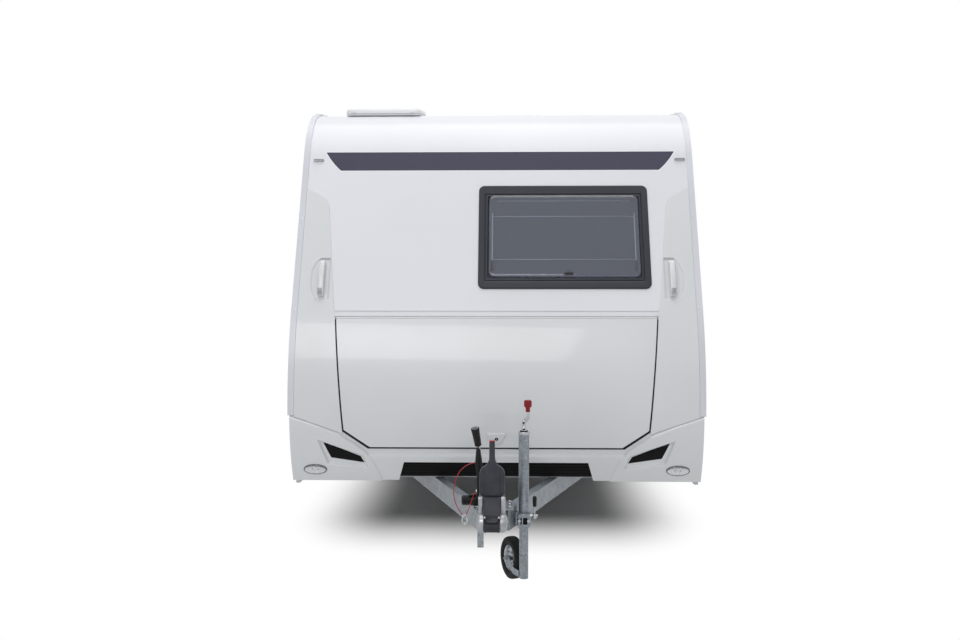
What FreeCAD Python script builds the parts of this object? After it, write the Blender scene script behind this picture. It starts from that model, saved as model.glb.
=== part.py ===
"""A single-axle travel caravan as an assembly of separate pieces, in millimetres.

Frame: X is to the right for someone who faces the caravan's front, +Y runs to its rear, +Z is up.
The origin is on the ground, under the middle of the whole length. Left and right in names are
the caravan's own, as it travels towards -Y: its left side is at +X, and its door is at -X.
"""
import FreeCAD, Part
import math
import os
import re

import Sketcher
from FreeCAD import Placement, Rotation, Vector

doc = FreeCAD.newDocument("caravan")
sheet = doc.addObject("Spreadsheet::Sheet", "sizes")

# ---------------------------------------------------------------- driving sizes
# alias, value (millimetres or degrees), what it measures
SIZES = [
    # whole vehicle
    ("body_length", 4200, "front panel's foremost line to the rear panel"),
    ("body_half", 1065, "half the width over the side walls"),
    ("ball_reach", 1150, "towing ball's centre ahead of the front panel"),
    ("ball_height", 420, "towing ball's centre above the ground"),
    ("roof_height", 2450, "roof's top above the ground"),
    ("body_bottom", 400, "underside of the floor and the walls"),
    ("rear_reach", 40, "rear bumper beyond the rear panel"),
    ("wall", 30, "thickness of every wall, door, lid and roof"),
    ("floor_thick", 45, "thickness of the floor board"),
    ("gap", 6, "gap around a door or a lid"),
    ("fit", 0.3, "running clearance at pins and tubes"),
    ("over", 20, "how far a cutting piece passes the faces it cuts"),
    ("front_deep", 1000, "how far back the front's cutting pieces reach"),
    # side outline
    ("nose_height", 730, "foremost line above the ground"),
    ("nose_low_radius", 713, "front below the foremost line"),
    ("nose_high_radius", 1259, "front above the foremost line"),
    ("front_slope", 24.2, "front window's lean from the vertical, degrees"),
    ("brow_radius", 450, "bend between the front and the roof"),
    ("crown_slope", 8.6, "roof's slope where the brow ends, degrees"),
    ("crown_radius", 6000, "roof's front third"),
    ("rear_radius", 320, "bend between the roof and the rear"),
    # trim
    ("trim_rise", 8, "mouldings and rails above the skin"),
    ("rail_reach", 10, "awning rail beyond the side wall"),
    ("rail_width", 22, "awning rail on the roof side"),
    ("rail_drop", 26, "awning rail down the side wall"),
    ("skirt_bottom", 366, "underside of the front moulding"),
    ("brow_seam", 2267, "seam between front panel and roof above the ground"),
    ("rear_seam", 2100, "seam between rear panel and roof above the ground"),
    # gas locker lid, half outline from the middle
    ("lid_top", 1212, "lid's top edge above the ground"),
    ("lid_bottom", 549, "lid's bottom edge above the ground"),
    ("lid_top_inset", 230, "lid's top corner inside the side wall's face"),
    ("lid_knee_inset", 280, "lid's knee inside the side wall's face"),
    ("lid_knee_height", 640, "lid's knee above the ground"),
    ("lid_foot_inset", 413, "lid's bottom corner inside the side wall's face"),
    ("hinge_radius", 5, "lid's hinge bead"),
    ("pin_radius", 2.8, "door and hatch hinge pins"),
    ("hinge_rail_top", 1257, "trim strip's top above the lid"),
    ("locker_depth", 520, "gas locker's back wall behind the foremost line"),
    ("shelf_gap", 5.8, "locker's shelf to the front panel"),
    ("shelf_rise", 60, "locker's shelf above the trim strip"),
    ("board", 15, "interior board thickness"),
    # mouldings on the front
    ("ledge_height", 522, "top of the lower moulding under the lid"),
    ("wing_knee_inset", 276, "lower moulding's knee inside the side wall's face"),
    ("wing_knee_height", 618, "lower moulding's rising edge, at the knee"),
    ("wing_tip_height", 715, "lower moulding's rising edge, at the side"),
    ("slot_half", 500, "half the air slot's width at its bottom"),
    ("slot_top_half", 475, "half the air slot's width at its top"),
    ("slot_bottom", 388, "air slot's lower edge"),
    ("slot_top", 466, "air slot's upper edge"),
    ("slot_lip", 6, "strip under the air slot"),
    ("seam", 1, "seam between two mouldings"),
    ("moulding_top", 1918, "corner moulding's top"),
    ("moulding_step", 1770, "corner moulding's step"),
    ("moulding_inset", 159, "corner moulding's edge at the step, from the side wall"),
    ("moulding_flare", 14, "corner moulding's edge above the step, outwards"),
    ("moulding_flare_rise", 30, "height of that slanting edge"),
    ("moulding_foot", 40, "slanting edge beside the lid's top"),
    ("handle_height", 1310, "grab handle's lower end"),
    ("handle_length", 210, "grab handle's length along the slope"),
    ("handle_inset", 131, "grab handle's centre inside the side wall's face"),
    ("handle_bar", 24, "grab handle's width and depth"),
    ("handle_space", 34, "finger gap behind the grab handle"),
    # windows and door
    ("front_window_low", 134, "frame's lower edge, along the slope from the bend"),
    ("front_window_tall", 615, "frame's height along the slope"),
    ("window_inset", 248, "front window's left edge inside the side wall's face"),
    ("front_window_right", -97, "frame's right edge"),
    ("frame_width", 42, "window frame's width"),
    ("frame_rise", 10, "window frame's height above the wall"),
    ("frame_lap", 18, "window frame over the pane's edge"),
    ("pane_thick", 18, "window pane"),
    ("corner", 60, "side window's corner radius"),
    ("front_corner", 30, "front window's corner radius"),
    ("bed_window_start", 980, "left front window behind the foremost line"),
    ("bed_window_width", 700, "left front window"),
    ("long_window_width", 900, "left rear and right side windows"),
    ("left_window_start", 2720, "left rear window behind the foremost line"),
    ("right_window_start", 2560, "right side window behind the foremost line"),
    ("side_window_low", 1180, "side window's lower edge above the ground"),
    ("side_window_tall", 520, "side window's height"),
    ("rear_window_inset", 425, "rear window's ends inside the side walls' faces"),
    ("door_start", 1130, "door's front edge behind the foremost line"),
    ("door_width", 600, "entry door"),
    ("door_low", 440, "door's lower edge above the ground"),
    ("door_tall", 1690, "entry door"),
    ("door_corner", 80, "door's corner radius"),
    ("door_window_low", 1330, "door window's lower edge above the ground"),
    ("door_window_tall", 560, "door window"),
    ("door_window_width", 330, "door window"),
    ("hatch_start", 640, "toilet hatch behind the foremost line"),
    ("hatch_width", 380, "toilet hatch"),
    ("hatch_low", 480, "toilet hatch's lower edge above the ground"),
    ("hatch_tall", 330, "toilet hatch"),
    ("hatch_corner", 30, "toilet hatch's corner radius"),
    ("door_eye", 180, "door's hinge eyes from its ends"),
    ("hatch_eye", 50, "hatch's hinge eyes from its ends"),
    ("eye_length", 30, "moving hinge eye"),
    ("knuckle", 20, "fixed hinge eye at each end of the moving one"),
    ("strap", 50, "hinge strap beyond the pin"),
    ("eye_space", 12, "free space around the fixed eyes"),
    # rooflights
    ("small_light", 440, "small rooflight's side"),
    ("small_light_inset", 397, "small rooflight's centre inside the side wall's face"),
    ("small_light_y", 1020, "small rooflight's centre behind the foremost line"),
    ("large_light_x", 700, "large rooflight's size across"),
    ("large_light_y", 500, "large rooflight's size along"),
    ("large_light_place", 3150, "large rooflight's centre behind the foremost line"),
    ("light_rise", 40, "rooflight's top above the roof"),
    ("light_base", 14, "rooflight's frame above the roof"),
    ("light_lap", 8, "rooflight's dome beyond its frame"),
    ("dome_skin", 5, "rooflight dome's thickness"),
    # rear
    ("bumper_tall", 190, "rear bumper"),
    ("bumper_low_bevel", 60, "rear bumper's lower slanting face, height"),
    ("bumper_high_bevel", 40, "rear bumper's upper slanting face, height"),
    ("bumper_bevel_deep", 30, "depth of both slanting faces"),
    ("plate_half", 260, "half the number plate's recess"),
    ("plate_low", 62, "plate recess above the bumper's underside"),
    ("plate_tall", 86, "plate recess"),
    ("plate_deep", 8, "plate recess"),
    ("lamp_inset", 55, "tail lamp's outer edge inside the side wall's face"),
    ("lamp_width", 120, "tail lamp"),
    ("lamp_low", 581, "tail lamp's lower edge above the ground"),
    ("lamp_tall", 300, "tail lamp"),
    ("lamp_rise", 32, "tail lamp's thickness"),
    ("lamp_corner", 25, "tail lamp's corner radius"),
    # chassis
    ("chassis_bottom", 280, "underside of the rails and the drawbar"),
    ("drawbar_tall", 95, "drawbar's height"),
    ("drawbar_wide", 46, "drawbar's flange width"),
    ("steel", 4, "drawbar's and rails' plate"),
    ("drawbar_angle", 17.3, "each drawbar's angle to the centre line, degrees"),
    ("drawbar_front", 680, "drawbar's front end ahead of the foremost line"),
    ("drawbar_front_half", 70, "drawbar's outer face at its front end"),
    ("rail_inset", 505, "chassis rail's inner face inside the side wall's face"),
    ("rail_flange", 50, "chassis rail's flange width"),
    ("rail_start", 760, "chassis rails' front end behind the foremost line"),
    ("rail_end", 4080, "chassis rails' rear end behind the foremost line"),
    ("axle_place", 2350, "axle behind the foremost line"),
    ("wheel_radius", 312, "tyre's outer radius"),
    ("tyre_width", 175, "tyre"),
    ("rim_radius", 190, "rim's outer radius, in the tyre"),
    ("wheel_inset", 135, "wheel's middle plane inside the side wall's face"),
    ("tyre_lip", 12, "rim's flange inside the tyre's widest line"),
    ("tyre_swell", 45, "tyre's side, radially, from the rim to its widest"),
    ("tyre_shoulder", 22, "tyre's shoulder, across"),
    ("shoulder_drop", 28, "tyre's shoulder, radially"),
    ("rim_edge", 14, "rim's edge, radially"),
    ("rim_well", 22, "rim's well, radially"),
    ("wheel_disc", 20, "rim's disc outside the wheel's middle plane"),
    ("disc_thick", 14, "rim's disc"),
    ("arm_length", 150, "swing arm from the axle tube to the wheel's centre"),
    ("axle_tube_height", 226, "axle tube's centre above the ground"),
    ("axle_tube_radius", 50, "axle tube, over its corners"),
    ("arm_inset", 62, "swing arm's outer face inside the tyre"),
    ("arm_thick", 13, "swing arm"),
    ("arm_root", 45, "swing arm's half height at the axle tube"),
    ("arm_tip", 38, "swing arm's half height at the stub axle"),
    ("seat_half", 70, "half the axle seat's length"),
    ("seat_lap", 5, "axle seat beyond the rail's flange"),
    ("member_width", 40, "crossmember"),
    ("member_tall", 60, "crossmember"),
    ("member_first", 500, "front crossmember behind the rails' front end"),
    ("member_last", 60, "rear crossmember ahead of the rails' rear end"),
    ("skirt_start", 160, "side skirt's front end behind the foremost line"),
    ("skirt_thick", 20, "side skirt"),
    ("skirt_inset", 2, "side skirt inside the side wall's face"),
    ("skirt_drop", 30, "side skirt's underside below the front moulding's"),
    ("skirt_gap", 12, "side skirt to the wheel arch"),
    ("hub_radius", 28, "stub axle"),
    ("drum_radius", 125, "brake drum"),
    ("arch_space", 60, "wheel arch beyond the tyre"),
    ("box_width", 265, "wheel box, from the side wall's face"),
    ("box_space", 76, "wheel box's top above the tyre"),
    ("box_skin", 12, "wheel box's plate"),
    # jockey wheel
    ("jockey_x", 137.5, "jockey tube's axis across"),
    ("jockey_ahead", 570, "jockey tube's axis ahead of the foremost line"),
    ("jockey_outer", 24, "outer tube's radius"),
    ("tube_space", 0.5, "inner tube's clearance in the outer tube"),
    ("tube_cap", 6, "jockey tubes' end caps"),
    ("inner_top", 130, "inner tube's upper end below the outer tube's"),
    ("crank_radius", 8, "crank's stem and spindle"),
    ("crank_reach", 18, "crank knob from the tube's axis"),
    ("knob_radius", 19, "crank knob"),
    ("knob_tall", 30, "crank knob"),
    ("clamp_wall", 9, "jockey clamp's collar"),
    ("clamp_tall", 60, "jockey clamp's collar"),
    ("clamp_bolt_height", 40, "clamp bolt above the chassis's underside"),
    ("clamp_bolt_radius", 6, "clamp bolt"),
    ("clamp_lever", 110, "clamp lever"),
    ("clamp_reach", 30, "clamp lever's far face from the tube"),
    ("clamp_offset", 14, "clamp bolt ahead of the tube's axis"),
    ("swivel_radius", 10, "swivel pin"),
    ("swivel_length", 60, "swivel pin"),
    ("fork_arm", 6, "fork's plate"),
    ("fork_space", 4, "fork's plate to the jockey wheel"),
    ("fork_tall", 30, "fork's foot"),
    ("fork_end", 14, "fork's plate beyond the wheel pin"),
    ("fork_pin_radius", 8, "jockey wheel's pin"),
    ("tube_wall", 2.5, "jockey tubes' wall"),
    ("jockey_top", 702, "outer tube's top above the ground"),
    ("jockey_outer_low", 268, "outer tube's lower end above the ground"),
    ("jockey_joint", 168, "swivel joint above the ground"),
    ("fork_low", 34, "fork tube's lower end above the ground"),
    ("jockey_trail", 130, "swivel axis to the wheel's centre"),
    ("jockey_turn", 113.3, "direction of the trail, from +X, degrees"),
    ("jockey_wheel_radius", 100, "jockey wheel"),
    ("jockey_wheel_wide", 50, "jockey wheel"),
    ("jockey_rim_radius", 58, "jockey rim"),
    ("crank_height", 778, "crank handle's bend above the ground"),
    ("knob_height", 861, "crank knob's top above the ground"),
    # coupling and housing
    ("housing_front", 860, "overrun housing's front end ahead of the foremost line"),
    ("housing_back", 520, "overrun housing's rear end ahead of the foremost line"),
    ("housing_half", 48, "half the overrun housing's width"),
    ("drawtube_radius", 25, "sliding tube between housing and coupling"),
    ("coupling_half", 33, "half the coupling body's width"),
    ("coupling_back", 130, "coupling body behind the ball"),
    ("coupling_nose", 45, "rubber nose's front ahead of the ball"),
    ("pad_radius", 39, "friction pad housing"),
    ("pad_half", 65, "friction pad housing's outer face from the middle"),
    ("nose_radius", 22, "rubber nose"),
    ("nose_half", 31, "half the rubber nose's width"),
    ("nose_place", 23, "rubber nose's axis ahead of the ball"),
    ("handle_arm", 12, "coupling handle's arm, outside the coupling"),
    ("handle_arm_top", 125, "coupling handle's arm above the ball's centre"),
    ("handle_front", 72, "coupling handle's rear face behind the ball"),
    ("handle_deep", 42, "coupling handle, front to back"),
    ("plate_thick", 8, "housing's base plate"),
    ("plate_lap", 20, "housing's base plate beyond the drawbar's front"),
    ("plate_nose", 10, "housing's base plate ahead of the drawbar"),
    ("housing_rise", 45, "overrun housing's top above the ball's centre"),
    ("snout_length", 40, "housing's round front"),
    ("snout_wall", 16, "housing's round front"),
    ("ear_thick", 14, "lever's mounting ear"),
    ("ear_front", 790, "ear's front ahead of the foremost line"),
    ("ear_back", 700, "ear's rear ahead of the foremost line"),
    ("ear_rise", 75, "ear's top above the ball's centre"),
    ("ear_drop", 30, "ear's bottom below the ball's centre"),
    ("lug_x", -58, "hanging lug's middle across"),
    ("lug_half", 14, "half the hanging lug's width"),
    ("lug_front", 736, "hanging lug's front ahead of the foremost line"),
    ("lug_bottom", 216, "hanging lug's lower end above the ground"),
    ("socket_radius", 25.2, "ball socket"),
    ("brake_lever_top", 768, "handbrake grip's top above the ground"),
    ("lever_thick", 12, "handbrake lever's blade"),
    ("lever_place", 740, "handbrake grip's axis ahead of the foremost line"),
    ("grip_radius", 17, "handbrake grip"),
    ("grip_length", 95, "handbrake grip"),
    ("cable_eye", 5, "cable's eyes on the lever"),
    ("eye_reach", 6, "cable's eyes beyond the lever's blade"),
    ("plug_place", 660, "parked plug's axis ahead of the foremost line"),
    ("plug_radius", 19, "parked plug"),
    ("plug_end", 92, "parked plug's end outside the housing"),
    ("plug_foot", 25, "half the plug holder's side"),
    ("foot_reach", 24, "plug holder outside the housing"),
    ("clip_x", -128, "cable clip's middle across"),
    ("clip_rest", 376, "bottom of the cable's loop, where the clip hangs"),
    ("clip_place", 763, "cable clip's middle ahead of the foremost line"),
    ("clip_half", 12, "half the cable clip's width"),
    ("clip_tall", 42, "cable clip"),
    ("clip_wire", 5, "cable clip's bow at its sides"),
    ("clip_bow", 6, "cable clip's bow at its top"),
    ("clip_thick", 4, "half the cable clip's thickness"),
    ("cable_radius", 2, "breakaway cable"),
    # corner steadies
    ("steady_length", 400, "corner steady from its pin to its foot's end"),
    ("steady_height", 352, "corner steady's pin above the ground"),
    ("steady_side", 185, "corner steady's pin inside the side wall's face"),
    ("steady_pin", 8, "corner steady's pin radius"),
    ("leg_half", 18, "half the leg's width"),
    ("leg_deep", 15, "half the leg's depth"),
    ("leg_eye", 17, "leg's round end"),
    ("foot_length", 60, "leg's foot"),
    ("foot_half", 40, "half the foot's width"),
    ("foot_thick", 8, "leg's foot"),
    ("bracket_half", 45, "half the steady bracket's width"),
    ("bracket_long", 50, "half the steady bracket's length"),
    ("bracket_plate", 6, "steady bracket's plate"),
    ("cheek_in", 25, "bracket's cheeks from the leg's middle"),
    ("cheek_out", 30, "bracket's cheeks' outer faces"),
    ("cheek_drop", 22, "bracket's cheeks below the pin"),
    ("steady_inset", 430, "corner steady's pin from each end of the body"),
    # furniture
    ("bed_space", 180, "bed base's top above the wheel box"),
    ("bed_length", 1400, "bed base, front to rear"),
    ("bed_inner", -60, "bed's inner edge across"),
    ("mattress_thick", 120, "mattress"),
    ("soft_gap", 5, "mattress and cushions to the walls"),
    ("well_gap", 5, "furniture to the wheel boxes"),
    ("washroom_end", 1090, "washroom's rear wall behind the foremost line"),
    ("washroom_inner", -160, "washroom's inner wall across"),
    ("washroom_drop", 260, "washroom walls' top below the roof's top"),
    ("kitchen_depth", 560, "kitchen unit from the side wall"),
    ("kitchen_start", 1800, "kitchen unit behind the foremost line"),
    ("kitchen_length", 900, "kitchen unit along the side wall"),
    ("worktop", 1370, "kitchen worktop above the ground"),
    ("seat_space", 100, "bench's top above the wheel box"),
    ("bench_depth", 560, "bench from front to back"),
    ("bench_start", 2560, "front bench behind the foremost line"),
    ("bench_inner", -200, "benches' free ends across"),
    ("seat_reach", 20, "seat cushion beyond its bench"),
    ("cushion_gap", 3, "seat cushion to back cushion"),
    ("cushion_thick", 110, "seat and back cushions"),
    ("cushion_tall", 430, "back cushion"),
    ("table_height", 1170, "table's top above the ground"),
    ("table_start", 3150, "table's front edge behind the foremost line"),
    ("table_long", 500, "table, front to rear"),
    ("table_inner", 50, "table's free end across"),
    ("table_thick", 28, "table's top"),
    ("table_leg_x", 300, "table's leg across"),
    ("table_leg_radius", 28, "table's leg"),
]
for row, (alias, value, meaning) in enumerate(SIZES, start=1):
    sheet.set("A%d" % row, alias)
    sheet.set("B%d" % row, str(value))
    sheet.set("C%d" % row, meaning)
    sheet.setAlias("B%d" % row, alias)
ALIASES = {alias for alias, value, meaning in SIZES}
doc.recompute()

# Places and sizes that follow from the driving ones.
PLACES = {
    "tongue_reach": "ball_reach + coupling_nose",
    "nose": "(tongue_reach - body_length - rear_reach) / 2",
    "rear": "nose + body_length",
    "ball_y": "nose - ball_reach",
    "inner_half": "body_half - wall",
    "floor_top": "body_bottom + floor_thick",
    "skin": "trim_rise",
    "inside": "trim_rise + wall",
    "bend_y": "nose + nose_high_radius * (1 - cos(front_slope))",
    "bend_z": "nose_height + nose_high_radius * sin(front_slope)",
    "brow_z": "roof_height - crown_radius + (crown_radius - brow_radius) * cos(crown_slope)",
    "brow_start_z": "brow_z + brow_radius * sin(front_slope)",
    "brow_y": "bend_y + (brow_start_z - bend_z) * tan(front_slope) + brow_radius * cos(front_slope)",
    "crown_y": "brow_y + (crown_radius - brow_radius) * sin(crown_slope)",
    "crown_z": "roof_height - crown_radius",
    "axle_y": "nose + axle_place",
    "jockey_y": "nose - jockey_ahead",
    "drawbar_length": "(rail_half - drawbar_front_half) / sin(drawbar_angle)",
    "lid_top_half": "body_half - lid_top_inset",
    "lid_knee_half": "body_half - lid_knee_inset",
    "lid_foot_half": "body_half - lid_foot_inset",
    "wing_knee_half": "body_half - wing_knee_inset",
    "moulding_half": "body_half - moulding_inset",
    "handle_half": "body_half - handle_inset",
    "front_window_left": "body_half - window_inset",
    "rear_window_half": "body_half - rear_window_inset",
    "rail_half": "body_half - rail_inset",
    "small_light_x": "small_light_inset - body_half",
    "wheel_half": "body_half - wheel_inset",
    "wheel_inner": "wheel_half - tyre_width / 2",
    "wheel_hub_in": "tyre_width / 2 - rim_edge / 2",
    "arch_radius": "wheel_radius + arch_space",
    "box_inner_half": "body_half - box_width",
    "box_tall": "2 * wheel_radius + box_space - body_bottom",
    "axle_half": "wheel_inner - arm_inset",
    "jockey_inner": "jockey_outer - tube_wall - tube_space",
    "steady_half": "body_half - steady_side",
    "wing_slope": "(wing_tip_height - wing_knee_height) / (body_half - wing_knee_half)",
    "hinge_z": "lid_top + hinge_radius - seam",
    "hinge_y": "nose + nose_high_radius + skin / 2"
               " - sqrt(nose_high_radius^2 - (hinge_z - nose_height)^2)",
    "side_hinge_x": "-body_half - rail_reach / 2",
    "eye_radius": "rail_reach / 2",
    "shelf_top": "hinge_rail_top + shelf_rise",
    "bar_top": "chassis_bottom + drawbar_tall",
    "seat_top": "body_bottom + box_tall + seat_space",
    "bed_top": "body_bottom + box_tall + bed_space",
    "shelf_front": "bend_y + (shelf_top - bend_z) * tan(front_slope)"
                   " + inside / cos(front_slope) + shelf_gap",
    "clip_top": "clip_rest - cable_radius - fit",
}
NAME = re.compile(r"[a-z][a-z_0-9]*")


def bound(text):
    """Spell out the named sizes and places of an expression for the document."""
    def spell(match):
        word = match.group(0)
        if word in PLACES:
            return "(" + bound(PLACES[word]) + ")"
        return "sizes." + word if word in ALIASES else word
    return NAME.sub(spell, str(text))


def value(text):
    """The number that an expression stands for."""
    result = sheet.evalExpression(bound(text))
    return float(getattr(result, "Value", result))


# ---------------------------------------------------------------- ways of making pieces
NODES = []


def node(piece, label):
    """Name a finished sub-part and keep it for writing."""
    piece.Label = label
    NODES.append(piece)
    return piece


def bind(piece, settings):
    for name, text in settings.items():
        piece.setExpression(name, bound(text))


def place(piece, x, y, z, axis=(0, 0, 1), angle="0"):
    """Put a piece at a point, turned about an axis, both bound to the sizes."""
    piece.Placement = Placement(Vector(0, 0, 0), Rotation(Vector(*axis), 1))
    bind(piece, {"Placement.Base.x": x, "Placement.Base.y": y, "Placement.Base.z": z,
                 "Placement.Rotation.Angle": angle})
    return piece


def box(name, x, y, z):
    """A box from three (low, high) pairs of expressions."""
    piece = doc.addObject("Part::Box", name)
    for length, (low, high) in zip(("Length", "Width", "Height"), (x, y, z)):
        bind(piece, {length: "(%s) - (%s)" % (high, low)})
    return place(piece, x[0], y[0], z[0])


TURNS = {"X": ((0, 1, 0), "90"), "Y": ((1, 0, 0), "-90"), "Z": ((0, 0, 1), "0")}


def cylinder(name, radius, along, start, end, across):
    """A cylinder along an axis from start to end; across holds its other two coordinates."""
    piece = doc.addObject("Part::Cylinder", name)
    bind(piece, {"Radius": radius, "Height": "(%s) - (%s)" % (end, start)})
    spot = list(across)
    spot.insert("XYZ".index(along), start)
    return place(piece, *spot, *TURNS[along])


def tube(name, radius, bore, along, start, end, across):
    outer = cylinder(name + "_outer", radius, along, start, end, across)
    inner = cylinder(name + "_bore", bore, along, "(%s) - 1" % start, "(%s) + 1" % end, across)
    return cut(name, outer, [inner])


def join(name, pieces):
    piece = doc.addObject("Part::MultiFuse", name)
    piece.Shapes = pieces
    return piece


def group(name, pieces):
    """Several solids that don't touch, as one sub-part."""
    piece = doc.addObject("Part::Compound", name)
    piece.Links = pieces
    return piece


def cut(name, base, tools):
    piece = doc.addObject("Part::Cut", name)
    piece.Base = base
    piece.Tool = tools[0] if len(tools) == 1 else join(name + "_tools", tools)
    return piece


def common(name, first, second):
    piece = doc.addObject("Part::Common", name)
    piece.Base = first
    piece.Tool = second
    return piece


def mirror(name, source, normal=(1, 0, 0)):
    """The same piece on the other side of the centre line."""
    piece = doc.addObject("Part::Mirroring", name)
    piece.Source = source
    piece.Normal = Vector(*normal)
    piece.Base = Vector(0, 0, 0)
    return piece


def both_sides(name, source):
    return group(name, [source, mirror(name + "_other", source)])


def rounded(x, y, radius):
    """A rounded rectangle's corners, each (x, y, radius of the arc that follows or None)."""
    (x0, x1), (y0, y1), r = x, y, "(%s)" % radius
    return [("%s + %s" % (x0, r), y0, None), ("%s - %s" % (x1, r), y0, r),
            (x1, "%s + %s" % (y0, r), None), (x1, "%s - %s" % (y1, r), r),
            ("%s - %s" % (x1, r), y1, None), ("%s + %s" % (x0, r), y1, r),
            (x0, "%s - %s" % (y1, r), None), (x0, "%s + %s" % (y0, r), r)]


def arc_between(start, end, radius):
    """The shorter arc that turns left from start to end."""
    chord = end - start
    middle = (start + end) * 0.5
    left = Vector(-chord.y, chord.x, 0).normalize()
    centre = middle + left * math.sqrt(max(radius ** 2 - (chord.Length / 2) ** 2, 0))
    circle = Part.Circle(centre, Vector(0, 0, 1), radius)
    first = math.atan2(start.y - centre.y, start.x - centre.x)
    last = math.atan2(end.y - centre.y, end.x - centre.x)
    return Part.ArcOfCircle(circle, first, last)


def draw_loop(sketch, corners):
    """Draw one closed loop, anticlockwise, and bind each corner and each arc's radius."""
    spots = [Vector(value(corner[0]), value(corner[1]), 0) for corner in corners]
    first = sketch.GeometryCount
    count = len(corners)
    for index, corner in enumerate(corners):
        start, end = spots[index], spots[(index + 1) % count]
        radius = corner[2] if len(corner) > 2 else None
        if radius is None:
            sketch.addGeometry(Part.LineSegment(start, end), False)
        else:
            sketch.addGeometry(arc_between(start, end, value(radius)), False)
    for index, corner in enumerate(corners):
        edge = first + index
        after = first + (index + 1) % count
        sketch.addConstraint(Sketcher.Constraint("Coincident", edge, 2, after, 1))
        bind_datum(sketch, "DistanceX", (-1, 1, edge, 1), corner[0])
        bind_datum(sketch, "DistanceY", (-1, 1, edge, 1), corner[1])
        if len(corner) > 2 and corner[2] is not None:
            bind_datum(sketch, "Radius", (edge,), corner[2])


def draw_circle(sketch, x, y, radius):
    centre = Vector(value(x), value(y), 0)
    edge = sketch.addGeometry(Part.Circle(centre, Vector(0, 0, 1), value(radius)), False)
    bind_datum(sketch, "DistanceX", (-1, 1, edge, 3), x)
    bind_datum(sketch, "DistanceY", (-1, 1, edge, 3), y)
    bind_datum(sketch, "Radius", (edge,), radius)


def bind_datum(sketch, kind, where, text):
    index = sketch.addConstraint(Sketcher.Constraint(kind, *where, value(text)))
    name = "d%d" % index
    sketch.renameConstraint(index, name)
    sketch.setExpression("Constraints." + name, bound(text))


def new_sketch(body, name, plane, height, loops):
    """A sketch on one of the body's origin planes, moved along that plane's normal."""
    sketch = body.newObject("Sketcher::SketchObject", name)
    role = plane + "_Plane"
    support = [item for item in body.Origin.OriginFeatures if item.Role == role][0]
    sketch.AttachmentSupport = [(support, "")]
    sketch.MapMode = "FlatFace"
    bind(sketch, {"AttachmentOffset.Base.z": height})
    for loop in loops:
        if isinstance(loop, tuple):
            draw_circle(sketch, *loop)
        else:
            draw_loop(sketch, loop)
    return sketch


def new_body(name):
    return doc.addObject("PartDesign::Body", name)


def pad(body, plane, span, loops):
    """Fill the loops between two heights along the plane's world axis."""
    low, high = span
    name = "%s_pad%d" % (body.Name, len(body.Group))
    height = "-(%s)" % low if plane == "XZ" else low
    feature = body.newObject("PartDesign::Pad", name)
    feature.Profile = new_sketch(body, name + "_sketch", plane, height, loops)
    feature.Reversed = plane == "XZ"
    bind(feature, {"Length": "(%s) - (%s)" % (high, low)})
    return body


def pocket(body, plane, span, loops):
    """Empty the loops between two heights along the plane's world axis."""
    low, high = span
    name = "%s_pocket%d" % (body.Name, len(body.Group))
    height = "-(%s)" % low if plane == "XZ" else high
    sketch = new_sketch(body, name + "_sketch", plane, height, loops)
    feature = body.newObject("PartDesign::Pocket", name)
    feature.Profile = sketch
    bind(feature, {"Length": "(%s) - (%s)" % (high, low)})
    return body


def prism(name, plane, span, loops, pockets=()):
    """A body with one pad and any pockets, each pocket a (plane, span, loops)."""
    body = pad(new_body(name), plane, span, loops)
    for hole in pockets:
        pocket(body, *hole)
    return body


def revolved(name, loop):
    """A body turned about +X: the loop's corners are (distance along X, radius)."""
    body = new_body(name)
    sketch = new_sketch(body, name + "_sketch", "XY", "0", [loop])
    feature = body.newObject("PartDesign::Revolution", name + "_turn")
    feature.Profile = sketch
    feature.ReferenceAxis = (sketch, ["H_Axis"])
    feature.Angle = 360
    return body


# ---------------------------------------------------------------- the side outline
def outline(inset, bottom):
    """The body's side outline as (Y, Z) corners, drawn in from the outermost skin by inset."""
    t = "(%s)" % inset
    low_y = "nose + nose_low_radius - sqrt((nose_low_radius - %s)^2 - (nose_height - (%s))^2)"
    return [
        (low_y % (t, bottom), bottom, None),
        ("rear - %s" % t, bottom, None),
        ("rear - %s" % t, "roof_height - rear_radius", "rear_radius - %s" % t),
        ("rear - rear_radius", "roof_height - %s" % t, None),
        ("crown_y", "roof_height - %s" % t, "crown_radius - %s" % t),
        ("brow_y - (brow_radius - %s) * sin(crown_slope)" % t,
         "brow_z + (brow_radius - %s) * cos(crown_slope)" % t, "brow_radius - %s" % t),
        ("brow_y - (brow_radius - %s) * cos(front_slope)" % t,
         "brow_z + (brow_radius - %s) * sin(front_slope)" % t, None),
        ("nose + nose_high_radius - (nose_high_radius - %s) * cos(front_slope)" % t,
         "nose_height + (nose_high_radius - %s) * sin(front_slope)" % t, "nose_high_radius - %s" % t),
        ("nose + %s" % t, "nose_height", "nose_low_radius - %s" % t),
    ]


def band(name, outer, inner, half, bottom, deep):
    """A shell that follows the outline between two insets, across the whole width."""
    whole = prism(name + "_outside", "YZ", ("-(%s)" % half, half), [outline(outer, bottom)])
    hollow = prism(name + "_inside", "YZ", ("-(%s) - 1" % half, "%s + 1" % half),
                   [outline(inner, deep)])
    return cut(name, whole, [hollow])


def lid_loop(grow):
    """The gas locker lid's outline as (X, Z) corners, grown by an expression."""
    g = "(%s)" % grow
    right = [("lid_foot_half + %s / 2" % g, "lid_bottom - %s" % g),
             ("lid_knee_half + %s" % g, "lid_knee_height - %s / 2" % g),
             ("lid_top_half + %s" % g, "lid_top + %s" % g)]
    left = [("-(%s)" % x, z) for x, z in reversed(right)]
    return right + left


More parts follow.
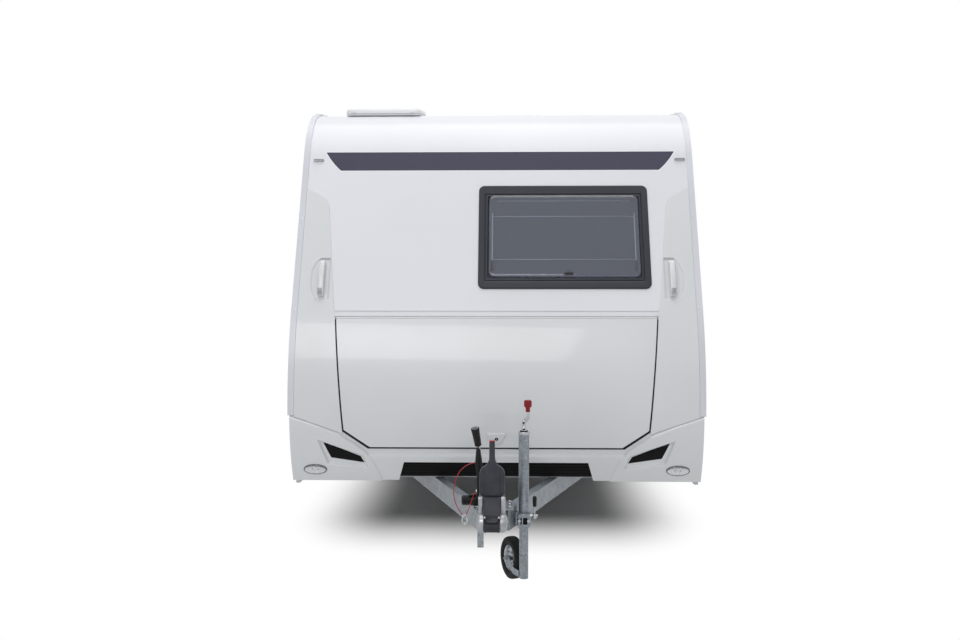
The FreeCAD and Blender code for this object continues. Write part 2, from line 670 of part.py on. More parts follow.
# ---------------------------------------------------------------- body shell
def window_openings(side):
    """Side window places: (start behind the foremost line, width), by side."""
    return {"left": [("bed_window_start", "bed_window_width"),
                     ("left_window_start", "long_window_width")],
            "right": [("right_window_start", "long_window_width")]}[side]


def side_window_loop(start, width, shrink="0"):
    low = "nose + %s + %s" % (start, shrink)
    high = "nose + %s + %s - (%s)" % (start, width, shrink)
    z = ("side_window_low + (%s)" % shrink, "side_window_low + side_window_tall - (%s)" % shrink)
    return rounded((low, high), z, "corner - (%s)" % shrink)


def door_loop(shrink):
    y = ("nose + door_start + %s" % shrink, "nose + door_start + door_width - %s" % shrink)
    z = ("door_low + %s" % shrink, "door_low + door_tall - %s" % shrink)
    return rounded(y, z, "(door_corner - %s)" % shrink)


def hatch_loop(shrink):
    y = ("nose + hatch_start + %s" % shrink, "nose + hatch_start + hatch_width - %s" % shrink)
    z = ("hatch_low + %s" % shrink, "hatch_low + hatch_tall - %s" % shrink)
    return rounded(y, z, "(hatch_corner - %s)" % shrink)


def side_walls():
    arch = ("axle_y", "wheel_radius", "arch_radius")
    left = prism("left_wall", "YZ", ("inner_half", "body_half"), [outline("skin", "body_bottom")])
    through = ("inner_half - 1", "body_half + 1")
    pocket(left, "YZ", through, [arch])
    pocket(left, "YZ", through, [side_window_loop(*spot) for spot in window_openings("left")])
    node(left, "left_side_wall")
    right = prism("right_wall", "YZ", ("-body_half", "-inner_half"),
                  [outline("skin", "body_bottom")])
    through = ("-body_half - 1", "1 - inner_half")
    pocket(right, "YZ", through, [arch])
    pocket(right, "YZ", through, [side_window_loop(*spot) for spot in window_openings("right")])
    pocket(right, "YZ", through, [door_loop("0")])
    pocket(right, "YZ", through, [hatch_loop("0")])
    node(right, "right_side_wall")


def front_window_loop(shrink, radius):
    x = ("front_window_right + %s" % shrink, "front_window_left - %s" % shrink)
    y = ("front_window_low + %s" % shrink, "front_window_low + front_window_tall - %s" % shrink)
    return rounded(x, y, radius)


def on_slope(piece):
    """Lay a piece made on the XY plane onto the sloping front, its +Z outwards."""
    return place(piece, "0", "bend_y", "bend_z", (1, 0, 0), "90 - front_slope")


def rooflight_rows():
    """Rooflights: name, centre across, centre along, half sizes across and along."""
    return [("small", "small_light_x", "nose + small_light_y", "small_light / 2", "small_light / 2"),
            ("large", "0", "nose + large_light_place", "large_light_x / 2", "large_light_y / 2")]


def centred_box(name, half_x, half_y, z):
    return box(name, ("-(%s)" % half_x, half_x), ("-(%s)" % half_y, half_y), z)


def on_roof(piece, x, y):
    """Put a piece made around the origin on the roof's skin, level with the slope there."""
    away = "max(0; crown_y - (%s)) / crown_radius" % y
    height = "crown_z + (crown_radius - skin) * cos(asin(%s))" % away
    place(piece, x, "%s + skin * %s" % (y, away), height, (1, 0, 0), "asin(%s)" % away)
    return piece


def outer_panels():
    shell = band("shell", "skin", "inside", "inner_half", "body_bottom", "body_bottom - 1")
    front_zone = box("front_zone", ("-inner_half", "inner_half"), ("nose - over", "nose + front_deep"),
                     ("body_bottom", "brow_seam"))
    lid_hole = prism("lid_hole", "XZ", ("nose - over", "nose + front_deep"), [lid_loop("gap")])
    window_hole = prism("front_window_hole", "XY", ("-wall * 2", "frame_rise"),
                        [front_window_loop("frame_width", "front_corner")])
    front = common("front_whole", shell, front_zone)
    node(cut("front_cut", front, [lid_hole, on_slope(window_hole)]), "front_panel")
    roof_zone = box("roof_zone", ("-inner_half", "inner_half"), ("nose", "rear - rear_radius"),
                    ("brow_seam", "roof_height + over"))
    rear_top = box("rear_top_zone", ("-inner_half", "inner_half"),
                   ("rear - rear_radius", "rear + over"), ("rear_seam", "roof_height + over"))
    holes = []
    for name, x, y, half_x, half_y in rooflight_rows():
        hole = centred_box(name + "_light_hole", half_x + " - frame_width", half_y + " - frame_width",
                           ("-2 * wall", "wall"))
        holes.append(on_roof(group(name + "_light_opening", [hole]), x, y))
    roof = common("roof_whole", shell, join("roof_zones", [roof_zone, rear_top]))
    node(cut("roof_cut", roof, holes), "roof_panel")
    rear_zone = box("rear_zone", ("-inner_half", "inner_half"), ("rear - rear_radius", "rear + over"),
                    ("body_bottom", "rear_seam"))
    rear_hole = prism("rear_window_hole", "XZ", ("rear - wall * 2", "rear + over"), [rear_window_loop("0")])
    node(cut("rear_cut", common("rear_whole", shell, rear_zone), [rear_hole]), "rear_panel")


def rear_window_loop(shrink):
    z = ("side_window_low + (%s)" % shrink, "side_window_low + side_window_tall - (%s)" % shrink)
    return rounded(("-rear_window_half + %s" % shrink, "rear_window_half - (%s)" % shrink), z,
                   "corner - (%s)" % shrink)


def floor():
    front = ("nose + nose_low_radius + 1"
             " - sqrt((nose_low_radius - inside)^2 - (nose_height - body_bottom)^2)")
    board = box("floor_board", ("-inner_half", "inner_half"), (front, "rear - inside"),
                ("body_bottom", "floor_top"))
    wells = [box("wheel_well", ("box_inner_half", "inner_half + 1"),
                 ("axle_y - arch_radius", "axle_y + arch_radius"),
                 ("body_bottom - 1", "floor_top + 1"))]
    wells.append(mirror("other_wheel_well", wells[0]))
    node(cut("floor_cut", board, wells), "floor_panel")


def wheel_boxes():
    """A plastic box over each wheel, open below and to the side."""
    outer = box("box_outer", ("box_inner_half", "inner_half"),
                ("axle_y - arch_radius", "axle_y + arch_radius"),
                ("body_bottom", "body_bottom + box_tall"))
    inner = box("box_inner", ("box_inner_half + box_skin", "inner_half + 1"),
                ("axle_y - arch_radius + box_skin", "axle_y + arch_radius - box_skin"),
                ("body_bottom - 1", "body_bottom + box_tall - box_skin"))
    node(both_sides("wheel_box_pair", cut("wheel_box", outer, [inner])), "wheel_boxes")


# ---------------------------------------------------------------- outside trim
def awning_rails():
    """An angle strip along each roof edge, on top of the skin and down the side wall."""
    reach = ("body_half - rail_width", "body_half + rail_reach")
    whole = prism("rail_outer", "YZ", reach, [outline("0", "wing_tip_height")])
    on_top = prism("rail_roof_side", "YZ", ("body_half - rail_width - 1", "body_half"),
                   [outline("skin", "body_bottom")])
    hollow = prism("rail_inner", "YZ", ("body_half - rail_width - 2", "body_half + rail_reach + 1"),
                   [outline("rail_drop", "body_bottom")])
    node(both_sides("awning_rail_pair", cut("awning_rail", whole, [on_top, hollow])), "awning_rails")


def front_mouldings():
    skin = band("moulding_skin", "0", "skin", "body_half", "skirt_bottom", "skirt_bottom - over")
    edge = [("lid_foot_half - 3", "ledge_height"), ("wing_knee_half", "wing_knee_height"),
            ("body_half", "wing_tip_height")]
    half = [("0", "skirt_bottom - 1"), ("body_half", "skirt_bottom - 1")]
    loop = half[1:] + list(reversed(edge)) + [("-(%s)" % x, z) for x, z in edge]
    loop.append(("-body_half", "skirt_bottom - 1"))
    zone = prism("bumper_zone", "XZ", ("nose - over", "nose + front_deep"), [loop])
    slot = prism("slot_hole", "XZ", ("nose - over", "nose + front_deep"), [[
        ("-slot_half", "slot_bottom"), ("slot_half", "slot_bottom"),
        ("slot_top_half", "slot_top"), ("-slot_top_half", "slot_top")]])
    foot = box("drawbar_hole", ("-slot_half - 4", "slot_half + 4"), ("nose - over", "nose + front_deep"),
               ("skirt_bottom - 1", "slot_bottom - slot_lip"))
    node(cut("bumper_cut", common("bumper_whole", skin, zone), [slot, foot]), "front_bumper")
    inner, outer = "lid_knee_half + 2 * gap", "body_half - rail_width - seam"
    corner = [(x, "wing_knee_height + seam + (%s - wing_knee_half) * wing_slope" % x)
              for x in (inner, outer)]
    corner += [(outer, "moulding_top"),
               ("moulding_half + moulding_flare", "moulding_step + moulding_flare_rise"),
               ("moulding_half", "moulding_step"),
               ("lid_top_half + 3 * gap", "lid_top + moulding_foot"),
               ("lid_top_half + 2 * gap", "lid_top")]
    side = prism("moulding_zone", "XZ", ("nose - over", "nose + front_deep"), [corner])
    pair = common("corner_moulding", skin, side)
    node(both_sides("corner_moulding_pair", pair), "front_corner_mouldings")


def grab_handles():
    """A bar on two feet on each corner moulding, made lying on the slope."""
    start = "(handle_height - bend_z) / cos(front_slope)"
    x = ("handle_half - handle_bar / 2", "handle_half + handle_bar / 2")
    bar = prism("handle_bar_body", "XY", ("trim_rise", "trim_rise + handle_space + handle_bar"),
                [rounded(x, (start, "%s + handle_length" % start), "handle_bar / 2.5")],
                [("YZ", ("0", "body_half * 2"), [[
                    ("%s + handle_bar" % start, "trim_rise - 1"),
                    ("%s + handle_length - handle_bar" % start, "trim_rise - 1"),
                    ("%s + handle_length - handle_bar" % start, "trim_rise + handle_space"),
                    ("%s + handle_bar" % start, "trim_rise + handle_space")]])])
    on_slope(bar)
    sunk = place(group("handle_lowered", [bar]), "0", "skin * cos(front_slope)",
                 "-skin * sin(front_slope)")
    node(both_sides("grab_handle_pair", sunk), "grab_handles")


def locker_lid():
    shell = band("lid_skin", "0", "wall", "lid_top_half", "skirt_bottom", "skirt_bottom - over")
    zone = prism("lid_zone", "XZ", ("nose - over", "nose + front_deep"), [lid_loop("0")])
    bore = cylinder("lid_hinge_bore", "hinge_radius + fit", "X", "-lid_top_half - over",
                    "lid_top_half + over", ("hinge_y", "hinge_z"))
    node(cut("lid_cut", common("lid_whole", shell, zone), [bore]), "locker_lid")


def locker_hinge_rail():
    """The trim strip above the lid, with the bead that the lid's top edge turns on."""
    skin = band("strip_skin", "0", "skin", "lid_top_half", "skirt_bottom", "skirt_bottom - over")
    zone = box("strip_zone", ("-lid_top_half", "lid_top_half"), ("nose - over", "nose + front_deep"),
               ("hinge_z", "hinge_rail_top"))
    bead = cylinder("hinge_bead", "hinge_radius", "X", "-lid_top_half", "lid_top_half",
                    ("hinge_y", "hinge_z"))
    node(join("hinge_strip", [common("strip", skin, zone), bead]), "locker_hinge_rail")


def locker_bulkhead():
    """The board wall and shelf between the gas locker and the cabin."""
    x = ("-inner_half", "inner_half")
    wall = box("bulkhead_wall", x, ("nose + locker_depth", "nose + locker_depth + board"),
               ("floor_top", "shelf_top"))
    shelf = box("bulkhead_shelf", x, ("shelf_front", "nose + locker_depth"),
                ("shelf_top - board", "shelf_top"))
    node(join("bulkhead", [wall, shelf]), "locker_bulkhead")


# ---------------------------------------------------------------- windows
def ring(name, plane, span, outer, inner):
    return prism(name, plane, span, [outer], [(plane, ("%s - 1" % span[0], "%s + 1" % span[1]),
                                               [inner])])


def windows():
    frames, panes = [], []
    lap = "frame_lap"
    rise = ("0", "frame_rise")
    ring_body = ring("front_window_ring", "XY", rise, front_window_loop("0", "front_corner"),
                     front_window_loop("(frame_width + %s)" % lap, "front_corner / 2"))
    pane = prism("front_window_glass", "XY", ("-pane_thick", "0"),
                 [front_window_loop("(frame_width + 1)", "front_corner")])
    down = ("0", "skin * cos(front_slope)", "-skin * sin(front_slope)")
    for piece, pile in ((ring_body, frames), (pane, panes)):
        on_slope(piece)
        pile.append(place(group(piece.Name + "_down", [piece]), *down))
    for side, low, high in (("left", "body_half", "body_half + frame_rise"),
                            ("right", "-body_half - frame_rise", "-body_half")):
        for index, spot in enumerate(window_openings(side)):
            name = "%s_window%d" % (side, index + 1)
            grow = "(-frame_width / 2)"
            frames.append(ring(name + "_ring", "YZ", (low, high),
                               side_window_loop(*spot, grow), side_window_loop(*spot, lap)))
            glass = ("body_half - pane_thick", "body_half") if side == "left" else (
                "-body_half", "-body_half + pane_thick")
            panes.append(prism(name + "_glass", "YZ", glass, [side_window_loop(*spot, "1")]))
    rear_face = "rear - skin"
    frames.append(ring("rear_window_ring", "XZ", (rear_face, rear_face + " + frame_rise"),
                       rear_window_loop("(-frame_width / 2)"), rear_window_loop(lap)))
    panes.append(prism("rear_window_glass", "XZ", (rear_face + " - pane_thick", rear_face),
                       [rear_window_loop("1")]))
    node(group("window_frame_set", frames), "window_frames")
    node(group("window_pane_set", panes), "window_panes")


def rooflights():
    """A frame through the roof with a shallow dome on it, at each rooflight."""
    lights = []
    for name, x, y, half_x, half_y in rooflight_rows():
        frame = centred_box(name + "_frame", half_x, half_y, ("0", "light_base"))
        lap = " + light_lap"
        dome = centred_box(name + "_dome", half_x + lap, half_y + lap, ("light_base", "light_rise"))
        hollow = centred_box(name + "_hollow", half_x + " - frame_width", half_y + " - frame_width",
                             ("-1", "light_rise - dome_skin"))
        whole = cut(name + "_light", join(name + "_light_whole", [frame, dome]), [hollow])
        lights.append(on_roof(group(name + "_light_set", [whole]), x, y))
    node(group("rooflight_set", lights), "rooflights")


# ---------------------------------------------------------------- doors
# name, hinge line along Y, hinge eye heights
SIDE_HINGES = {
    "door": ("nose + door_start + gap / 2",
             ["door_low + door_eye", "door_low + door_tall - door_eye - eye_length"]),
    "hatch": ("nose + hatch_start + gap / 2",
              ["hatch_low + hatch_eye", "hatch_low + hatch_tall - hatch_eye - eye_length"]),
}


def door_window_loop(shrink):
    middle = "nose + door_start + door_width / 2"
    y = ("%s - door_window_width / 2 + (%s)" % (middle, shrink),
         "%s + door_window_width / 2 - (%s)" % (middle, shrink))
    z = ("door_window_low + (%s)" % shrink, "door_window_low + door_window_tall - (%s)" % shrink)
    return rounded(y, z, "corner - (%s)" % shrink)


def hinged_leaf(kind, loop, pockets=()):
    """A leaf in the right side wall with the moving eyes of its hinges on its front edge."""
    hinge_y, heights = SIDE_HINGES[kind]
    parts = [prism(kind + "_leaf", "YZ", ("-body_half", "-inner_half"), [loop], pockets)]
    bores = []
    at = ("side_hinge_x", hinge_y)
    around = (("side_hinge_x - over", "side_hinge_x + over"),
              (hinge_y + " - eye_space", hinge_y + " + eye_space"))
    for index, low in enumerate(heights):
        high = "%s + eye_length" % low
        name = "%s_eye%d" % (kind, index)
        parts.append(cylinder(name, "eye_radius", "Z", low, high, at))
        parts.append(box(name + "_strap", ("side_hinge_x", "-body_half"),
                         (hinge_y, hinge_y + " + strap"), (low, high)))
        bores.append(cylinder(name + "_bore", "pin_radius + fit", "Z", low + " - 1", high + " + 1", at))
        bores.append(box(name + "_clear", *around, (high, high + " + eye_length")))
        bores.append(box(name + "_clear_low", *around, (low + " - eye_length", low)))
    return cut(kind + "_cut", join(kind + "_whole", parts), bores)


def entry_door():
    through = ("-body_half - 1", "1 - inner_half")
    node(hinged_leaf("door", door_loop("gap"), [("YZ", through, [door_window_loop("0")])]),
         "entry_door")
    node(prism("door_glass", "YZ", ("-body_half", "-body_half + pane_thick"),
               [door_window_loop("1")]), "entry_door_pane")


def toilet_hatch():
    node(hinged_leaf("hatch", hatch_loop("gap")), "toilet_hatch")


def side_hinges():
    """The fixed eyes, straps and pins that the entry door and the toilet hatch turn on."""
    solids = []
    for kind, (hinge_y, heights) in SIDE_HINGES.items():
        at = ("side_hinge_x", hinge_y)
        for index, eye in enumerate(heights):
            name = "%s_hinge%d" % (kind, index)
            low, high = eye + " - knuckle", eye + " + eye_length + knuckle"
            parts = [cylinder(name + "_pin", "pin_radius", "Z", low, high, at)]
            for part, start, end in (("low", low, eye + " - fit"),
                                     ("high", eye + " + eye_length + fit", high)):
                parts.append(cylinder("%s_%s" % (name, part), "eye_radius", "Z", start, end, at))
                parts.append(box("%s_%s_strap" % (name, part), ("side_hinge_x", "-body_half"),
                                 (hinge_y + " - strap", hinge_y), (start, end)))
            solids.append(join(name, parts))
    node(group("hinge_set", solids), "side_hinges")


# ---------------------------------------------------------------- rear
def rear_end():
    back, top = "rear + rear_reach", "skirt_bottom + bumper_tall"
    across = ("-body_half - 1", "body_half + 1")
    whole = box("rear_bumper_block", ("-body_half", "body_half"), ("rear - skin", back),
                ("skirt_bottom", top))
    low = prism("rear_bumper_slope", "YZ", across, [[
        (back + " + 1", "skirt_bottom - 1"), (back + " + 1", "skirt_bottom + bumper_low_bevel"),
        (back + " - bumper_bevel_deep", "skirt_bottom - 1")]])
    high = prism("rear_bumper_top", "YZ", across, [[
        (back + " + 1", top + " - bumper_high_bevel"), (back + " + 1", top + " + 1"),
        (back + " - bumper_bevel_deep", top + " + 1")]])
    plate = box("plate_recess", ("-plate_half", "plate_half"), (back + " - plate_deep", back + " + 1"),
                ("skirt_bottom + plate_low", "skirt_bottom + plate_low + plate_tall"))
    node(cut("rear_bumper_cut", whole, [low, high, plate]), "rear_bumper")
    x = ("body_half - lamp_inset - lamp_width", "body_half - lamp_inset")
    lamp = prism("tail_lamp", "XZ", ("rear - skin", "rear - skin + lamp_rise"),
                 [rounded(x, ("lamp_low", "lamp_low + lamp_tall"), "lamp_corner")])
    node(both_sides("tail_lamp_pair", lamp), "tail_lamps")


# ---------------------------------------------------------------- chassis
def channel(name, tall, wide, length):
    """A channel of folded plate along +Y, its back at X = 0 and its flanges towards +X."""
    body = prism(name, "XZ", ("0", length), [[
        ("0", "0"), (wide, "0"), (wide, "steel"), ("steel", "steel"),
        ("steel", "%s - steel" % tall), (wide, "%s - steel" % tall), (wide, tall), ("0", tall)]])
    return body


def chassis():
    bar = channel("drawbar", "drawbar_tall", "drawbar_wide", "drawbar_length")
    place(bar, "-drawbar_front_half", "nose - drawbar_front", "chassis_bottom", (0, 0, 1),
          "drawbar_angle")
    node(group("drawbar_right_bar", [bar]), "drawbar_right")
    node(mirror("drawbar_left_bar", bar), "drawbar_left")
    rail = channel("rail", "body_bottom - chassis_bottom", "rail_flange", "rail_end - rail_start")
    place(rail, "rail_half", "nose + rail_start", "chassis_bottom")
    node(both_sides("rail_pair", rail), "chassis_rails")
    members = []
    for index, spot in enumerate(["rail_start + member_first", "rail_end - member_last"]):
        members.append(box("member%d" % index, ("-rail_half", "rail_half"),
                           ("nose + %s" % spot, "nose + %s + member_width" % spot),
                           ("body_bottom - member_tall", "body_bottom - 1")))
    node(group("member_set", members), "chassis_crossmembers")
    tube_y = "axle_y - arm_length"
    corners = [("%s + axle_tube_radius * cos(%d)" % (tube_y, 60 * k),
                "axle_tube_height + axle_tube_radius * sin(%d)" % (60 * k)) for k in range(6)]
    beam = prism("axle_tube", "YZ", ("-axle_half", "axle_half"), [corners])
    seat = box("axle_seat", ("rail_half - seat_lap", "rail_half + rail_flange + seat_lap"),
               (tube_y + " - seat_half", tube_y + " + seat_half"),
               ("axle_tube_height", "chassis_bottom"))
    arm = prism("swing_arm_plate", "YZ", ("axle_half - arm_thick", "axle_half"), [[
        (tube_y, "axle_tube_height - arm_root"), ("axle_y", "wheel_radius - arm_tip"),
        ("axle_y + arm_tip", "wheel_radius"), ("axle_y", "wheel_radius + arm_tip"),
        (tube_y, "axle_tube_height + arm_root"), (tube_y + " - arm_root", "axle_tube_height")]])
    stub = cylinder("stub_axle", "hub_radius - fit", "X", "axle_half - arm_thick",
                    "wheel_half + wheel_disc", ("axle_y", "wheel_radius"))
    side = [seat, arm, stub]
    others = [mirror(part.Name + "_other", part) for part in side]
    node(join("axle", [beam] + side + others), "axle")


def skirts():
    """Side skirt rails under the side walls, before and behind the wheel."""
    parts = []
    x = ("body_half - skirt_inset - skirt_thick", "body_half - skirt_inset")
    for index, span in enumerate([("nose + skirt_start", "axle_y - arch_radius - skirt_gap"),
                                  ("axle_y + arch_radius + skirt_gap", "rear - skin - 1")]):
        parts.append(box("skirt%d" % index, x, span, ("skirt_bottom - skirt_drop", "body_bottom")))
    others = [mirror("skirt_other%d" % index, part) for index, part in enumerate(parts)]
    node(group("skirt_set", parts + others), "side_skirts")


# ---------------------------------------------------------------- wheels
def wheels():
    """A tyre and a rim with its drum for each side, turned about the axle."""
    half = "tyre_width / 2"
    edge = half + " - tyre_lip"
    tyre_loop = [("-" + half + " + tyre_lip", "rim_radius"), (edge, "rim_radius"),
                 (half, "rim_radius + tyre_swell"), (half, "wheel_radius - shoulder_drop"),
                 (half + " - tyre_shoulder", "wheel_radius"),
                 ("-" + half + " + tyre_shoulder", "wheel_radius"),
                 ("-" + half, "wheel_radius - shoulder_drop"), ("-" + half, "rim_radius + tyre_swell")]
    face, back = "wheel_disc + disc_thick / 2", "wheel_disc - disc_thick / 2"
    rim_loop = [("-wheel_hub_in", "hub_radius"), (face, "hub_radius"),
                (face, "rim_radius - rim_well"), (edge, "rim_radius - rim_edge"),
                (edge, "rim_radius"), ("-(%s)" % edge, "rim_radius"),
                ("-(%s)" % edge, "rim_radius - rim_edge"), (back, "rim_radius - rim_well"),
                (back, "drum_radius"), ("-wheel_hub_in", "drum_radius")]
    for side, x, turn in (("left", "wheel_half", "0"), ("right", "-wheel_half", "180")):
        for kind, loop in (("tyre", tyre_loop), ("rim", rim_loop)):
            name = "%s_%s" % (side, kind)
            body = revolved(name + "_body", loop)
            node(place(body, x, "axle_y", "wheel_radius", (0, 0, 1), turn), name)


# ---------------------------------------------------------------- coupling and drawbar fittings
def overrun():
    """The overrun housing on its plate, the sliding tube, the lever's ear and the hanging lug."""
    y = ("nose - housing_front", "nose - housing_back")
    plate = box("housing_plate", ("-drawbar_front_half - plate_lap", "drawbar_front_half + plate_lap"),
                ("nose - drawbar_front - plate_nose", "nose - housing_back"),
                ("bar_top", "bar_top + plate_thick"))
    casting = box("housing_body", ("-housing_half", "housing_half"), y,
                  ("bar_top", "ball_height + housing_rise"))
    snout = cylinder("housing_snout", "drawtube_radius + snout_wall", "Y",
                     "nose - housing_front - snout_length", "nose - housing_front", ("0", "ball_height"))
    bar = cylinder("drawtube", "drawtube_radius", "Y", "ball_y + coupling_back - snout_length",
                   "nose - housing_back", ("0", "ball_height"))
    ear = box("lever_ear", ("-housing_half - ear_thick", "-housing_half"),
              ("nose - ear_front", "nose - ear_back"),
              ("ball_height - ear_drop", "ball_height + ear_rise"))
    x = ("lug_x - lug_half", "lug_x + lug_half")
    lug = box("housing_lug", x, ("nose - lug_front", "nose - lug_front + plate_thick"),
              ("lug_bottom", "bar_top"))
    foot = box("housing_lug_foot", x, ("nose - lug_front", "nose - drawbar_front"),
               ("bar_top", "bar_top + plate_thick"))
    node(join("housing", [plate, casting, snout, bar, ear, lug, foot]), "overrun_housing")


# Outlines in millimetres from the towing ball's centre.
COUPLING_SIDE = [(-30, -22), (60, -22), (80, -30), (130, -30), (130, 32), (30, 52), (-20, 46),
                 (-36, 20)]     # behind it, above it
HANDLE_FACE = [(32, 60), (53, 110), (53, 214), (40, 239), (16, 254), (11, 324)]
# one half, upwards: across, above it


def coupling():
    """The coupling head with its socket, friction pads and rubber nose, and its handle."""
    shell = prism("coupling_shell", "YZ", ("-coupling_half", "coupling_half"), [[
        ("ball_y + %d" % behind, "ball_height + %d" % above) for behind, above in COUPLING_SIDE]])
    nose = cylinder("rubber_nose", "nose_radius", "X", "-nose_half", "nose_half",
                    ("ball_y - nose_place", "ball_height"))
    at = ("ball_y", "ball_height")
    pads = [cylinder("pad", "pad_radius", "X", "coupling_half", "pad_half", at)]
    pads.append(mirror("pad_other", pads[0]))
    mouth = cylinder("socket_mouth", "socket_radius", "Z", "ball_height - 2 * nose_half",
                     "ball_height", ("0", "ball_y"))
    dome = doc.addObject("Part::Sphere", "socket_dome")
    bind(dome, {"Radius": "socket_radius"})
    place(dome, "0", *at)
    bore = cylinder("coupling_bore", "drawtube_radius", "Y", "ball_y + coupling_back - snout_length",
                    "ball_y + coupling_back + 1", ("0", "ball_height"))
    node(cut("coupling", join("coupling_whole", [shell, nose] + pads), [mouth, dome, bore]),
         "coupling_head")
    front, back = "ball_y + handle_front - handle_deep", "ball_y + handle_front"
    arm = box("handle_arm_body", ("coupling_half + fit", "coupling_half + handle_arm"),
              (front + " + handle_arm", back), ("ball_height", "ball_height + handle_arm_top"))
    right = [(str(across), "ball_height + %d" % above) for across, above in HANDLE_FACE]
    left = [("-" + across, above) for across, above in reversed(right)]
    grip = prism("handle_grip", "XZ", (front, back), [right + left])
    node(join("handle", [grip, arm, mirror("handle_arm_other", arm)]), "coupling_handle")


# The breakaway cable's route: across, ahead of the foremost line, above the ground; chosen by hand.
CABLE_ROUTE = [(-80, 742, 600), (-114, 742, 600), (-150, 746, 586), (-172, 752, 548),
               (-180, 758, 500), (-174, 762, 450), (-156, 764, 410), (-146, 764, 384),
               (-128, 763, 374), (-112, 760, 386), (-106, 752, 410), (-102, 746, 436),
               (-80, 746, 436)]


def brake_lever():
    """The handbrake lever, pulled up, with its grip, on the housing's right side."""
    outer, inner = "-housing_half - ear_thick - lever_thick", "-housing_half - ear_thick"
    middle = "nose - lever_place"
    blade = prism("lever_blade", "YZ", (outer, inner), [[
        (middle + " - 30", "ball_height - 10"), (middle + " + 20", "ball_height - 10"),
        (middle + " + 12", "brake_lever_top - grip_length - 35"),
        (middle + " + 12", "brake_lever_top - grip_length + 35"),
        (middle + " - 12", "brake_lever_top - grip_length + 35"),
        (middle + " - 16", "brake_lever_top - grip_length - 35")]])
    grip = cylinder("lever_grip", "grip_radius", "Z", "brake_lever_top - grip_length",
                    "brake_lever_top", (outer + " + lever_thick / 2", middle))
    eyes = [cylinder("cable_eye%d" % index, "cable_eye", "X", outer + " - eye_reach", outer,
                     ("nose - %d" % ahead, str(height)))
            for index, (ahead, height) in enumerate((CABLE_ROUTE[0][1:], CABLE_ROUTE[-1][1:]))]
    node(join("lever", [blade, grip] + eyes), "handbrake_lever")
    middle = "nose - plug_place"
    plug = cylinder("plug", "plug_radius", "X", "-housing_half - plug_end", inner,
                    (middle, "ball_height"))
    foot = box("plug_foot_block", ("-housing_half - foot_reach", "-housing_half"),
               (middle + " - plug_foot", middle + " + plug_foot"),
               ("ball_height - plug_foot", "ball_height + plug_foot"))
    node(join("plug_and_holder", [plug, foot]), "parked_plug")


def jockey():
    """The jockey wheel: tube in its clamp, sliding tube, swivelling fork and wheel."""
    x, y = "jockey_x", "jockey_y"
    at = (x, y)
    rim_of_cap = "jockey_top - tube_cap"
    outer = tube("jockey_tube", "jockey_outer", "jockey_outer - tube_wall", "Z", "jockey_outer_low",
                 rim_of_cap, at)
    cap = cylinder("jockey_cap", "jockey_outer + 1", "Z", rim_of_cap, "jockey_top", at)
    stem = cylinder("crank_stem", "crank_radius", "Z", "jockey_top", "crank_height", at)
    arm = box("crank_arm", (x, x + " + crank_reach"), (y + " - tube_cap", y + " + tube_cap"),
              ("crank_height - tube_cap", "crank_height + tube_cap"))
    knob_at = (x + " + crank_reach", y)
    spindle = cylinder("crank_spindle", "crank_radius", "Z", "crank_height - tube_cap",
                       "knob_height - knob_tall", knob_at)
    knob = cylinder("crank_knob", "knob_radius", "Z", "knob_height - knob_tall", "knob_height", knob_at)
    node(join("jockey_outer_whole", [outer, cap, stem, arm, spindle, knob]), "jockey_outer_tube")
    jockey_clamp(at)
    inner = tube("inner_tube", "jockey_inner", "jockey_inner - tube_wall", "Z",
                 "jockey_joint + tube_cap", "jockey_top - inner_top", at)
    plug = cylinder("inner_plug", "jockey_inner", "Z", "jockey_joint", "jockey_joint + tube_cap", at)
    pin = cylinder("swivel_pin", "swivel_radius", "Z", "jockey_joint - swivel_length",
                   "jockey_joint", at)
    node(join("inner_whole", [inner, plug, pin]), "jockey_inner_tube")
    jockey_wheel(at)


def jockey_clamp(at):
    """The collar around the tube, its bridge to the drawbar, the bolt and its lever."""
    x, y = at
    collar = tube("clamp_collar", "jockey_outer + clamp_wall", "jockey_outer", "Z",
                  "chassis_bottom", "chassis_bottom + clamp_tall", at)
    bar_face = "(drawbar_front_half + (drawbar_front - jockey_ahead) * tan(drawbar_angle))"
    bridge = box("clamp_bridge", (bar_face + " - steel", x + " - jockey_outer - 1"),
                 (y + " - jockey_outer", y + " + steel"),
                 ("chassis_bottom + 1", "chassis_bottom + clamp_tall - 1"))
    solid_bar = place(prism("clamp_clear", "XZ", ("0", "drawbar_length"), [[
        ("0", "-1"), ("drawbar_wide", "-1"), ("drawbar_wide", "drawbar_tall + 1"),
        ("0", "drawbar_tall + 1")]]), "-drawbar_front_half", "nose - drawbar_front",
        "chassis_bottom", (0, 0, 1), "drawbar_angle")
    seat = cut("clamp_seat", join("clamp_block", [collar, bridge]), [mirror("clamp_bar", solid_bar)])
    far = x + " + jockey_outer + clamp_reach"
    height = "chassis_bottom + clamp_bolt_height"
    bolt = cylinder("clamp_bolt", "clamp_bolt_radius", "X", x + " + jockey_outer + steel",
                    far + " + clamp_bolt_radius", (y + " - clamp_offset", height))
    lever = box("clamp_lever_bar", (far + " - 2 * steel", far),
                (y + " - clamp_offset - steel", y + " - clamp_offset + steel"),
                (height, height + " + clamp_lever"))
    node(join("clamp", [seat, bolt, lever]), "jockey_clamp")


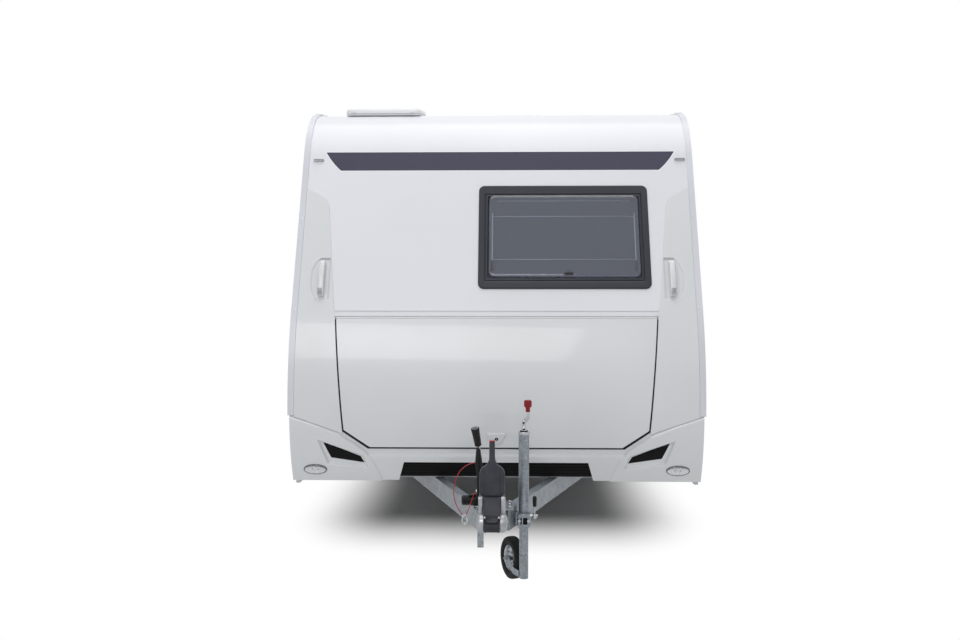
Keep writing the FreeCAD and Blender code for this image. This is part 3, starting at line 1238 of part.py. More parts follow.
def jockey_wheel(at):
    """The fork and the wheel, drawn with their trail along +X and then turned about the tube."""
    hub = ("jockey_trail", "jockey_wheel_radius")
    face = "jockey_wheel_wide / 2"
    arm_in, arm_out = face + " + fork_space", face + " + fork_space + fork_arm"
    sleeve = cylinder("fork_sleeve", "jockey_inner", "Z", "fork_low", "jockey_joint - fit", ("0", "0"))
    hole = cylinder("fork_hole", "swivel_radius + fit", "Z", "jockey_joint - swivel_length - fit",
                    "jockey_joint + 1", ("0", "0"))
    end, start = "jockey_trail + fork_end", "steel - jockey_inner"
    plate = prism("fork_arm_plate", "XZ", (arm_in, arm_out), [[
        (start, "fork_low"), ("jockey_inner + fork_end", "fork_low"),
        (end, "jockey_wheel_radius - fork_end"), (end, "jockey_wheel_radius + fork_end"),
        ("jockey_trail - fork_end", "jockey_wheel_radius + fork_end"),
        ("swivel_radius", "fork_low + fork_tall + fork_pin_radius"),
        (start, "fork_low + fork_tall")]])
    foot = box("fork_foot", (start, "jockey_inner - steel"), ("0", arm_out),
               ("fork_low", "fork_low + fork_tall"))
    pin = cylinder("fork_pin", "fork_pin_radius", "Y", "-" + face, arm_in + " + 1", hub)
    fork = cut("fork_drawn", join("fork_whole", [sleeve, plate, foot, pin]), [hole])
    rim = tube("jockey_rim_body", "jockey_rim_radius", "fork_pin_radius + fit", "Y", "-" + face, face, hub)
    tyre = tube("jockey_tyre_body", "jockey_wheel_radius", "jockey_rim_radius", "Y", "-" + face, face,
                hub)
    for name, piece in (("jockey_fork", fork), ("jockey_rim", rim), ("jockey_tyre", tyre)):
        node(place(group(name + "_turned", [piece]), *at, "0", (0, 0, 1), "jockey_turn"), name)


# ---------------------------------------------------------------- corner steadies
def steadies():
    """A bracket and a folded leg at each corner; the legs turn down about their pins."""
    brackets = []
    for end, pin_y, way in (("front", "nose + steady_inset", 1), ("rear", "rear - steady_inset", -1)):
        for side, sign in (("left", 1), ("right", -1)):
            name = "%s_%s" % (end, side)
            x = "steady_half * %d" % sign
            across = (pin_y, "steady_height")
            brackets.append(steady_bracket(name, x, pin_y, across))
            far = "%s + steady_length * %d" % (pin_y, way)
            foot_end = "%s - foot_length * %d" % (far, way)
            wide = (x + " - leg_half", x + " + leg_half")
            leg = box(name + "_leg", wide, (pin_y, far) if way > 0 else (far, pin_y),
                      ("steady_height - leg_deep", "steady_height + leg_deep"))
            eye = cylinder(name + "_eye", "leg_eye", "X", *wide, across)
            foot = box(name + "_foot", (x + " - foot_half", x + " + foot_half"),
                       (foot_end, far) if way > 0 else (far, foot_end),
                       ("steady_height - leg_deep - foot_thick", "steady_height - leg_deep"))
            bore = cylinder(name + "_bore", "steady_pin + fit", "X", wide[0] + " - 1",
                            wide[1] + " + 1", across)
            node(cut(name + "_steady_whole", join(name + "_leg_whole", [leg, eye, foot]), [bore]),
                 name + "_steady")
    node(group("bracket_set", brackets), "steady_brackets")


def steady_bracket(name, x, pin_y, across):
    """A plate under the floor with two cheeks and the pin between them."""
    base = box(name + "_bracket_plate", (x + " - bracket_half", x + " + bracket_half"),
               (pin_y + " - bracket_long", pin_y + " + bracket_long"),
               ("body_bottom - bracket_plate", "body_bottom"))
    cheeks = [box(name + "_cheek%d" % index, span, (pin_y + " - cheek_in", pin_y + " + cheek_in"),
                  ("steady_height - cheek_drop", "body_bottom - bracket_plate"))
              for index, span in enumerate(((x + " - cheek_out", x + " - cheek_in"),
                                            (x + " + cheek_in", x + " + cheek_out")))]
    pin = cylinder(name + "_pin", "steady_pin", "X", x + " - cheek_out", x + " + cheek_out", across)
    return join(name + "_bracket", [base, pin] + cheeks)


# ---------------------------------------------------------------- furniture
def cabinet(name, x, y, z):
    """A box of boards, open to the floor below it."""
    whole = box(name + "_block", x, y, z)
    hollow = box(name + "_hollow", ("%s + board" % x[0], "%s - board" % x[1]),
                 ("%s + board" % y[0], "%s - board" % y[1]), ("%s - 1" % z[0], "%s - board" % z[1]))
    return cut(name, whole, [hollow])


def furniture():
    """Washroom walls, bed, kitchen unit, dinette benches with cushions, and the table."""
    wall_y = "nose + locker_depth + board"
    wall_z = ("floor_top", "roof_height - washroom_drop")
    wash = box("wash_rear", ("-inner_half", "washroom_inner"),
               ("nose + washroom_end - board", "nose + washroom_end"), wall_z)
    wash_side = box("wash_side", ("washroom_inner - board", "washroom_inner"),
                    (wall_y, "nose + washroom_end"), wall_z)
    inside = prism("wash_roof_cut", "YZ", ("-body_half", "body_half"), [outline("inside", "body_bottom")])
    node(common("wash_common", join("wash", [wash, wash_side]), inside), "washroom_walls")
    bed_y = (wall_y, wall_y + " + bed_length")
    bed = cabinet("bed_box", ("bed_inner", "inner_half"), bed_y, ("floor_top", "bed_top"))
    node(box("mattress_block", ("bed_inner", "inner_half - soft_gap"),
             (wall_y + " + soft_gap", bed_y[1]), ("bed_top", "bed_top + mattress_thick")), "mattress")
    well_y = ("axle_y - arch_radius - well_gap", "axle_y + arch_radius + well_gap")
    well_z = ("floor_top - 1", "body_bottom + box_tall + well_gap")
    bed_well = box("bed_wheel", ("box_inner_half - well_gap", "inner_half + 1"), well_y, well_z)
    node(cut("bed_cut", bed, [bed_well]), "bed_base")
    body = cabinet("kitchen_body", ("-inner_half", "-inner_half + kitchen_depth"),
                   ("nose + kitchen_start", "nose + kitchen_start + kitchen_length"),
                   ("floor_top", "worktop"))
    well = box("kitchen_wheel", ("-inner_half - 1", "well_gap - box_inner_half"), well_y, well_z)
    node(cut("kitchen_cut", body, [well]), "kitchen_unit")
    dinette(well_y, well_z)
    table_y = ("nose + table_start", "nose + table_start + table_long")
    top = box("table_top", ("table_inner", "inner_half"), table_y,
              ("table_height - table_thick", "table_height"))
    leg = cylinder("table_leg", "table_leg_radius", "Z", "floor_top", "table_height - table_thick",
                   ("table_leg_x", "nose + table_start + table_long / 2"))
    node(join("table", [top, leg]), "dinette_table")


def dinette(well_y, well_z):
    """Two facing benches, each with a seat cushion and a back cushion."""
    benches, cushions = [], []
    soft_x = ("bench_inner", "inner_half - soft_gap")
    for end, start, way in (("front", "nose + bench_start", 1), ("rear", "rear - inside", -1)):
        def span(near, far):
            """A stretch along Y, measured from the bench's back towards the table."""
            pair = [start + " + (%s) * %d" % (reach, way) for reach in (near, far)]
            return tuple(pair) if way > 0 else tuple(reversed(pair))
        bench = cabinet(end + "_bench", ("bench_inner", "inner_half"), span("0", "bench_depth"),
                        ("floor_top", "seat_top"))
        arch = box(end + "_bench_well", ("box_inner_half - well_gap", "inner_half + 1"), well_y, well_z)
        benches.append(cut(end + "_bench_cut", bench, [arch]))
        seat_y = span("cushion_thick + cushion_gap", "bench_depth + seat_reach")
        cushions.append(box(end + "_seat_cushion", soft_x, seat_y,
                            ("seat_top", "seat_top + cushion_thick")))
        cushions.append(box(end + "_back_cushion", soft_x, span("0", "cushion_thick"),
                            ("seat_top", "seat_top + cushion_tall")))
    node(group("bench_set", benches), "dinette_benches")
    node(group("cushion_set", cushions), "dinette_cushions")


# ---------------------------------------------------------------- breakaway cable
def cable_path(points):
    """Straight runs joined by the largest tangent arcs that the runs leave room for."""
    edges = []
    start = points[0]
    radii = []
    for before, corner, after in zip(points, points[1:], points[2:]):
        into, out = corner - before, after - corner
        turn = into.getAngle(out)
        radius = 0.45 * min(into.Length, out.Length) / math.tan(turn / 2)
        trim = radius * math.tan(turn / 2)
        first = corner - into.normalize() * trim
        last = corner + out.normalize() * trim
        inward = (out - into).normalize()
        middle = corner + inward * (radius / math.cos(turn / 2) - radius)
        edges.append(Part.LineSegment(start, first).toShape())
        edges.append(Part.Arc(first, middle, last).toShape())
        start = last
        radii.append(radius)
    edges.append(Part.LineSegment(start, points[-1]).toShape())
    print("cable bend radii", ["%.0f" % radius for radius in radii])
    return Part.Wire(edges)


def breakaway_cable():
    nose = value("nose")
    points = [Vector(x, nose - ahead, z) for x, ahead, z in CABLE_ROUTE]
    path = cable_path(points)
    radius = value("cable_radius")
    ring_wire = Part.Wire(Part.Circle(points[0], points[1] - points[0], radius).toShape())
    solid = path.makePipeShell([ring_wire], True, False)
    print("cable volume over section times length: %.4f"
          % (solid.Volume / (math.pi * radius ** 2 * path.Length)))
    cable = doc.addObject("Part::Feature", "cable")
    cable.Shape = solid
    node(cable, "breakaway_cable")
    low = "clip_top - clip_tall"
    clip = rounded(("clip_x - clip_half", "clip_x + clip_half"), (low, "clip_top"), "clip_half - 2")
    eye = rounded(("clip_x - clip_half + clip_wire", "clip_x + clip_half - clip_wire"),
                  (low + " + clip_wire", "clip_top - clip_bow"), "clip_wire")
    front, back = "nose - clip_place - clip_thick", "nose - clip_place + clip_thick"
    node(prism("clip", "XZ", (front, back), [clip], [("XZ", (front + " - 1", back + " + 1"), [eye])]),
         "breakaway_clip")


# ---------------------------------------------------------------- build, check and write
side_walls()
outer_panels()
floor()
wheel_boxes()
awning_rails()
front_mouldings()
grab_handles()
locker_lid()
locker_hinge_rail()
locker_bulkhead()
windows()
rooflights()
entry_door()
toilet_hatch()
side_hinges()
rear_end()
chassis()
skirts()
wheels()
overrun()
coupling()
brake_lever()
jockey()
steadies()
furniture()
breakaway_cable()
doc.recompute()

for item in doc.Objects:
    if "Invalid" in item.State or "Error" in item.State:
        raise RuntimeError("%s failed: %s" % (item.Name, item.State))
for piece in NODES:
    if piece.Shape.isNull() or not piece.Shape.isValid():
        raise RuntimeError("%s has no valid shape" % piece.Label)

os.makedirs("parts", exist_ok=True)
for piece in NODES:
    piece.Shape.exportStep("parts/%s.step" % piece.Label)
    print("%-26s solids %d  volume %.0f cm3" % (piece.Label, len(piece.Shape.Solids),
                                                piece.Shape.Volume / 1000))
print(len(NODES), "sub-parts")
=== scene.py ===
# %% [markdown]
# # A small touring caravan
# This notebook dresses a imported CAD model of a single-axle caravan. The CAD solids stay where they
# are and carry the motion; each visible piece here either is built anew in place of one of them, with
# a smoother skin, or adds what the solids leave out, such as lenses, seams, treads and cushions.
# Lengths are metres, X is to the right for someone who faces the caravan's front, Y runs to its rear
# and Z is up.

# %% Load the frame
import math

import bmesh
import bpy
from mathutils import Matrix, Vector


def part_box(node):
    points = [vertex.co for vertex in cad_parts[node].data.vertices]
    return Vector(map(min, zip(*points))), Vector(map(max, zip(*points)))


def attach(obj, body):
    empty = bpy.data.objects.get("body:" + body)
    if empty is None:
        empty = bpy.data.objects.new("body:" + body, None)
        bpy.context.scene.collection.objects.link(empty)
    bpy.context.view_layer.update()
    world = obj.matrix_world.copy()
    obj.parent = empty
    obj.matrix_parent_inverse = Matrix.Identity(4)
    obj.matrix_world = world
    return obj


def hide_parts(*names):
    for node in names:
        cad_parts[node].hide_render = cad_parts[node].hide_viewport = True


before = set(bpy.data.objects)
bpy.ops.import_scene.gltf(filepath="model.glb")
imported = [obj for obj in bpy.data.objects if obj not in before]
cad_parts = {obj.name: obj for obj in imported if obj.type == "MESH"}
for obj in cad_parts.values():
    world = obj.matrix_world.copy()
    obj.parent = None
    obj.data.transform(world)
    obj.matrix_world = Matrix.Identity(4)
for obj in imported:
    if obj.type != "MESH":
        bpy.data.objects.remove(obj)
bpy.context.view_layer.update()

# %% [markdown]
# ## Camera
# The caravan is seen nearly square from the front, from a little above the middle of its height and
# from only some five metres away, so the front looks large and the sides fall away behind it. A
# 41 mm lens on a 36 mm sensor gives that view.

# %% Camera
MM = 0.001
NOSE_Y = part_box("locker_lid")[0].y
camera = bpy.data.objects.new("camera", bpy.data.cameras.new("camera"))
bpy.context.scene.collection.objects.link(camera)
camera.data.sensor_width = 36
camera.data.lens = 40.9
camera.location = (0.075, NOSE_Y - 5.576, 1.413)
camera.rotation_euler = (math.radians(90 - 2.1), 0, math.radians(1.6))
bpy.context.scene.camera = camera
print("camera", tuple(round(v, 3) for v in camera.location), camera.data.lens, "mm")

# %% [markdown]
# ## Helpers for materials
# Colours are written as sRGB hex values, the way a paint chart gives them, and one function turns
# them to the linear numbers that the shader wants. A second one adds a node, sets it and wires it. The
# small ones after it are what every recipe needs: a noise of a real size, a range, a mix, a bump.

# %% Colour and node helpers
def linear(code, alpha=1.0):
    """An sRGB hex colour as linear RGBA."""
    parts = [int(code[i:i + 2], 16) / 255 for i in (1, 3, 5)]
    return [p / 12.92 if p <= 0.04045 else ((p + 0.055) / 1.055) ** 2.4 for p in parts] + [alpha]


def add_node(material, kind, settings=None, **inputs):
    """Add a shader node; an input's underscores are spaces, and a socket given to it is linked."""
    made = material.node_tree.nodes.new("ShaderNode" + kind)
    for key, setting in (settings or {}).items():
        setattr(made, key, setting)
    for key, given in inputs.items():
        socket = made.inputs[int(key[1:])] if key[1:].isdigit() else made.inputs[key.replace("_", " ")]
        if isinstance(given, bpy.types.NodeSocket):
            material.node_tree.links.new(given, socket)
        else:
            socket.default_value = given
    return made


def new_material(name, **inputs):
    """A material with one Principled shader, its plain numbers set, and the object coordinates."""
    material = bpy.data.materials.new(name)
    material.use_nodes = True
    material.node_tree.nodes.clear()
    shader = add_node(material, "BsdfPrincipled", **inputs)
    add_node(material, "OutputMaterial", Surface=shader.outputs[0])
    return material, shader, add_node(material, "TexCoord").outputs["Object"]


def noise(material, place, size_mm, detail=2.0):
    """A noise whose broadest features are size_mm wide."""
    return add_node(material, "TexNoise", Vector=place, Scale=1 / (size_mm * MM), Detail=detail).outputs[0]


def span(material, value, low=0.0, high=1.0, to=(0.0, 1.0)):
    """Carry the range from low to high to another one, held at both ends."""
    return add_node(material, "MapRange", Value=value, From_Min=low, From_Max=high, To_Min=to[0],
                    To_Max=to[1]).outputs[0]


def mix(material, factor, first, second):
    """Mix two colours."""
    return add_node(material, "Mix", {"data_type": "RGBA"}, Factor=factor, i6=first,
                    i7=second).outputs[2]


def relief(material, height, deep_mm, strength=1.0):
    """A bump of a real depth."""
    return add_node(material, "Bump", Height=height, Strength=strength, Distance=deep_mm * MM).outputs[0]


def maths(material, operation, *values, kind="Math"):
    """One sum, product or the like of numbers, or of vectors with the kind VectorMath."""
    inputs = {"i%d" % index: value for index, value in enumerate(values)}
    return add_node(material, kind, {"operation": operation}, **inputs).outputs[0]


def wire(material, shader, **outputs):
    """Link outputs to the shader's sockets; an underscore in a socket's name is a space."""
    for name, output in outputs.items():
        material.node_tree.links.new(output, shader.inputs[name.replace("_", " ")])
    return material


print("white paint", [round(v, 3) for v in linear("#E2E1E9")])

# %% [markdown]
# Most of the caravan is painted, moulded or galvanised, and what tells these apart is small: how far
# the tone drifts over the surface, how uneven the gloss is, and how coarse the grain is. So one
# recipe takes those as real sizes in millimetres. A broad noise drifts the colour and the gloss, and
# a fine one gives the bump.

# %% The plain surface recipe
def surface(name, colour, drift, drift_mm, gloss, grain_mm, bump_mm, ior=1.5, level=0.5, **fixed):
    """A surface whose colour drifts to another over drift_mm, with roughness from gloss (low, high).

    The level scales what its refractive index reflects; 0.5 leaves it as it is."""
    material, shader, place = new_material(name, Base_Color=linear(colour), IOR=ior,
                                           Specular_IOR_Level=level, **fixed)
    broad = noise(material, place, drift_mm, 3.0)
    tone = mix(material, span(material, broad, 0.35, 0.65), linear(colour), linear(drift))
    return wire(material, shader, Base_Color=tone, Roughness=span(material, broad, 0.3, 0.7, gloss),
                Normal=relief(material, noise(material, place, grain_mm), bump_mm))


print("plain surface recipe ready")

# %% [markdown]
# ## Breakaway cable
# If the coupling comes off the towing ball, a thin cable that is clipped to the car pulls the
# handbrake on. It is wire rope in a red plastic sleeve, 4 mm thick and fairly limp. It leaves an eye
# on the handbrake lever, hangs in a loop beside the coupling and comes back to a second eye, and its
# clip waits in the bottom of the loop. A NURBS curve through a few chosen points gives that line.

# %% Cable sleeve: glossy red PVC, smooth with a faint drift of colour
red_pvc = surface("red_pvc_sleeve", "#B4191E", "#9C1218", 30, (0.28, 0.38), 2.0, 0.02, 1.53)
ROUTE_MM = [(-80, 742, 600), (-100, 742, 597), (-130, 744, 582), (-158, 750, 552),
            (-174, 757, 505), (-178, 762, 455), (-165, 764, 410), (-145, 764, 378),
            (-127, 764, 362), (-117, 763, 376), (-105, 757, 408), (-92, 750, 444),
            (-80, 746, 473)]       # across, ahead of the nose, above the ground
route = [Vector((x * MM, NOSE_Y - ahead * MM, z * MM)) for x, ahead, z in ROUTE_MM]


def nurbs(name, points, radius, resolution=12):
    """A round tube along a smooth NURBS line that starts and ends on its outer points."""
    curve = bpy.data.curves.new(name, "CURVE")
    curve.dimensions = "3D"
    curve.bevel_depth = radius
    curve.bevel_resolution = 3
    curve.use_fill_caps = True
    curve.resolution_u = resolution
    line = curve.splines.new("NURBS")
    line.points.add(len(points) - 1)
    for point, spot in zip(line.points, points):
        point.co = (*spot, 1)
    line.order_u = 3
    line.use_endpoint_u = True
    piece = bpy.data.objects.new(name, curve)
    bpy.context.scene.collection.objects.link(piece)
    return piece


cable = nurbs("cable_loop", route, 2 * MM)
cable.data.materials.append(red_pvc)
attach(cable, "caravan")
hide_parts("breakaway_cable")
line = bpy.data.objects.new("cable_line", cable.data.copy())
line.data.bevel_depth = 0
path = [v.co.copy() for v in bpy.data.meshes.new_from_object(line).vertices]
bpy.data.objects.remove(line)

# %% [markdown]
# ## Paint and mouldings
# Touring caravans are clad in thin aluminium sheet with a baked polyester enamel. It is smooth and
# fairly glossy, and the sheet is never quite flat, so long soft waves run through its reflections.
# The nose, the bumpers and the corner pieces are vacuum-formed ABS with an acrylic skin: a little
# cooler and greyer than the enamel, glossier, and with a finer ripple left by the forming tool.

# %% Whites
enamel_white = surface("baked_enamel_aluminium", "#E6E7ED", "#E2E3E9", 900, (0.30, 0.40), 260, 0.5,
                       Coat_Weight=0.25, Coat_Roughness=0.12)
abs_white = surface("acrylic_capped_abs", "#DDE0E3", "#D8DBDD", 700, (0.285, 0.375), 180, 0.4, 1.52,
                    Coat_Weight=0.45, Coat_Roughness=0.06)
rail_white = surface("powder_coated_extrusion", "#DADCE4", "#D2D4DC", 400, (0.32, 0.42), 1.2, 0.02,
                     Coat_Weight=0.2, Coat_Roughness=0.15)
stripe_white = surface("white_vinyl_film", "#F4F3F7", "#EFEEF4", 300, (0.30, 0.36), 0.8, 0.01, 1.52)
stripe_slate = surface("slate_vinyl_film", "#3C3D50", "#393A4D", 260, (0.34, 0.42), 0.8, 0.01, 1.52, 0.3)
print("whites:", enamel_white.name, abs_white.name, rail_white.name)

# %% [markdown]
# ## Galvanised and plated steel
# Hot-dip zinc freezes into flat crystals a few millimetres wide, each a slightly different grey, which
# is called spangle. A cell pattern (Voronoi) gives every crystal its own tone and gloss. The towing
# fittings are electroplated instead: brighter, without crystals, only finely clouded.

# %% Metal recipes
def plated(name, tones, cell_mm, gloss, metallic=1.0, grain_mm=1.5):
    """Zinc on steel: crystals of cell_mm, each with its own grey and gloss, over a fine grain."""
    material, shader, place = new_material(name, Metallic=metallic)
    cells = add_node(material, "TexVoronoi", Vector=place, Scale=1 / (cell_mm * MM), Randomness=1.0)
    pick = add_node(material, "SeparateColor", Color=cells.outputs["Color"]).outputs
    crystals = mix(material, pick[0], linear(tones[0]), linear(tones[1]))
    cloud = span(material, noise(material, place, cell_mm * 9, 4.0), 0.4, 0.75, (0.0, 0.55))
    return wire(material, shader, Base_Color=mix(material, cloud, crystals, linear(tones[2])),
                Roughness=span(material, pick[1], to=gloss),
                Normal=relief(material, noise(material, place, grain_mm), 0.05))


galvanised = plated("hot_dip_galvanised_steel", ("#7F868D", "#99A0A6", "#6A7178"), 7, (0.38, 0.58), 0.75)
zinc_plate = plated("zinc_plated_steel", ("#A3A6AA", "#BDC0C3", "#878B8F"), 3, (0.22, 0.34), 0.9)
cast_zinc = plated("sand_cast_zinc_coated", ("#8D9093", "#A2A5A8", "#777A7E"), 2, (0.38, 0.5), 0.8, 0.8)
chrome = surface("chromed_plastic", "#D8DADC", "#CFD2D4", 60, (0.08, 0.14), 3, 0.01, Metallic=1.0)
print("metals:", galvanised.name, zinc_plate.name, cast_zinc.name, chrome.name)

# %% [markdown]
# ## Plastics and rubber
# The dark fittings differ mostly in gloss. Nylon filled with glass fibre is a dusty charcoal, rubber is
# deeper and nearly matt with a faint bloom, and polypropylene covers carry a fine moulded grain.

# %% Dark plastics and rubber
charcoal_nylon = surface("glass_filled_nylon", "#35373F", "#2E3037", 50, (0.42, 0.56), 0.9, 0.12, 1.53, 0.3)
black_plastic = surface("grained_polypropylene", "#17181A", "#121314", 60, (0.42, 0.55), 1.0, 0.15,
                        1.49, 0.25)
black_rubber = surface("epdm_rubber", "#18191B", "#232427", 45, (0.62, 0.78), 0.8, 0.10, 1.52, 0.25)
tyre_rubber = surface("tyre_rubber", "#131315", "#1A1B1D", 70, (0.66, 0.82), 0.7, 0.14, 1.52, 0.25)
frame_black = surface("window_frame_pvc", "#20252F", "#1D222B", 200, (0.34, 0.46), 0.9, 0.03, 1.53, 0.35)
# Near black: painted shade where it fills the air slot, the keyhole, the screw's holes, the clamp's split and
# the space behind the vents; on the grilles and the slot's ribs it is their black plastic with painted shade
# in it, and the marker dots are plain black.
black_and_painted_shade = surface("shadowed_mesh", "#060606", "#0A0A0B", 30, (0.6, 0.75), 4.0, 0.5, 1.5, 0.15)
grip_foam = surface("moulded_grip_rubber", "#0C0C0D", "#131315", 18, (0.55, 0.7), 1.4, 0.25, 1.52, 0.25)
knob_red = surface("red_acetal_knob", "#8E0D16", "#7C0911", 20, (0.3, 0.42), 1.2, 0.05, 1.48, 0.3)
stop_rubber = surface("grey_black_rubber", "#2D2F35", "#27292E", 45, (0.55, 0.7), 0.8, 0.08, 1.52, 0.3)
tip_red = surface("red_indicator_plastic", "#A83A3C", "#983234", 20, (0.35, 0.45), 1.2, 0.05, 1.48)
print("dark plastics and rubbers made")

# %% [markdown]
# ## Clear and coloured plastics
# Caravan windows are not glass but two thin acrylic sheets, grey-tinted in the mass, so the cabin
# shows only dimly through them. Rooflights are an opal acrylic that glows softly, and lamp lenses
# are clear, red or amber polycarbonate with a fine prism pattern moulded into the back.

# %% Transparent materials
def lens(name, colour, through, roughness, ior, rib_mm=0.0, rib_deep=0.3, **fixed):
    """A moulded transparent plastic, with faint ribs of rib_mm if it is a lamp lens."""
    material, shader, place = new_material(name, Base_Color=linear(colour), Transmission_Weight=through,
                                           Roughness=roughness, IOR=ior, **fixed)
    if rib_mm:
        height = add_node(material, "TexWave", {"bands_direction": "X", "wave_profile": "TRI"},
                          Vector=place, Scale=0.1 / (rib_mm * MM)).outputs["Fac"]
    else:
        height = noise(material, place, 240)
    dust = noise(material, place, 35, 3.0)
    return wire(material, shader, Normal=relief(material, height, rib_deep),
                Roughness=span(material, dust, 0.3, 0.7, (roughness, roughness + 0.04)))


tinted_acrylic = lens("grey_tinted_acrylic", "#949BAB", 0.82, 0.05, 1.49, Coat_Weight=0.3,
                      Coat_Roughness=0.03)
opal_acrylic = lens("opal_acrylic", "#F0F1F4", 0.12, 0.28, 1.49)
clear_lens = lens("clear_polycarbonate", "#F2F4F4", 0.85, 0.04, 1.58, 4.0, 0.25)
red_lens = lens("red_polycarbonate", "#B3141A", 0.25, 0.08, 1.58, 4.0, 0.4)
amber_lens = lens("amber_polycarbonate", "#D9701A", 0.25, 0.08, 1.58, 4.0, 0.4)
smoke_lens = lens("smoked_polycarbonate", "#C4C8CB", 0.3, 0.12, 1.58, 4.0, 0.3)
print("transparent plastics made")

# %% [markdown]
# ## Cabin surfaces
# Furniture boards are thin plywood with a printed light-oak film, the walls have a pale film, and the
# cushions are a woven polyester. Wood needs a grain that is long one way, so its noise is stretched
# before it is read.

# %% Oak film, wall film and boards
def stretched_grain(name, light, dark, fibre_mm, length_mm, gloss):
    """A wood film: noise stretched along Y."""
    material, shader, place = new_material(name, IOR=1.5)
    squeezed = add_node(material, "Mapping", Vector=place,
                        Scale=(1 / (fibre_mm * MM), 1 / (length_mm * MM), 1 / (fibre_mm * MM)))
    grain = add_node(material, "TexNoise", Vector=squeezed.outputs[0], Scale=1.0, Detail=6.0,
                     Distortion=0.6).outputs[0]
    colour = mix(material, grain, linear(dark), linear(light))
    return wire(material, shader, Base_Color=colour, Roughness=span(material, grain, to=gloss),
                Normal=relief(material, grain, 0.1))


oak_film = stretched_grain("oak_decor_film", "#C9AE8A", "#A98B66", 6, 180, (0.4, 0.55))
wall_film = surface("cream_wall_film", "#D9D5CB", "#D2CEC3", 300, (0.5, 0.6), 1.5, 0.08)
# the sealed underfloor is near black: partly its own dark seal and partly painted shade for the dark
# underside
underfloor_and_painted_shade = surface("sealed_plywood", "#1E1C1A", "#171513", 60, (0.6, 0.75), 3.0, 0.2)
worktop_film = surface("speckled_laminate", "#8D8B88", "#A09E9A", 5, (0.3, 0.4), 1.2, 0.05)
print("films:", oak_film.name, wall_film.name, worktop_film.name)

# %% Woven cloth
def woven(name, colour, thread, spacing_mm, sheen):
    """A plain weave: two crossed sine waves at the thread spacing raise and tint the threads."""
    material, shader, place = new_material(name, Roughness=0.85, Sheen_Weight=sheen, Sheen_Roughness=0.4)
    axes = add_node(material, "SeparateXYZ", Vector=place).outputs
    turns = 2 * math.pi / (spacing_mm * MM)
    waves = []
    for first, second in ((0, 2), (1, 2)):
        angle = maths(material, "MULTIPLY", maths(material, "ADD", axes[first], axes[second]), turns)
        waves.append(maths(material, "SINE", angle))
    level = span(material, maths(material, "MULTIPLY", *waves), -1.0, 1.0)
    return wire(material, shader, Base_Color=mix(material, level, linear(colour), linear(thread)),
                Normal=relief(material, level, 0.3, 0.8))


# The real threads are 0.8 mm apart; they are drawn at 3 mm so that the weave can be seen at all.
bench_cloth = woven("woven_polyester_bench", "#6F7480", "#868B96", 3.0, 0.3)
piping_cloth = woven("woven_polyester_piping", "#3C4048", "#4A4E57", 2.0, 0.2)
ticking = woven("mattress_ticking", "#D8D6D0", "#E6E4DF", 4.0, 0.2)
blind_cloth = woven("pleated_blind_cloth", "#8E939C", "#9A9FA8", 2.5, 0.1)
print("cabin materials made")

# %% [markdown]
# ## Finishes on the CAD solids
# Where a solid's shape is already right it stays, and only gets its finish: walls, roof, chassis,
# lid. A table from finish to solids keeps that readable.

# %% Paint the solids that stay
STEEL = ["drawbar_left", "drawbar_right", "chassis_rails", "chassis_crossmembers", "axle",
         "jockey_inner_tube", "steady_brackets", "front_left_steady", "front_right_steady",
         "rear_left_steady", "rear_right_steady"]
FINISHES = {
    enamel_white: ["left_side_wall", "locker_hinge_rail", "right_side_wall", "front_panel", "roof_panel",
                   "rear_panel", "entry_door", "toilet_hatch"],
    abs_white: ["locker_lid", "front_corner_mouldings", "grab_handles", "rear_bumper", "front_bumper",
                "rooflights"],
    rail_white: ["awning_rails", "side_hinges", "side_skirts"],
    galvanised: STEEL + ["jockey_outer_tube", "jockey_clamp", "jockey_fork", "overrun_housing"],
    cast_zinc: ["coupling_head", "jockey_rim", "left_rim", "right_rim"],
    zinc_plate: ["breakaway_clip"],
    charcoal_nylon: ["coupling_handle"],
    black_plastic: ["wheel_boxes", "handbrake_lever", "parked_plug"],
    tyre_rubber: ["left_tyre", "right_tyre", "jockey_tyre"],
    frame_black: ["window_frames"],
    tinted_acrylic: ["window_panes", "entry_door_pane"],
    red_lens: ["tail_lamps"],
    underfloor_and_painted_shade: ["floor_panel"],
    wall_film: ["locker_bulkhead", "washroom_walls"],
    oak_film: ["bed_base", "kitchen_unit", "dinette_benches", "dinette_table"],
    bench_cloth: ["dinette_cushions"],
    ticking: ["mattress"],
    red_pvc: ["breakaway_cable"],
}
for finish, names in FINISHES.items():
    for name in names:
        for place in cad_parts[name].material_slots:
            place.material = finish
painted = {name for names in FINISHES.values() for name in names}
print("painted", len(painted), "of", len(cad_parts), "left:", set(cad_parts) - painted)

# %% [markdown]
# ## Building pieces that follow the front
# The front is a rolled shape: a bulging nose, a straight lean for the window and a tight brow under
# the roof. Most of its trim is thin and follows that line. The simplest way to make such a piece is
# to draw it flat, as it looks from straight ahead, cut it into narrow bands, and then push every
# point back onto the line. The line is the one that the side walls were cut to.

# %% The front's line
REAR_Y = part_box("rear_panel")[1].y
SKIN = 8 * MM                      # cladding behind the outermost line
NOSE_Z, LOW_R, HIGH_R = 0.730, 0.713, 1.259
LEAN_ANGLE = 24.2                   # degrees
LEAN = math.radians(LEAN_ANGLE)
BEND_Z = NOSE_Z + HIGH_R * math.sin(LEAN)
BEND_Y = HIGH_R * (1 - math.cos(LEAN))
WALL_X = 1.065                      # half the width over the walls
BROW_R, BROW_Z0 = 0.450, 2.1221
BROW_Y, BROW_Z = 0.9147, 1.9376


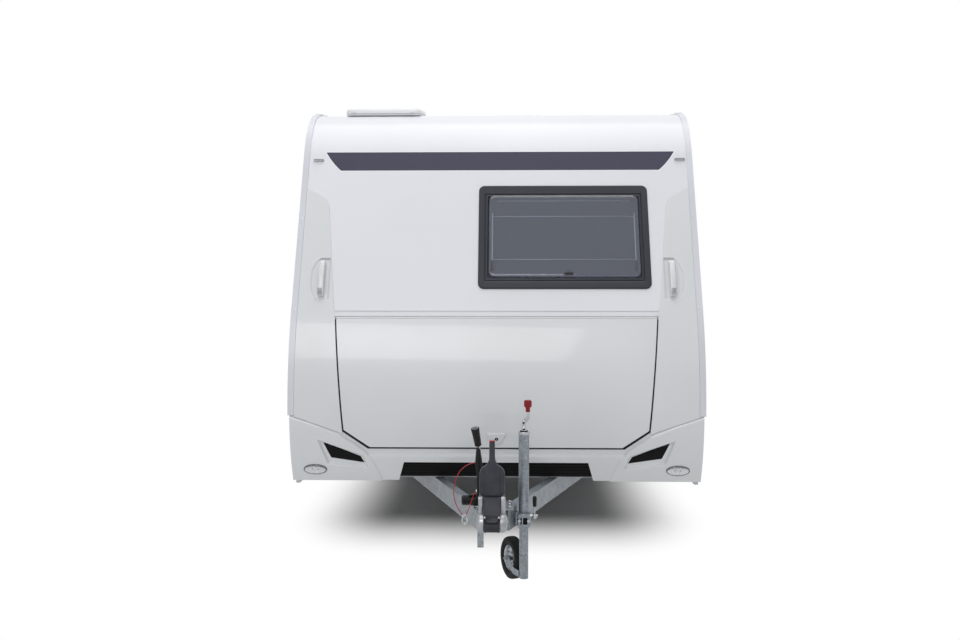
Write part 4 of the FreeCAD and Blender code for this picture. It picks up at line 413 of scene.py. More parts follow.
def line_depth(z):
    """How far the front's outermost line lies behind the nose at a height."""
    if z < NOSE_Z:
        return LOW_R - math.sqrt(LOW_R ** 2 - (NOSE_Z - z) ** 2)
    if z < BEND_Z:
        return HIGH_R - math.sqrt(HIGH_R ** 2 - (z - NOSE_Z) ** 2)
    if z < BROW_Z0:
        return BEND_Y + (z - BEND_Z) * math.tan(LEAN)
    return BROW_Y - math.sqrt(max(BROW_R ** 2 - (z - BROW_Z) ** 2, 0))


def front_point(x, z, proud):
    """The point on the front's line at a height, moved outwards by proud along its normal."""
    slope = (line_depth(z + MM) - line_depth(z - MM)) / (2 * MM)
    out = Vector((0, -1, slope)).normalized()
    return Vector((x, NOSE_Y + line_depth(z), z)) + out * proud


print("nose", round(NOSE_Y, 4), "depth at 2 m", round(line_depth(2.0), 4))

# %% Mesh helpers
def rotation(degrees, axis):
    """A turn about a world axis."""
    return Matrix.Rotation(math.radians(degrees), 4, axis)


def carry(bm, matrix):
    """Move every corner by a matrix."""
    bmesh.ops.transform(bm, matrix=matrix, verts=bm.verts[:])
    return bm


def slide(bm, vec, verts=None):
    """Move every corner, or the given ones, by the same step."""
    bmesh.ops.translate(bm, verts=verts or bm.verts[:], vec=vec)
    return bm


def stretch(bm, size):
    """Scale every corner away from the origin."""
    bmesh.ops.scale(bm, vec=size, verts=bm.verts[:])
    return bm


def bevel(bm, geom, offset, segments, affect="EDGES", **more):
    """Round edges, or corners, over a width in metres."""
    bmesh.ops.bevel(bm, geom=geom, offset=offset, affect=affect, segments=segments, profile=0.5,
                    material=-1, **more)
    return bm


def corners_in(result):
    """The corners among what an extrusion made."""
    return [v for v in result["geom"] if isinstance(v, bmesh.types.BMVert)]


def open_rim(bm):
    """Double the open edges where they are and return the new corners."""
    return corners_in(bmesh.ops.extrude_edge_only(bm, edges=[e for e in bm.edges if e.is_boundary]))


def cut_plane(bm, level, axis, **cleared):
    """Cut the whole mesh square to an axis at a level."""
    across = Vector((axis == 0, axis == 1, axis == 2))
    return bmesh.ops.bisect_plane(bm, geom=bm.verts[:] + bm.edges[:] + bm.faces[:], plane_co=across * level,
                                  plane_no=across, **cleared)


def rect(left, low, right, high):
    """The four corners of an upright rectangle."""
    return [(left, low), (right, low), (right, high), (left, high)]


print("mesh helpers ready, a unit square:", rect(0, 0, 1, 1))

# %% Finished pieces, outlines and cuts
def keep(bm, name, material, body="caravan", sharp=38, replaces=()):
    """Turn a bmesh into a finished piece that rides on a body, with the material in its only slot."""
    bmesh.ops.remove_doubles(bm, verts=bm.verts[:], dist=0.00002)
    bmesh.ops.recalc_face_normals(bm, faces=bm.faces[:])
    mesh = bpy.data.meshes.new(name)
    bm.to_mesh(mesh)
    bm.free()
    mesh.materials.append(material)
    for polygon in mesh.polygons:
        polygon.use_smooth = True
    mesh.set_sharp_from_angle(angle=math.radians(sharp))
    piece = bpy.data.objects.new(name, mesh)
    bpy.context.scene.collection.objects.link(piece)
    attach(piece, body)
    if replaces:
        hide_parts(*replaces)
    return piece


def outline_face(corners, rounding=0.0, segments=5, bm=None):
    """One flat face in the XZ plane through the given corners, which may be rounded off."""
    bm = bm or bmesh.new()
    verts = [bm.verts.new((x, 0, z)) for x, z in corners]
    bm.faces.new(verts)
    return bevel(bm, verts, rounding, segments, "VERTICES") if rounding else bm


def thicken(bm, deep, edge=0.0, segments=2):
    """Pull all faces out to deep along -Y and round the front edge."""
    front = corners_in(bmesh.ops.extrude_face_region(bm, geom=bm.faces[:]))
    slide(bm, (0, -deep, 0), front)
    if edge:
        chosen = set(front)
        rim = [e for e in bm.edges if e.verts[0] in chosen and e.verts[1] in chosen
               and any(f.normal.length and not all(v in chosen for v in f.verts) for f in e.link_faces)]
        bevel(bm, rim, edge, segments)
    return bm


def slice_up(bm, step, axis=2, low=None, high=None):
    """Cut the mesh with planes every step along an axis."""
    values = [v.co[axis] for v in bm.verts]
    low, high = min(values) if low is None else low, max(values) if high is None else high
    for index in range(1, max(1, math.ceil((high - low) / step))):
        cut_plane(bm, low + index * step, axis, dist=1e-6)
    return bm


def onto_front(bm, base=-SKIN):
    """Push a piece that was drawn flat, its front face at negative Y, back onto the front's line."""
    for v in bm.verts:
        v.co = front_point(v.co.x, v.co.z, base - v.co.y)
    return bm


def both_ways(bm):
    """Add the same shape on the other side of the centre line."""
    bmesh.ops.mirror(bm, geom=bm.verts[:] + bm.edges[:] + bm.faces[:], axis="X", merge_dist=0.0001)
    return bm


# %% [markdown]
# ## Stripe
# A dark vinyl band runs across the brow between the marker lamps, with a thin white border. Its ends
# are cut on a slant that hollows slightly. Vinyl is a tenth of a millimetre thick; here the border
# stands 0.4 mm and the band 0.8 mm proud, so that their edges still catch light. The band is plain
# from end to end.

# %% Stripe
STRIPE_LOW, STRIPE_HIGH, BEND_OF_END = 2.021, 2.127, 2.062
STRIPE_X = 0.013                    # the band sits a little to one side


def stripe_face(grow):
    """The band's outline with slanting ends, grown all round."""
    low, high = STRIPE_LOW - grow, STRIPE_HIGH + grow
    half = [(0.876 + grow, low), (0.921 + grow * 1.3, BEND_OF_END), (0.965 + grow * 2.1, high)]
    return outline_face([(x + STRIPE_X, z) for x, z in half] + [(STRIPE_X - x, z) for x, z in reversed(half)])


def soften_ends(bm):
    """Round the bend in the middle of each slanting end."""
    bends = [v for v in bm.verts if abs(v.co.z - BEND_OF_END) < 0.001]
    return bevel(bm, bends, 0.040, 8, "VERTICES")


for name, grow, deep, film in (("stripe_border", 0.005, 0.4, stripe_white),
                               ("stripe_band", 0.0, 0.8, stripe_slate)):
    bm = slice_up(soften_ends(stripe_face(grow)), 0.008)
    keep(onto_front(thicken(bm, deep * MM)), name, film)
print("stripe", round(STRIPE_HIGH - STRIPE_LOW, 3), "m tall")

# %% [markdown]
# ## Lower bumper moulding
# The bumper is one big vacuum forming. A crease starts at each side, falls towards the lid's knee,
# follows the lid's corner and curls down to the bottom edge; outside it the wings stand a few
# millimetres forward. Between the wings a ledge under the lid catches the light, and a wide air slot
# opens below it. In each wing is a four-sided hollow with a black grille. The flat outline is cut
# into a fine grid, and a height rule pushes each point in or out before it is laid on the front.

# %% Distances for the height rule
def away(x, z, points):
    """The distance from a point to an open run of points, less than zero on its right-hand side."""
    spot, best, side = Vector((x, z)), 9.0, 1.0
    for a, b in zip(points, points[1:]):
        a, b = Vector(a), Vector(b)
        share = max(0, min(1, (spot - a).dot(b - a) / (b - a).length_squared))
        gap = (spot - a - (b - a) * share).length
        if gap < best:
            best = gap
            side = 1.0 if (b.x - a.x) * (z - a.y) - (b.y - a.y) * (x - a.x) > 0 else -1.0
    return best * side


def ease(value, width):
    """0 below zero, 1 past the width and a smooth rise between."""
    t = max(0.0, min(1.0, value / width))
    return t * t * (3 - 2 * t)


CREASE = [(1.190, 0.7570), (1.064, 0.7145), (0.915, 0.664), (0.800, 0.616), (0.722, 0.566), (0.668, 0.522),
          (0.640, 0.484), (0.617, 0.440), (0.601, 0.400), (0.590, 0.366), (0.575, 0.300)]
HOLLOW = [(0.925, 0.592), (0.688, 0.505), (0.662, 0.431), (0.875, 0.457)]
GRILLE = [(0.897, 0.577), (0.703, 0.496), (0.684, 0.4605), (0.857, 0.488)]


def crease_x(z):
    """How far out the crease runs at a height."""
    for (far, top), (near, low) in zip(CREASE, CREASE[1:]):
        if low <= z <= top:
            return near + (far - near) * (z - low) / (top - low)
    return CREASE[0][0] if z > CREASE[0][1] else CREASE[-1][0]


def inside_of(x, z, corners):
    """How deep a point lies inside a closed outline that runs anticlockwise, negative outside."""
    depths = []
    for a, b in zip(corners, corners[1:] + corners[:1]):
        a, b = Vector(a), Vector(b)
        depths.append(((b.x - a.x) * (z - a.y) - (b.y - a.y) * (x - a.x)) / (b - a).length)
    return min(depths)


def bumper_height(x, z):
    """The bumper's surface against the outermost line, in metres; negative is further in."""
    x = abs(x)
    out = abs(away(x, z, CREASE)) * (1 if x > crease_x(z) else -1)
    wing = max(0.0, min(1.0, out / 0.007))
    middle = 1.0 - 8.5 * ease(z - 0.497, 0.017)
    height = middle * (1 - wing) + 7.0 * wing
    hollow = ease(inside_of(x, z, HOLLOW), 0.009)
    return (height - 14.6 * hollow) * MM


def cut_beside(bm, a, b, offsets, region):
    """Cut the faces in a region, on both sides, along lines that run beside the line from a to b."""
    a, b = Vector(a), Vector(b)
    left = Vector((a.y - b.y, b.x - a.x)).normalized()
    low_x, high_x, low_z, high_z = region
    for side in (-1, 1):
        for offset in offsets:
            near = [f for f in bm.faces if low_x < side * f.calc_center_median().x < high_x
                    and low_z < f.calc_center_median().z < high_z]
            spot = a + left * offset
            bmesh.ops.bisect_plane(bm, geom=list({v for f in near for v in f.verts}) +
                                   list({e for f in near for e in f.edges}) + near,
                                   dist=1e-6, plane_co=(side * spot.x, 0, spot.y),
                                   plane_no=(side * left.x, 0, left.y))


print("wing at (0.95, 0.5):", round(bumper_height(0.95, 0.5), 4), "ledge:",
      round(bumper_height(0.2, 0.51), 4))

# %% Bumper
SLOT_HALF, SLOT_TOP_HALF, SLOT_Z = 0.508, 0.478, 0.467
FOOT_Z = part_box("front_bumper")[0].z
LEDGE_END = (0.656, 0.5462)          # where the bumper's edge leaves the lid's foot
WING_ROOT = (LEDGE_END[0], FOOT_Z)
bm = outline_face([(-SLOT_TOP_HALF, SLOT_Z), (SLOT_TOP_HALF, SLOT_Z), LEDGE_END,
                   (-LEDGE_END[0], LEDGE_END[1])])
for corners in ([(SLOT_TOP_HALF, SLOT_Z), (SLOT_HALF, FOOT_Z), WING_ROOT, LEDGE_END],
                [WING_ROOT, (WALL_X, FOOT_Z), (WALL_X, 0.7145), (0.7975, 0.6205), LEDGE_END],
                [LEDGE_END, (0.7975, 0.6205), (0.7888, 0.6372)]):
    outline_face(corners, bm=bm)
    outline_face([(-x, z) for x, z in reversed(corners)], bm=bm)
slice_up(bm, 0.0055)
slice_up(bm, 0.0065, axis=0)
bmesh.ops.remove_doubles(bm, verts=bm.verts[:], dist=0.00002)
xs, zs = [x for x, z in HOLLOW], [z for x, z in HOLLOW]
around = (min(xs) - 0.012, max(xs) + 0.012, min(zs) - 0.012, max(zs) + 0.012)
for a, b in zip(HOLLOW, HOLLOW[1:] + HOLLOW[:1]):
    cut_beside(bm, a, b, (0, 0.003, 0.006, 0.009), around)
for a, b in zip(CREASE[3:], CREASE[4:]):
    cut_beside(bm, a, b, (0, 0.0035, 0.007), (b[0] - 0.012, a[0] + 0.012, b[1] - 0.006, a[1] + 0.006))
bmesh.ops.remove_doubles(bm, verts=bm.verts[:], dist=0.0002)
for v in bm.verts:
    v.co.y = -bumper_height(v.co.x, v.co.z)
onto_front(bm, 0)
slide(bm, (0, SKIN * 1.2, 0), open_rim(bm))
keep(bm, "bumper_moulding", abs_white, sharp=50, replaces=["front_bumper"])
print("bumper foot at", round(FOOT_Z, 3))

# %% Painted shade in the air slot, its lip and the grilles
# a black sheet behind the air slot paints the shade inside it
bm = outline_face([(-SLOT_HALF, 0.385), (SLOT_HALF, 0.385), (SLOT_TOP_HALF + 0.01, 0.474),
                   (-SLOT_TOP_HALF - 0.01, 0.474)])
keep(onto_front(thicken(slice_up(bm, 0.02), 1.2 * MM)), "slot_liner", black_and_painted_shade)
bm = outline_face([(-SLOT_HALF + 0.003, 0.3815), (SLOT_HALF - 0.003, 0.3815),
                   (SLOT_HALF - 0.004, 0.3850), (-SLOT_HALF + 0.004, 0.3850)])
keep(onto_front(thicken(bm, 5 * MM, 1 * MM)), "slot_lip", cast_zinc)
# the grilles are black plastic, made near black to carry the painted shade of the hollow behind them
bm = both_ways(thicken(slice_up(outline_face(GRILLE), 0.02), 1.4 * MM, 0.6 * MM))
keep(onto_front(bm, -SKIN + 0.2 * MM), "wing_grilles", black_and_painted_shade)
# ribs that cross the air slot, near black so that they carry the slot's painted shade
bm = bmesh.new()
for index in range(4):
    outline_face([(-0.49, 0.396 + index * 0.018), (0.49, 0.396 + index * 0.018),
                  (0.488, 0.401 + index * 0.018), (-0.488, 0.401 + index * 0.018)], bm=bm)
keep(onto_front(thicken(bm, 4 * MM, 1 * MM)), "slot_ribs", black_and_painted_shade)
print("air slot and grilles made")

# %% [markdown]
# ## Lid seal
# A black rubber profile closes the gap round the locker lid's sides and foot. It shows as a thin
# dark line, so a flat band that follows the lid's edge, set a few millimetres in, is enough.

# %% Lid seal
LID_EDGE = [(0.660, 0.5445), (0.7915, 0.6375), (0.8405, 1.2110)]
inner = [(x - 0.020, z + 0.012) for x, z in LID_EDGE]
outer = [(x + 0.004, z - 0.005) for x, z in LID_EDGE]
bm = outline_face([(-x, z) for x, z in reversed(outer)] + outer + list(reversed(inner)) +
                  [(-x, z) for x, z in inner])
bmesh.ops.triangulate(bm, faces=bm.faces[:])
slice_up(bm, 0.012)
keep(onto_front(bm, -0.0035), "lid_seal", black_rubber)
print("lid seal made")

# %% [markdown]
# ## Windows
# Each window is an outer PVC frame clamped through the wall, a rubber groove, a slimmer inner frame
# and a bowed double acrylic pane on top. All of these follow the same rounded outline, so one face
# is inset again and again, a little in or out each time, like turning a picture-frame section. The
# front one has wider bands above and below than at its sides. Behind the panes hang the blinds.

# %% Section rings
def rings(bm, steps):
    """Inset every face in turn by (inwards, outwards) millimetres and return the last inner face."""
    faces = bm.faces[:]
    for inwards, outwards in steps:
        bmesh.ops.inset_region(bm, faces=faces, thickness=inwards * MM, depth=outwards * MM,
                               use_boundary=True, use_even_offset=True)
    return faces


def loft(outlines, filled=False):
    """Pull a rounded outline through others, each (x, z, half_x, half_z, radius, out in mm).

    Each step extrudes the last outline's edges and carries every point to the same spot on the next
    one. A filled loft has a face over its last and its first outline."""
    x, z, half_x, half_z, radius, out = outlines[0]
    bm = slide(outline_face(rect(-half_x, -half_z, half_x, half_z), radius, 6), (x, -out * MM, z))
    bmesh.ops.delete(bm, geom=bm.faces[:], context="FACES_ONLY")
    first = ring = bm.edges[:]
    for next_x, next_z, next_half_x, next_half_z, next_radius, out in outlines[1:]:
        tips = set(corners_in(bmesh.ops.extrude_edge_only(bm, edges=ring)))
        for v in tips:
            side_x, side_z = (1 if v.co.x > x else -1), (1 if v.co.z > z else -1)
            arc_x = (v.co.x - x - side_x * (half_x - radius)) * next_radius / radius
            arc_z = (v.co.z - z - side_z * (half_z - radius)) * next_radius / radius
            v.co = (next_x + side_x * (next_half_x - next_radius) + arc_x, -out * MM,
                    next_z + side_z * (next_half_z - next_radius) + arc_z)
        ring = list({e for v in tips for e in v.link_edges if e.other_vert(v) in tips})
        x, z, half_x, half_z, radius = next_x, next_z, next_half_x, next_half_z, next_radius
    if filled:
        bmesh.ops.edgeloop_fill(bm, edges=ring)
        bmesh.ops.edgeloop_fill(bm, edges=first)
    return bm


def section(half_x, half_z, radius, steps, filled=False, uneven=(0, 0)):
    """A moulding through outlines (inset, out) in millimetres, whose radius shrinks with the inset.

    Past the first four outlines, uneven (above, below) in millimetres narrows the height further."""
    outlines = []
    for index, (inset, out) in enumerate(steps):
        above, below = uneven if index > 3 else (0, 0)
        outlines.append((0, (below - above) / 2 * MM, half_x - inset * MM,
                         half_z - (inset + (above + below) / 2) * MM, max(radius - inset * MM, 0.004), out))
    return loft(outlines, filled)


def upright(place, turn=0.0, lean=0.0):
    """A matrix that carries a piece drawn facing -Y to a place, turned about Z and leaned back."""
    return Matrix.Translation(place) @ rotation(turn, "Z") @ rotation(-lean, "X")


def add_to(pile, bm, matrix=Matrix()):
    """Carry a finished bmesh to its place and add it to a pile of the same pieces."""
    bmesh.ops.recalc_face_normals(bm, faces=bm.faces[:])
    carry(bm, matrix)
    mesh = bpy.data.meshes.new("part")
    bm.to_mesh(mesh)
    bm.free()
    pile.from_mesh(mesh)
    bpy.data.meshes.remove(mesh)


def bar(size, edge=1.0, segments=2):
    """A bar of size (x, y, z) in metres around the origin with rounded edges, in millimetres."""
    bm = bmesh.new()
    bmesh.ops.create_cube(bm, size=1)
    stretch(bm, size)
    return bevel(bm, bm.edges[:], edge * MM, segments)


def upright_grid(wide, high, rows=1):
    """A flat upright sheet around the origin, cut into rows."""
    bm = bmesh.new()
    bmesh.ops.create_grid(bm, x_segments=1, y_segments=rows, size=0.5)
    return stretch(carry(bm, rotation(90, "X")), (wide, 1, high))


OUT = Vector((0, -math.cos(LEAN), math.sin(LEAN)))
UP_SLOPE = Vector((0, OUT.z, -OUT.y))
BEND = Vector((0, NOSE_Y + BEND_Y, BEND_Z))


def on_lean(x, along, proud=0.0):
    """A matrix for a piece that lies on the leaning part of the front."""
    return upright(BEND + Vector((x, 0, 0)) + UP_SLOPE * along + OUT * (proud - SKIN), lean=LEAN_ANGLE)


# centre and half sizes of each opening: place, half width, half height, corner
SIDE_Z, SIDE_HALF = (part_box("window_frames")[0].z + 1.721) / 2, 0.260
WINDOWS = {
    "bed": (upright((WALL_X, NOSE_Y + 1.330, SIDE_Z), 90), 0.350, SIDE_HALF, 0.060),
    "dinette": (upright((WALL_X, NOSE_Y + 3.170, SIDE_Z), 90), 0.450, SIDE_HALF, 0.060),
    "kitchen": (upright((-WALL_X, NOSE_Y + 3.010, SIDE_Z), -90), 0.450, SIDE_HALF, 0.060),
    "rear": (upright((0, REAR_Y, SIDE_Z), 180), 0.640, SIDE_HALF, 0.060),
}
FRAME = [(0, 0), (0, 5), (4, 9), (24, 9.6), (27, 7), (29, 2.5), (32, 2.5), (33, 7), (42, 8), (45, 5), (46, 0)]
PANE = [(0, 0), (1, 3), (6, 6), (16, 7.5), (60, 9.5)]
BLIND_DROP, FOLDS, FOLD_DEEP = 0.17, 12, 0.012
frames, panes, bars_dark, blinds = bmesh.new(), bmesh.new(), bmesh.new(), []
print("window middles at z", round(SIDE_Z, 3))

# %% Side and rear windows
for name, (matrix, half_x, half_z, corner) in WINDOWS.items():
    add_to(frames, section(half_x + 0.021, half_z + 0.021, corner + 0.021, FRAME), matrix)
    add_to(panes, section(half_x - 0.020, half_z - 0.020, corner - 0.010, PANE, True), matrix)
    for lift in (-1, 1):
        # the blind and the fly screen, rolled up into their cassettes
        add_to(bars_dark, bar((2 * half_x - 0.02, 0.030, 0.050), 6, 3),
               matrix @ Matrix.Translation((0, 0.049, lift * (half_z - 0.010))))
    wide = 2 * half_x - 0.03
    bm = upright_grid(wide, BLIND_DROP, FOLDS)
    for v in bm.verts:
        v.co.y = FOLD_DEEP / 2 * (1 if round(v.co.z / BLIND_DROP * FOLDS) % 2 else -1)
    carry(bm, matrix @ Matrix.Translation((0, 0.048, half_z - 0.115)))
    piece = keep(bm, name + "_blind", blind_cloth, sharp=20)
    blinds.append((piece, (wide, FOLDS * math.hypot(BLIND_DROP / FOLDS, FOLD_DEEP))))
print("side and rear windows:", list(WINDOWS))

# %% Front window
FRONT_MID, SCREEN = (0.360, 0.4415), (0.86, 0.54)
FRONT_FRAME = [(0, 0), (0, 6), (5, 9.5), (31, 9.9), (34, 7), (35, 1.5), (39, 1.5), (40, 6.5), (48, 7.5),
               (52, 4), (53, 0)]
add_to(frames, section(0.457, 0.3075, 0.032, FRONT_FRAME, uneven=(16, 10)), on_lean(*FRONT_MID))
FRONT_PANE = [(0, 0), (0.5, 4), (5, 7.5), (17, 8.5), (60, 10.5)]
add_to(panes, section(0.4035, 0.245, 0.034, FRONT_PANE, True),
       on_lean(FRONT_MID[0] + 0.0015, FRONT_MID[1] + 0.005, 0.001))
# the fly screen is drawn right down behind the front pane
bm = carry(upright_grid(*SCREEN), on_lean(*FRONT_MID) @ Matrix.Translation((0, 0.040, 0)))
screen = keep(bm, "front_fly_screen", blind_cloth, sharp=20)
keep(frames, "window_frame_sections", frame_black, replaces=["window_frames"], sharp=30)
keep(panes, "window_acrylic", tinted_acrylic, replaces=["window_panes"], sharp=50)
keep(bars_dark, "blind_cassettes", wall_film)
print("front window at", FRONT_MID)

# %% [markdown]
# ## Stays, blind rails and catches
# Seen through the front pane are two telescopic stays that hold it open, with dark feet, two thin
# blind rails and a catch at the bottom. They lie between the two acrylic sheets.

# %% Stays, rails and catch
stay_metal = plated("anodised_stay", ("#C4C8CE", "#CED2D8", "#B8BCC3"), 4, (0.3, 0.4), 0.8)
STAY_OUT = 0.0065       # between the two acrylic sheets
stays, feet = bmesh.new(), bmesh.new()


def lean_spot(x, z):
    """Across and along the slope for a point at height z on the leaning front."""
    return x, (z - BEND_Z) / math.cos(LEAN)


for x in (-0.022, 0.741):
    (across, low), high = lean_spot(x, 1.519), lean_spot(x, 1.776)[1]
    add_to(stays, bar((0.009, 0.006, high - low), 2), on_lean(across, (low + high) / 2, STAY_OUT))
    add_to(feet, bar((0.016, 0.006, 0.062), 3), on_lean(across, low - 0.035, STAY_OUT))
for z, thick in ((1.756, 0.004), (1.522, 0.004), (1.842, 0.003)):
    across, along = lean_spot(0.360, z)
    add_to(stays, bar((0.752 if z < 1.8 else 0.72, 0.002, thick), 0.5), on_lean(across, along, STAY_OUT))
across, along = lean_spot(0.384, 1.447)
add_to(feet, bar((0.050, 0.007, 0.016), 3), on_lean(across, along, STAY_OUT))
add_to(feet, bar((0.026, 0.007, 0.008), 2), on_lean(across, along + 0.014, STAY_OUT))
keep(stays, "window_stays", stay_metal)
keep(feet, "stay_feet", black_plastic)
print("stays and rails made")

# %% [markdown]
# ## Corner mouldings
# The corner mouldings climb beside the lid and end in a slanted tip. Each one has a D-shaped hollow,
# so that a hand fits round its grab handle. As on the bumper, the outline becomes a fine grid and a
# height rule presses the hollow in.

# %% Corner mouldings
CORNER = [(0.7925, 0.6215), (1.042, 0.7083), (1.042, 1.918), (0.948, 1.868), (0.924, 1.846), (0.914, 1.820),
          (0.850, 1.252), (0.8425, 1.212)]
DISH = [(0.882, 1.312), (0.950, 1.304), (0.978, 1.345), (0.988, 1.400), (0.984, 1.465),
        (0.962, 1.515), (0.935, 1.534), (0.882, 1.534)]
bm = outline_face(CORNER)
slice_up(bm, 0.012)
slice_up(bm, 0.0045, low=1.29, high=1.55)
slice_up(bm, 0.0045, axis=0)
for v in bm.verts:
    v.co.y = 7.2 * MM * ease(inside_of(v.co.x, v.co.z, DISH), 0.009)
onto_front(bm, 0)
for v in open_rim(bm):
    v.co = v.co + (front_point(v.co.x, v.co.z, -SKIN) - front_point(v.co.x, v.co.z, 0))
keep(both_ways(bm), "corner_mouldings", abs_white, sharp=50, replaces=["front_corner_mouldings"])
print("corner mouldings made")

# %% [markdown]
# ## Grab handles
# Each handle is a moulded bow with flat flanks, thick at its feet. It is drawn from the side, pulled
# out to its width and rounded. Small ribs stop a wet hand slipping at its foot and under the hollow's
# upper edge.

# %% Grab handles
BOW = [(0, 0), (0.205, 0), (0.205, 0.020), (0.188, 0.036), (0.105, 0.045), (0.020, 0.036), (0, 0.020)]
BOW_HOLE = [(0.026, 0.001), (0.178, 0.001), (0.166, 0.020), (0.105, 0.028), (0.040, 0.020)]
bows = bmesh.new()
for side in (-1, 1):
    bm = bmesh.new()
    loop = [BOW[0], BOW_HOLE[0], *reversed(BOW_HOLE[1:]), *BOW[1:]]
    bm.faces.new([bm.verts.new((0, -out, along)) for along, out in loop])
    slide(bm, (0.030, 0, 0), corners_in(bmesh.ops.extrude_face_region(bm, geom=bm.faces[:])))
    bevel(slide(bm, (-0.015, 0, 0)), bm.edges[:], 5 * MM, 3, clamp_overlap=True)
    across, along = lean_spot(side * 0.925, 1.326)
    add_to(bows, bm, on_lean(across, along, 0.0015))
keep(bows, "grab_bows", abs_white, replaces=["grab_handles"], sharp=60)
ribs = bmesh.new()
# this grey is the grip inlay's own colour, and it also paints the shade lines at the trim rail's edges above
# the lid
rib_grey = surface("soft_grip_inlay", "#A9ABAE", "#9B9DA0", 20, (0.5, 0.6), 1.0, 0.1)
for side in (-1, 1):
    for index in range(4):
        across, along = lean_spot(side * 0.927, 1.330)
        add_to(ribs, bar((0.026, 0.003, 0.0045), 1),
               on_lean(across, along + index * 0.009, 0.0445 - 0.003 * (3 - index)))
    for index in range(7):
        across, along = lean_spot(side * (0.890 + index * 0.0085), 1.529)
        add_to(ribs, bar((0.004, 0.004, 0.012), 1), on_lean(across, along, 0.0055))
keep(ribs, "grip_ribs", rib_grey)
print("grab handles made")

# %% [markdown]
# ## Locker catch, lamps and rail caps
# The gas locker opens with one catch low on the lid: a tapered white body, on it a slightly greyer
# plate that paints the shade of a finger recess, and a black disc of painted shade for the keyhole
# round a metal key slot. The front position lamps are ovals with a bright rim and a clear cover over
# two bulbs, and two slim marker lamps sit high on the corners. The lid's catch rides on the lid.

# %% Locker catch
bm = outline_face([(-0.018, 0.570), (0.023, 0.570), (0.050, 0.614), (0.050, 0.626), (-0.045, 0.626),
                   (-0.045, 0.614)], 0.004, 3)
thicken(slice_up(bm, 0.01), 9.5 * MM, 3 * MM, 3)
keep(onto_front(bm, 0.0), "catch_body", abs_white, "locker_lid_body")
# a slightly greyer plate, raised a little, paints the shade of the finger recess
bm = outline_face([(-0.011, 0.578), (0.018, 0.578), (0.029, 0.606), (-0.022, 0.606)], 0.003, 3)
thicken(bm, 9.9 * MM, 0.5 * MM)
keep(onto_front(bm, 0.0), "catch_recess", rail_white, "locker_lid_body")


def face_front(bm):
    """Turn flat faces so that they look towards -Y."""
    for face in bm.faces:
        face.normal_update()
        if face.normal.y > 0:
            face.normal_flip()
    return bm


def round_face(x, z, a, b, sides):
    """A flat oval that looks towards -Y."""
    bm = bmesh.new()
    bmesh.ops.create_circle(bm, cap_ends=True, segments=sides, radius=1)
    return face_front(slide(stretch(carry(bm, rotation(90, "X")), (a, 1, b)), (x, 0, z)))


def disc(radius, deep, x, z, edge=0.8, sides=24, proud=0.0):
    """A round button on the front's line."""
    return onto_front(thicken(round_face(x, z, radius, radius, sides), deep, edge * MM), proud)


# a black disc paints the shade in the keyhole
keep(disc(0.0085, 11.2 * MM, 0.004, 0.597), "catch_barrel", black_and_painted_shade, "locker_lid_body")
keep(onto_front(thicken(outline_face(rect(0.0025, 0.5925, 0.0055, 0.6015)), 11.5 * MM), 0.0), "catch_keyway",
     zinc_plate, "locker_lid_body")
print("locker catch made")

# %% Oval front lamps
LAMP_X, LAMP_Z, LAMP_A, LAMP_B = 0.942, 0.430, 0.0615, 0.028
WING_PROUD = 0.0066
lamp_silver = surface("vacuum_metallised_plastic", "#C6CACC", "#D8DBDD", 9, (0.12, 0.3), 5, 0.25,
                      Metallic=1.0)
rims, dishes, covers, bulbs = bmesh.new(), bmesh.new(), bmesh.new(), bmesh.new()
for side in (-1, 1):
    x = side * LAMP_X
    bm = round_face(x, LAMP_Z, LAMP_A, LAMP_B, 40)
    faces = rings(bm, [(0.5, 3), (1.5, 1.5), (1.5, -0.5), (1.0, -1.5)])
    bmesh.ops.delete(bm, geom=faces, context="FACES_ONLY")
    add_to(rims, onto_front(bm, WING_PROUD + 0.0005))
    add_to(dishes, onto_front(round_face(x, LAMP_Z, LAMP_A - 0.003, LAMP_B - 0.003, 40), WING_PROUD + 0.0012))
    bm = bmesh.new()
    bmesh.ops.create_uvsphere(bm, u_segments=48, v_segments=16, radius=1)
    bmesh.ops.delete(bm, geom=[v for v in bm.verts if v.co.z < -0.01], context="VERTS")
    stretch(carry(bm, rotation(90, "X")), (LAMP_A - 0.0035, 0.0085, LAMP_B - 0.0035))
    add_to(covers, onto_front(slide(bm, (x, 0, LAMP_Z)), WING_PROUD + 0.0025))
    for apart in (-0.014, 0.014):
        bm = bmesh.new()
        bmesh.ops.create_uvsphere(bm, u_segments=16, v_segments=8, radius=0.0055)
        add_to(bulbs, bm, Matrix.Translation(front_point(x + apart, LAMP_Z, WING_PROUD + 0.003)))
bezel_grey = surface("grey_lamp_bezel", "#6E7174", "#65686B", 40, (0.3, 0.4), 1.0, 0.03)
keep(rims, "lamp_rims", bezel_grey)
keep(dishes, "lamp_reflectors", lamp_silver)
keep(covers, "lamp_covers", clear_lens)
keep(bulbs, "lamp_bulbs", clear_lens)
print("front lamps at", LAMP_X, LAMP_Z)

# %% Marker lamps high on the corners
markers, dots = bmesh.new(), bmesh.new()
for x in (-0.990, 1.005):
    bm = outline_face(rect(x - 0.029, 2.0735, x + 0.029, 2.0845), 0.004, 3)
    add_to(markers, onto_front(thicken(bm, 13 * MM, 2.5 * MM), -SKIN))
    for index in range(4):
        add_to(dots, disc(0.0026, 1.2 * MM, x - 0.0195 + index * 0.013, 2.079, 0.3, 10, 0.0048))
keep(markers, "marker_lamps", smoke_lens)
keep(dots, "marker_dots", black_and_painted_shade)
print("marker lamps made")

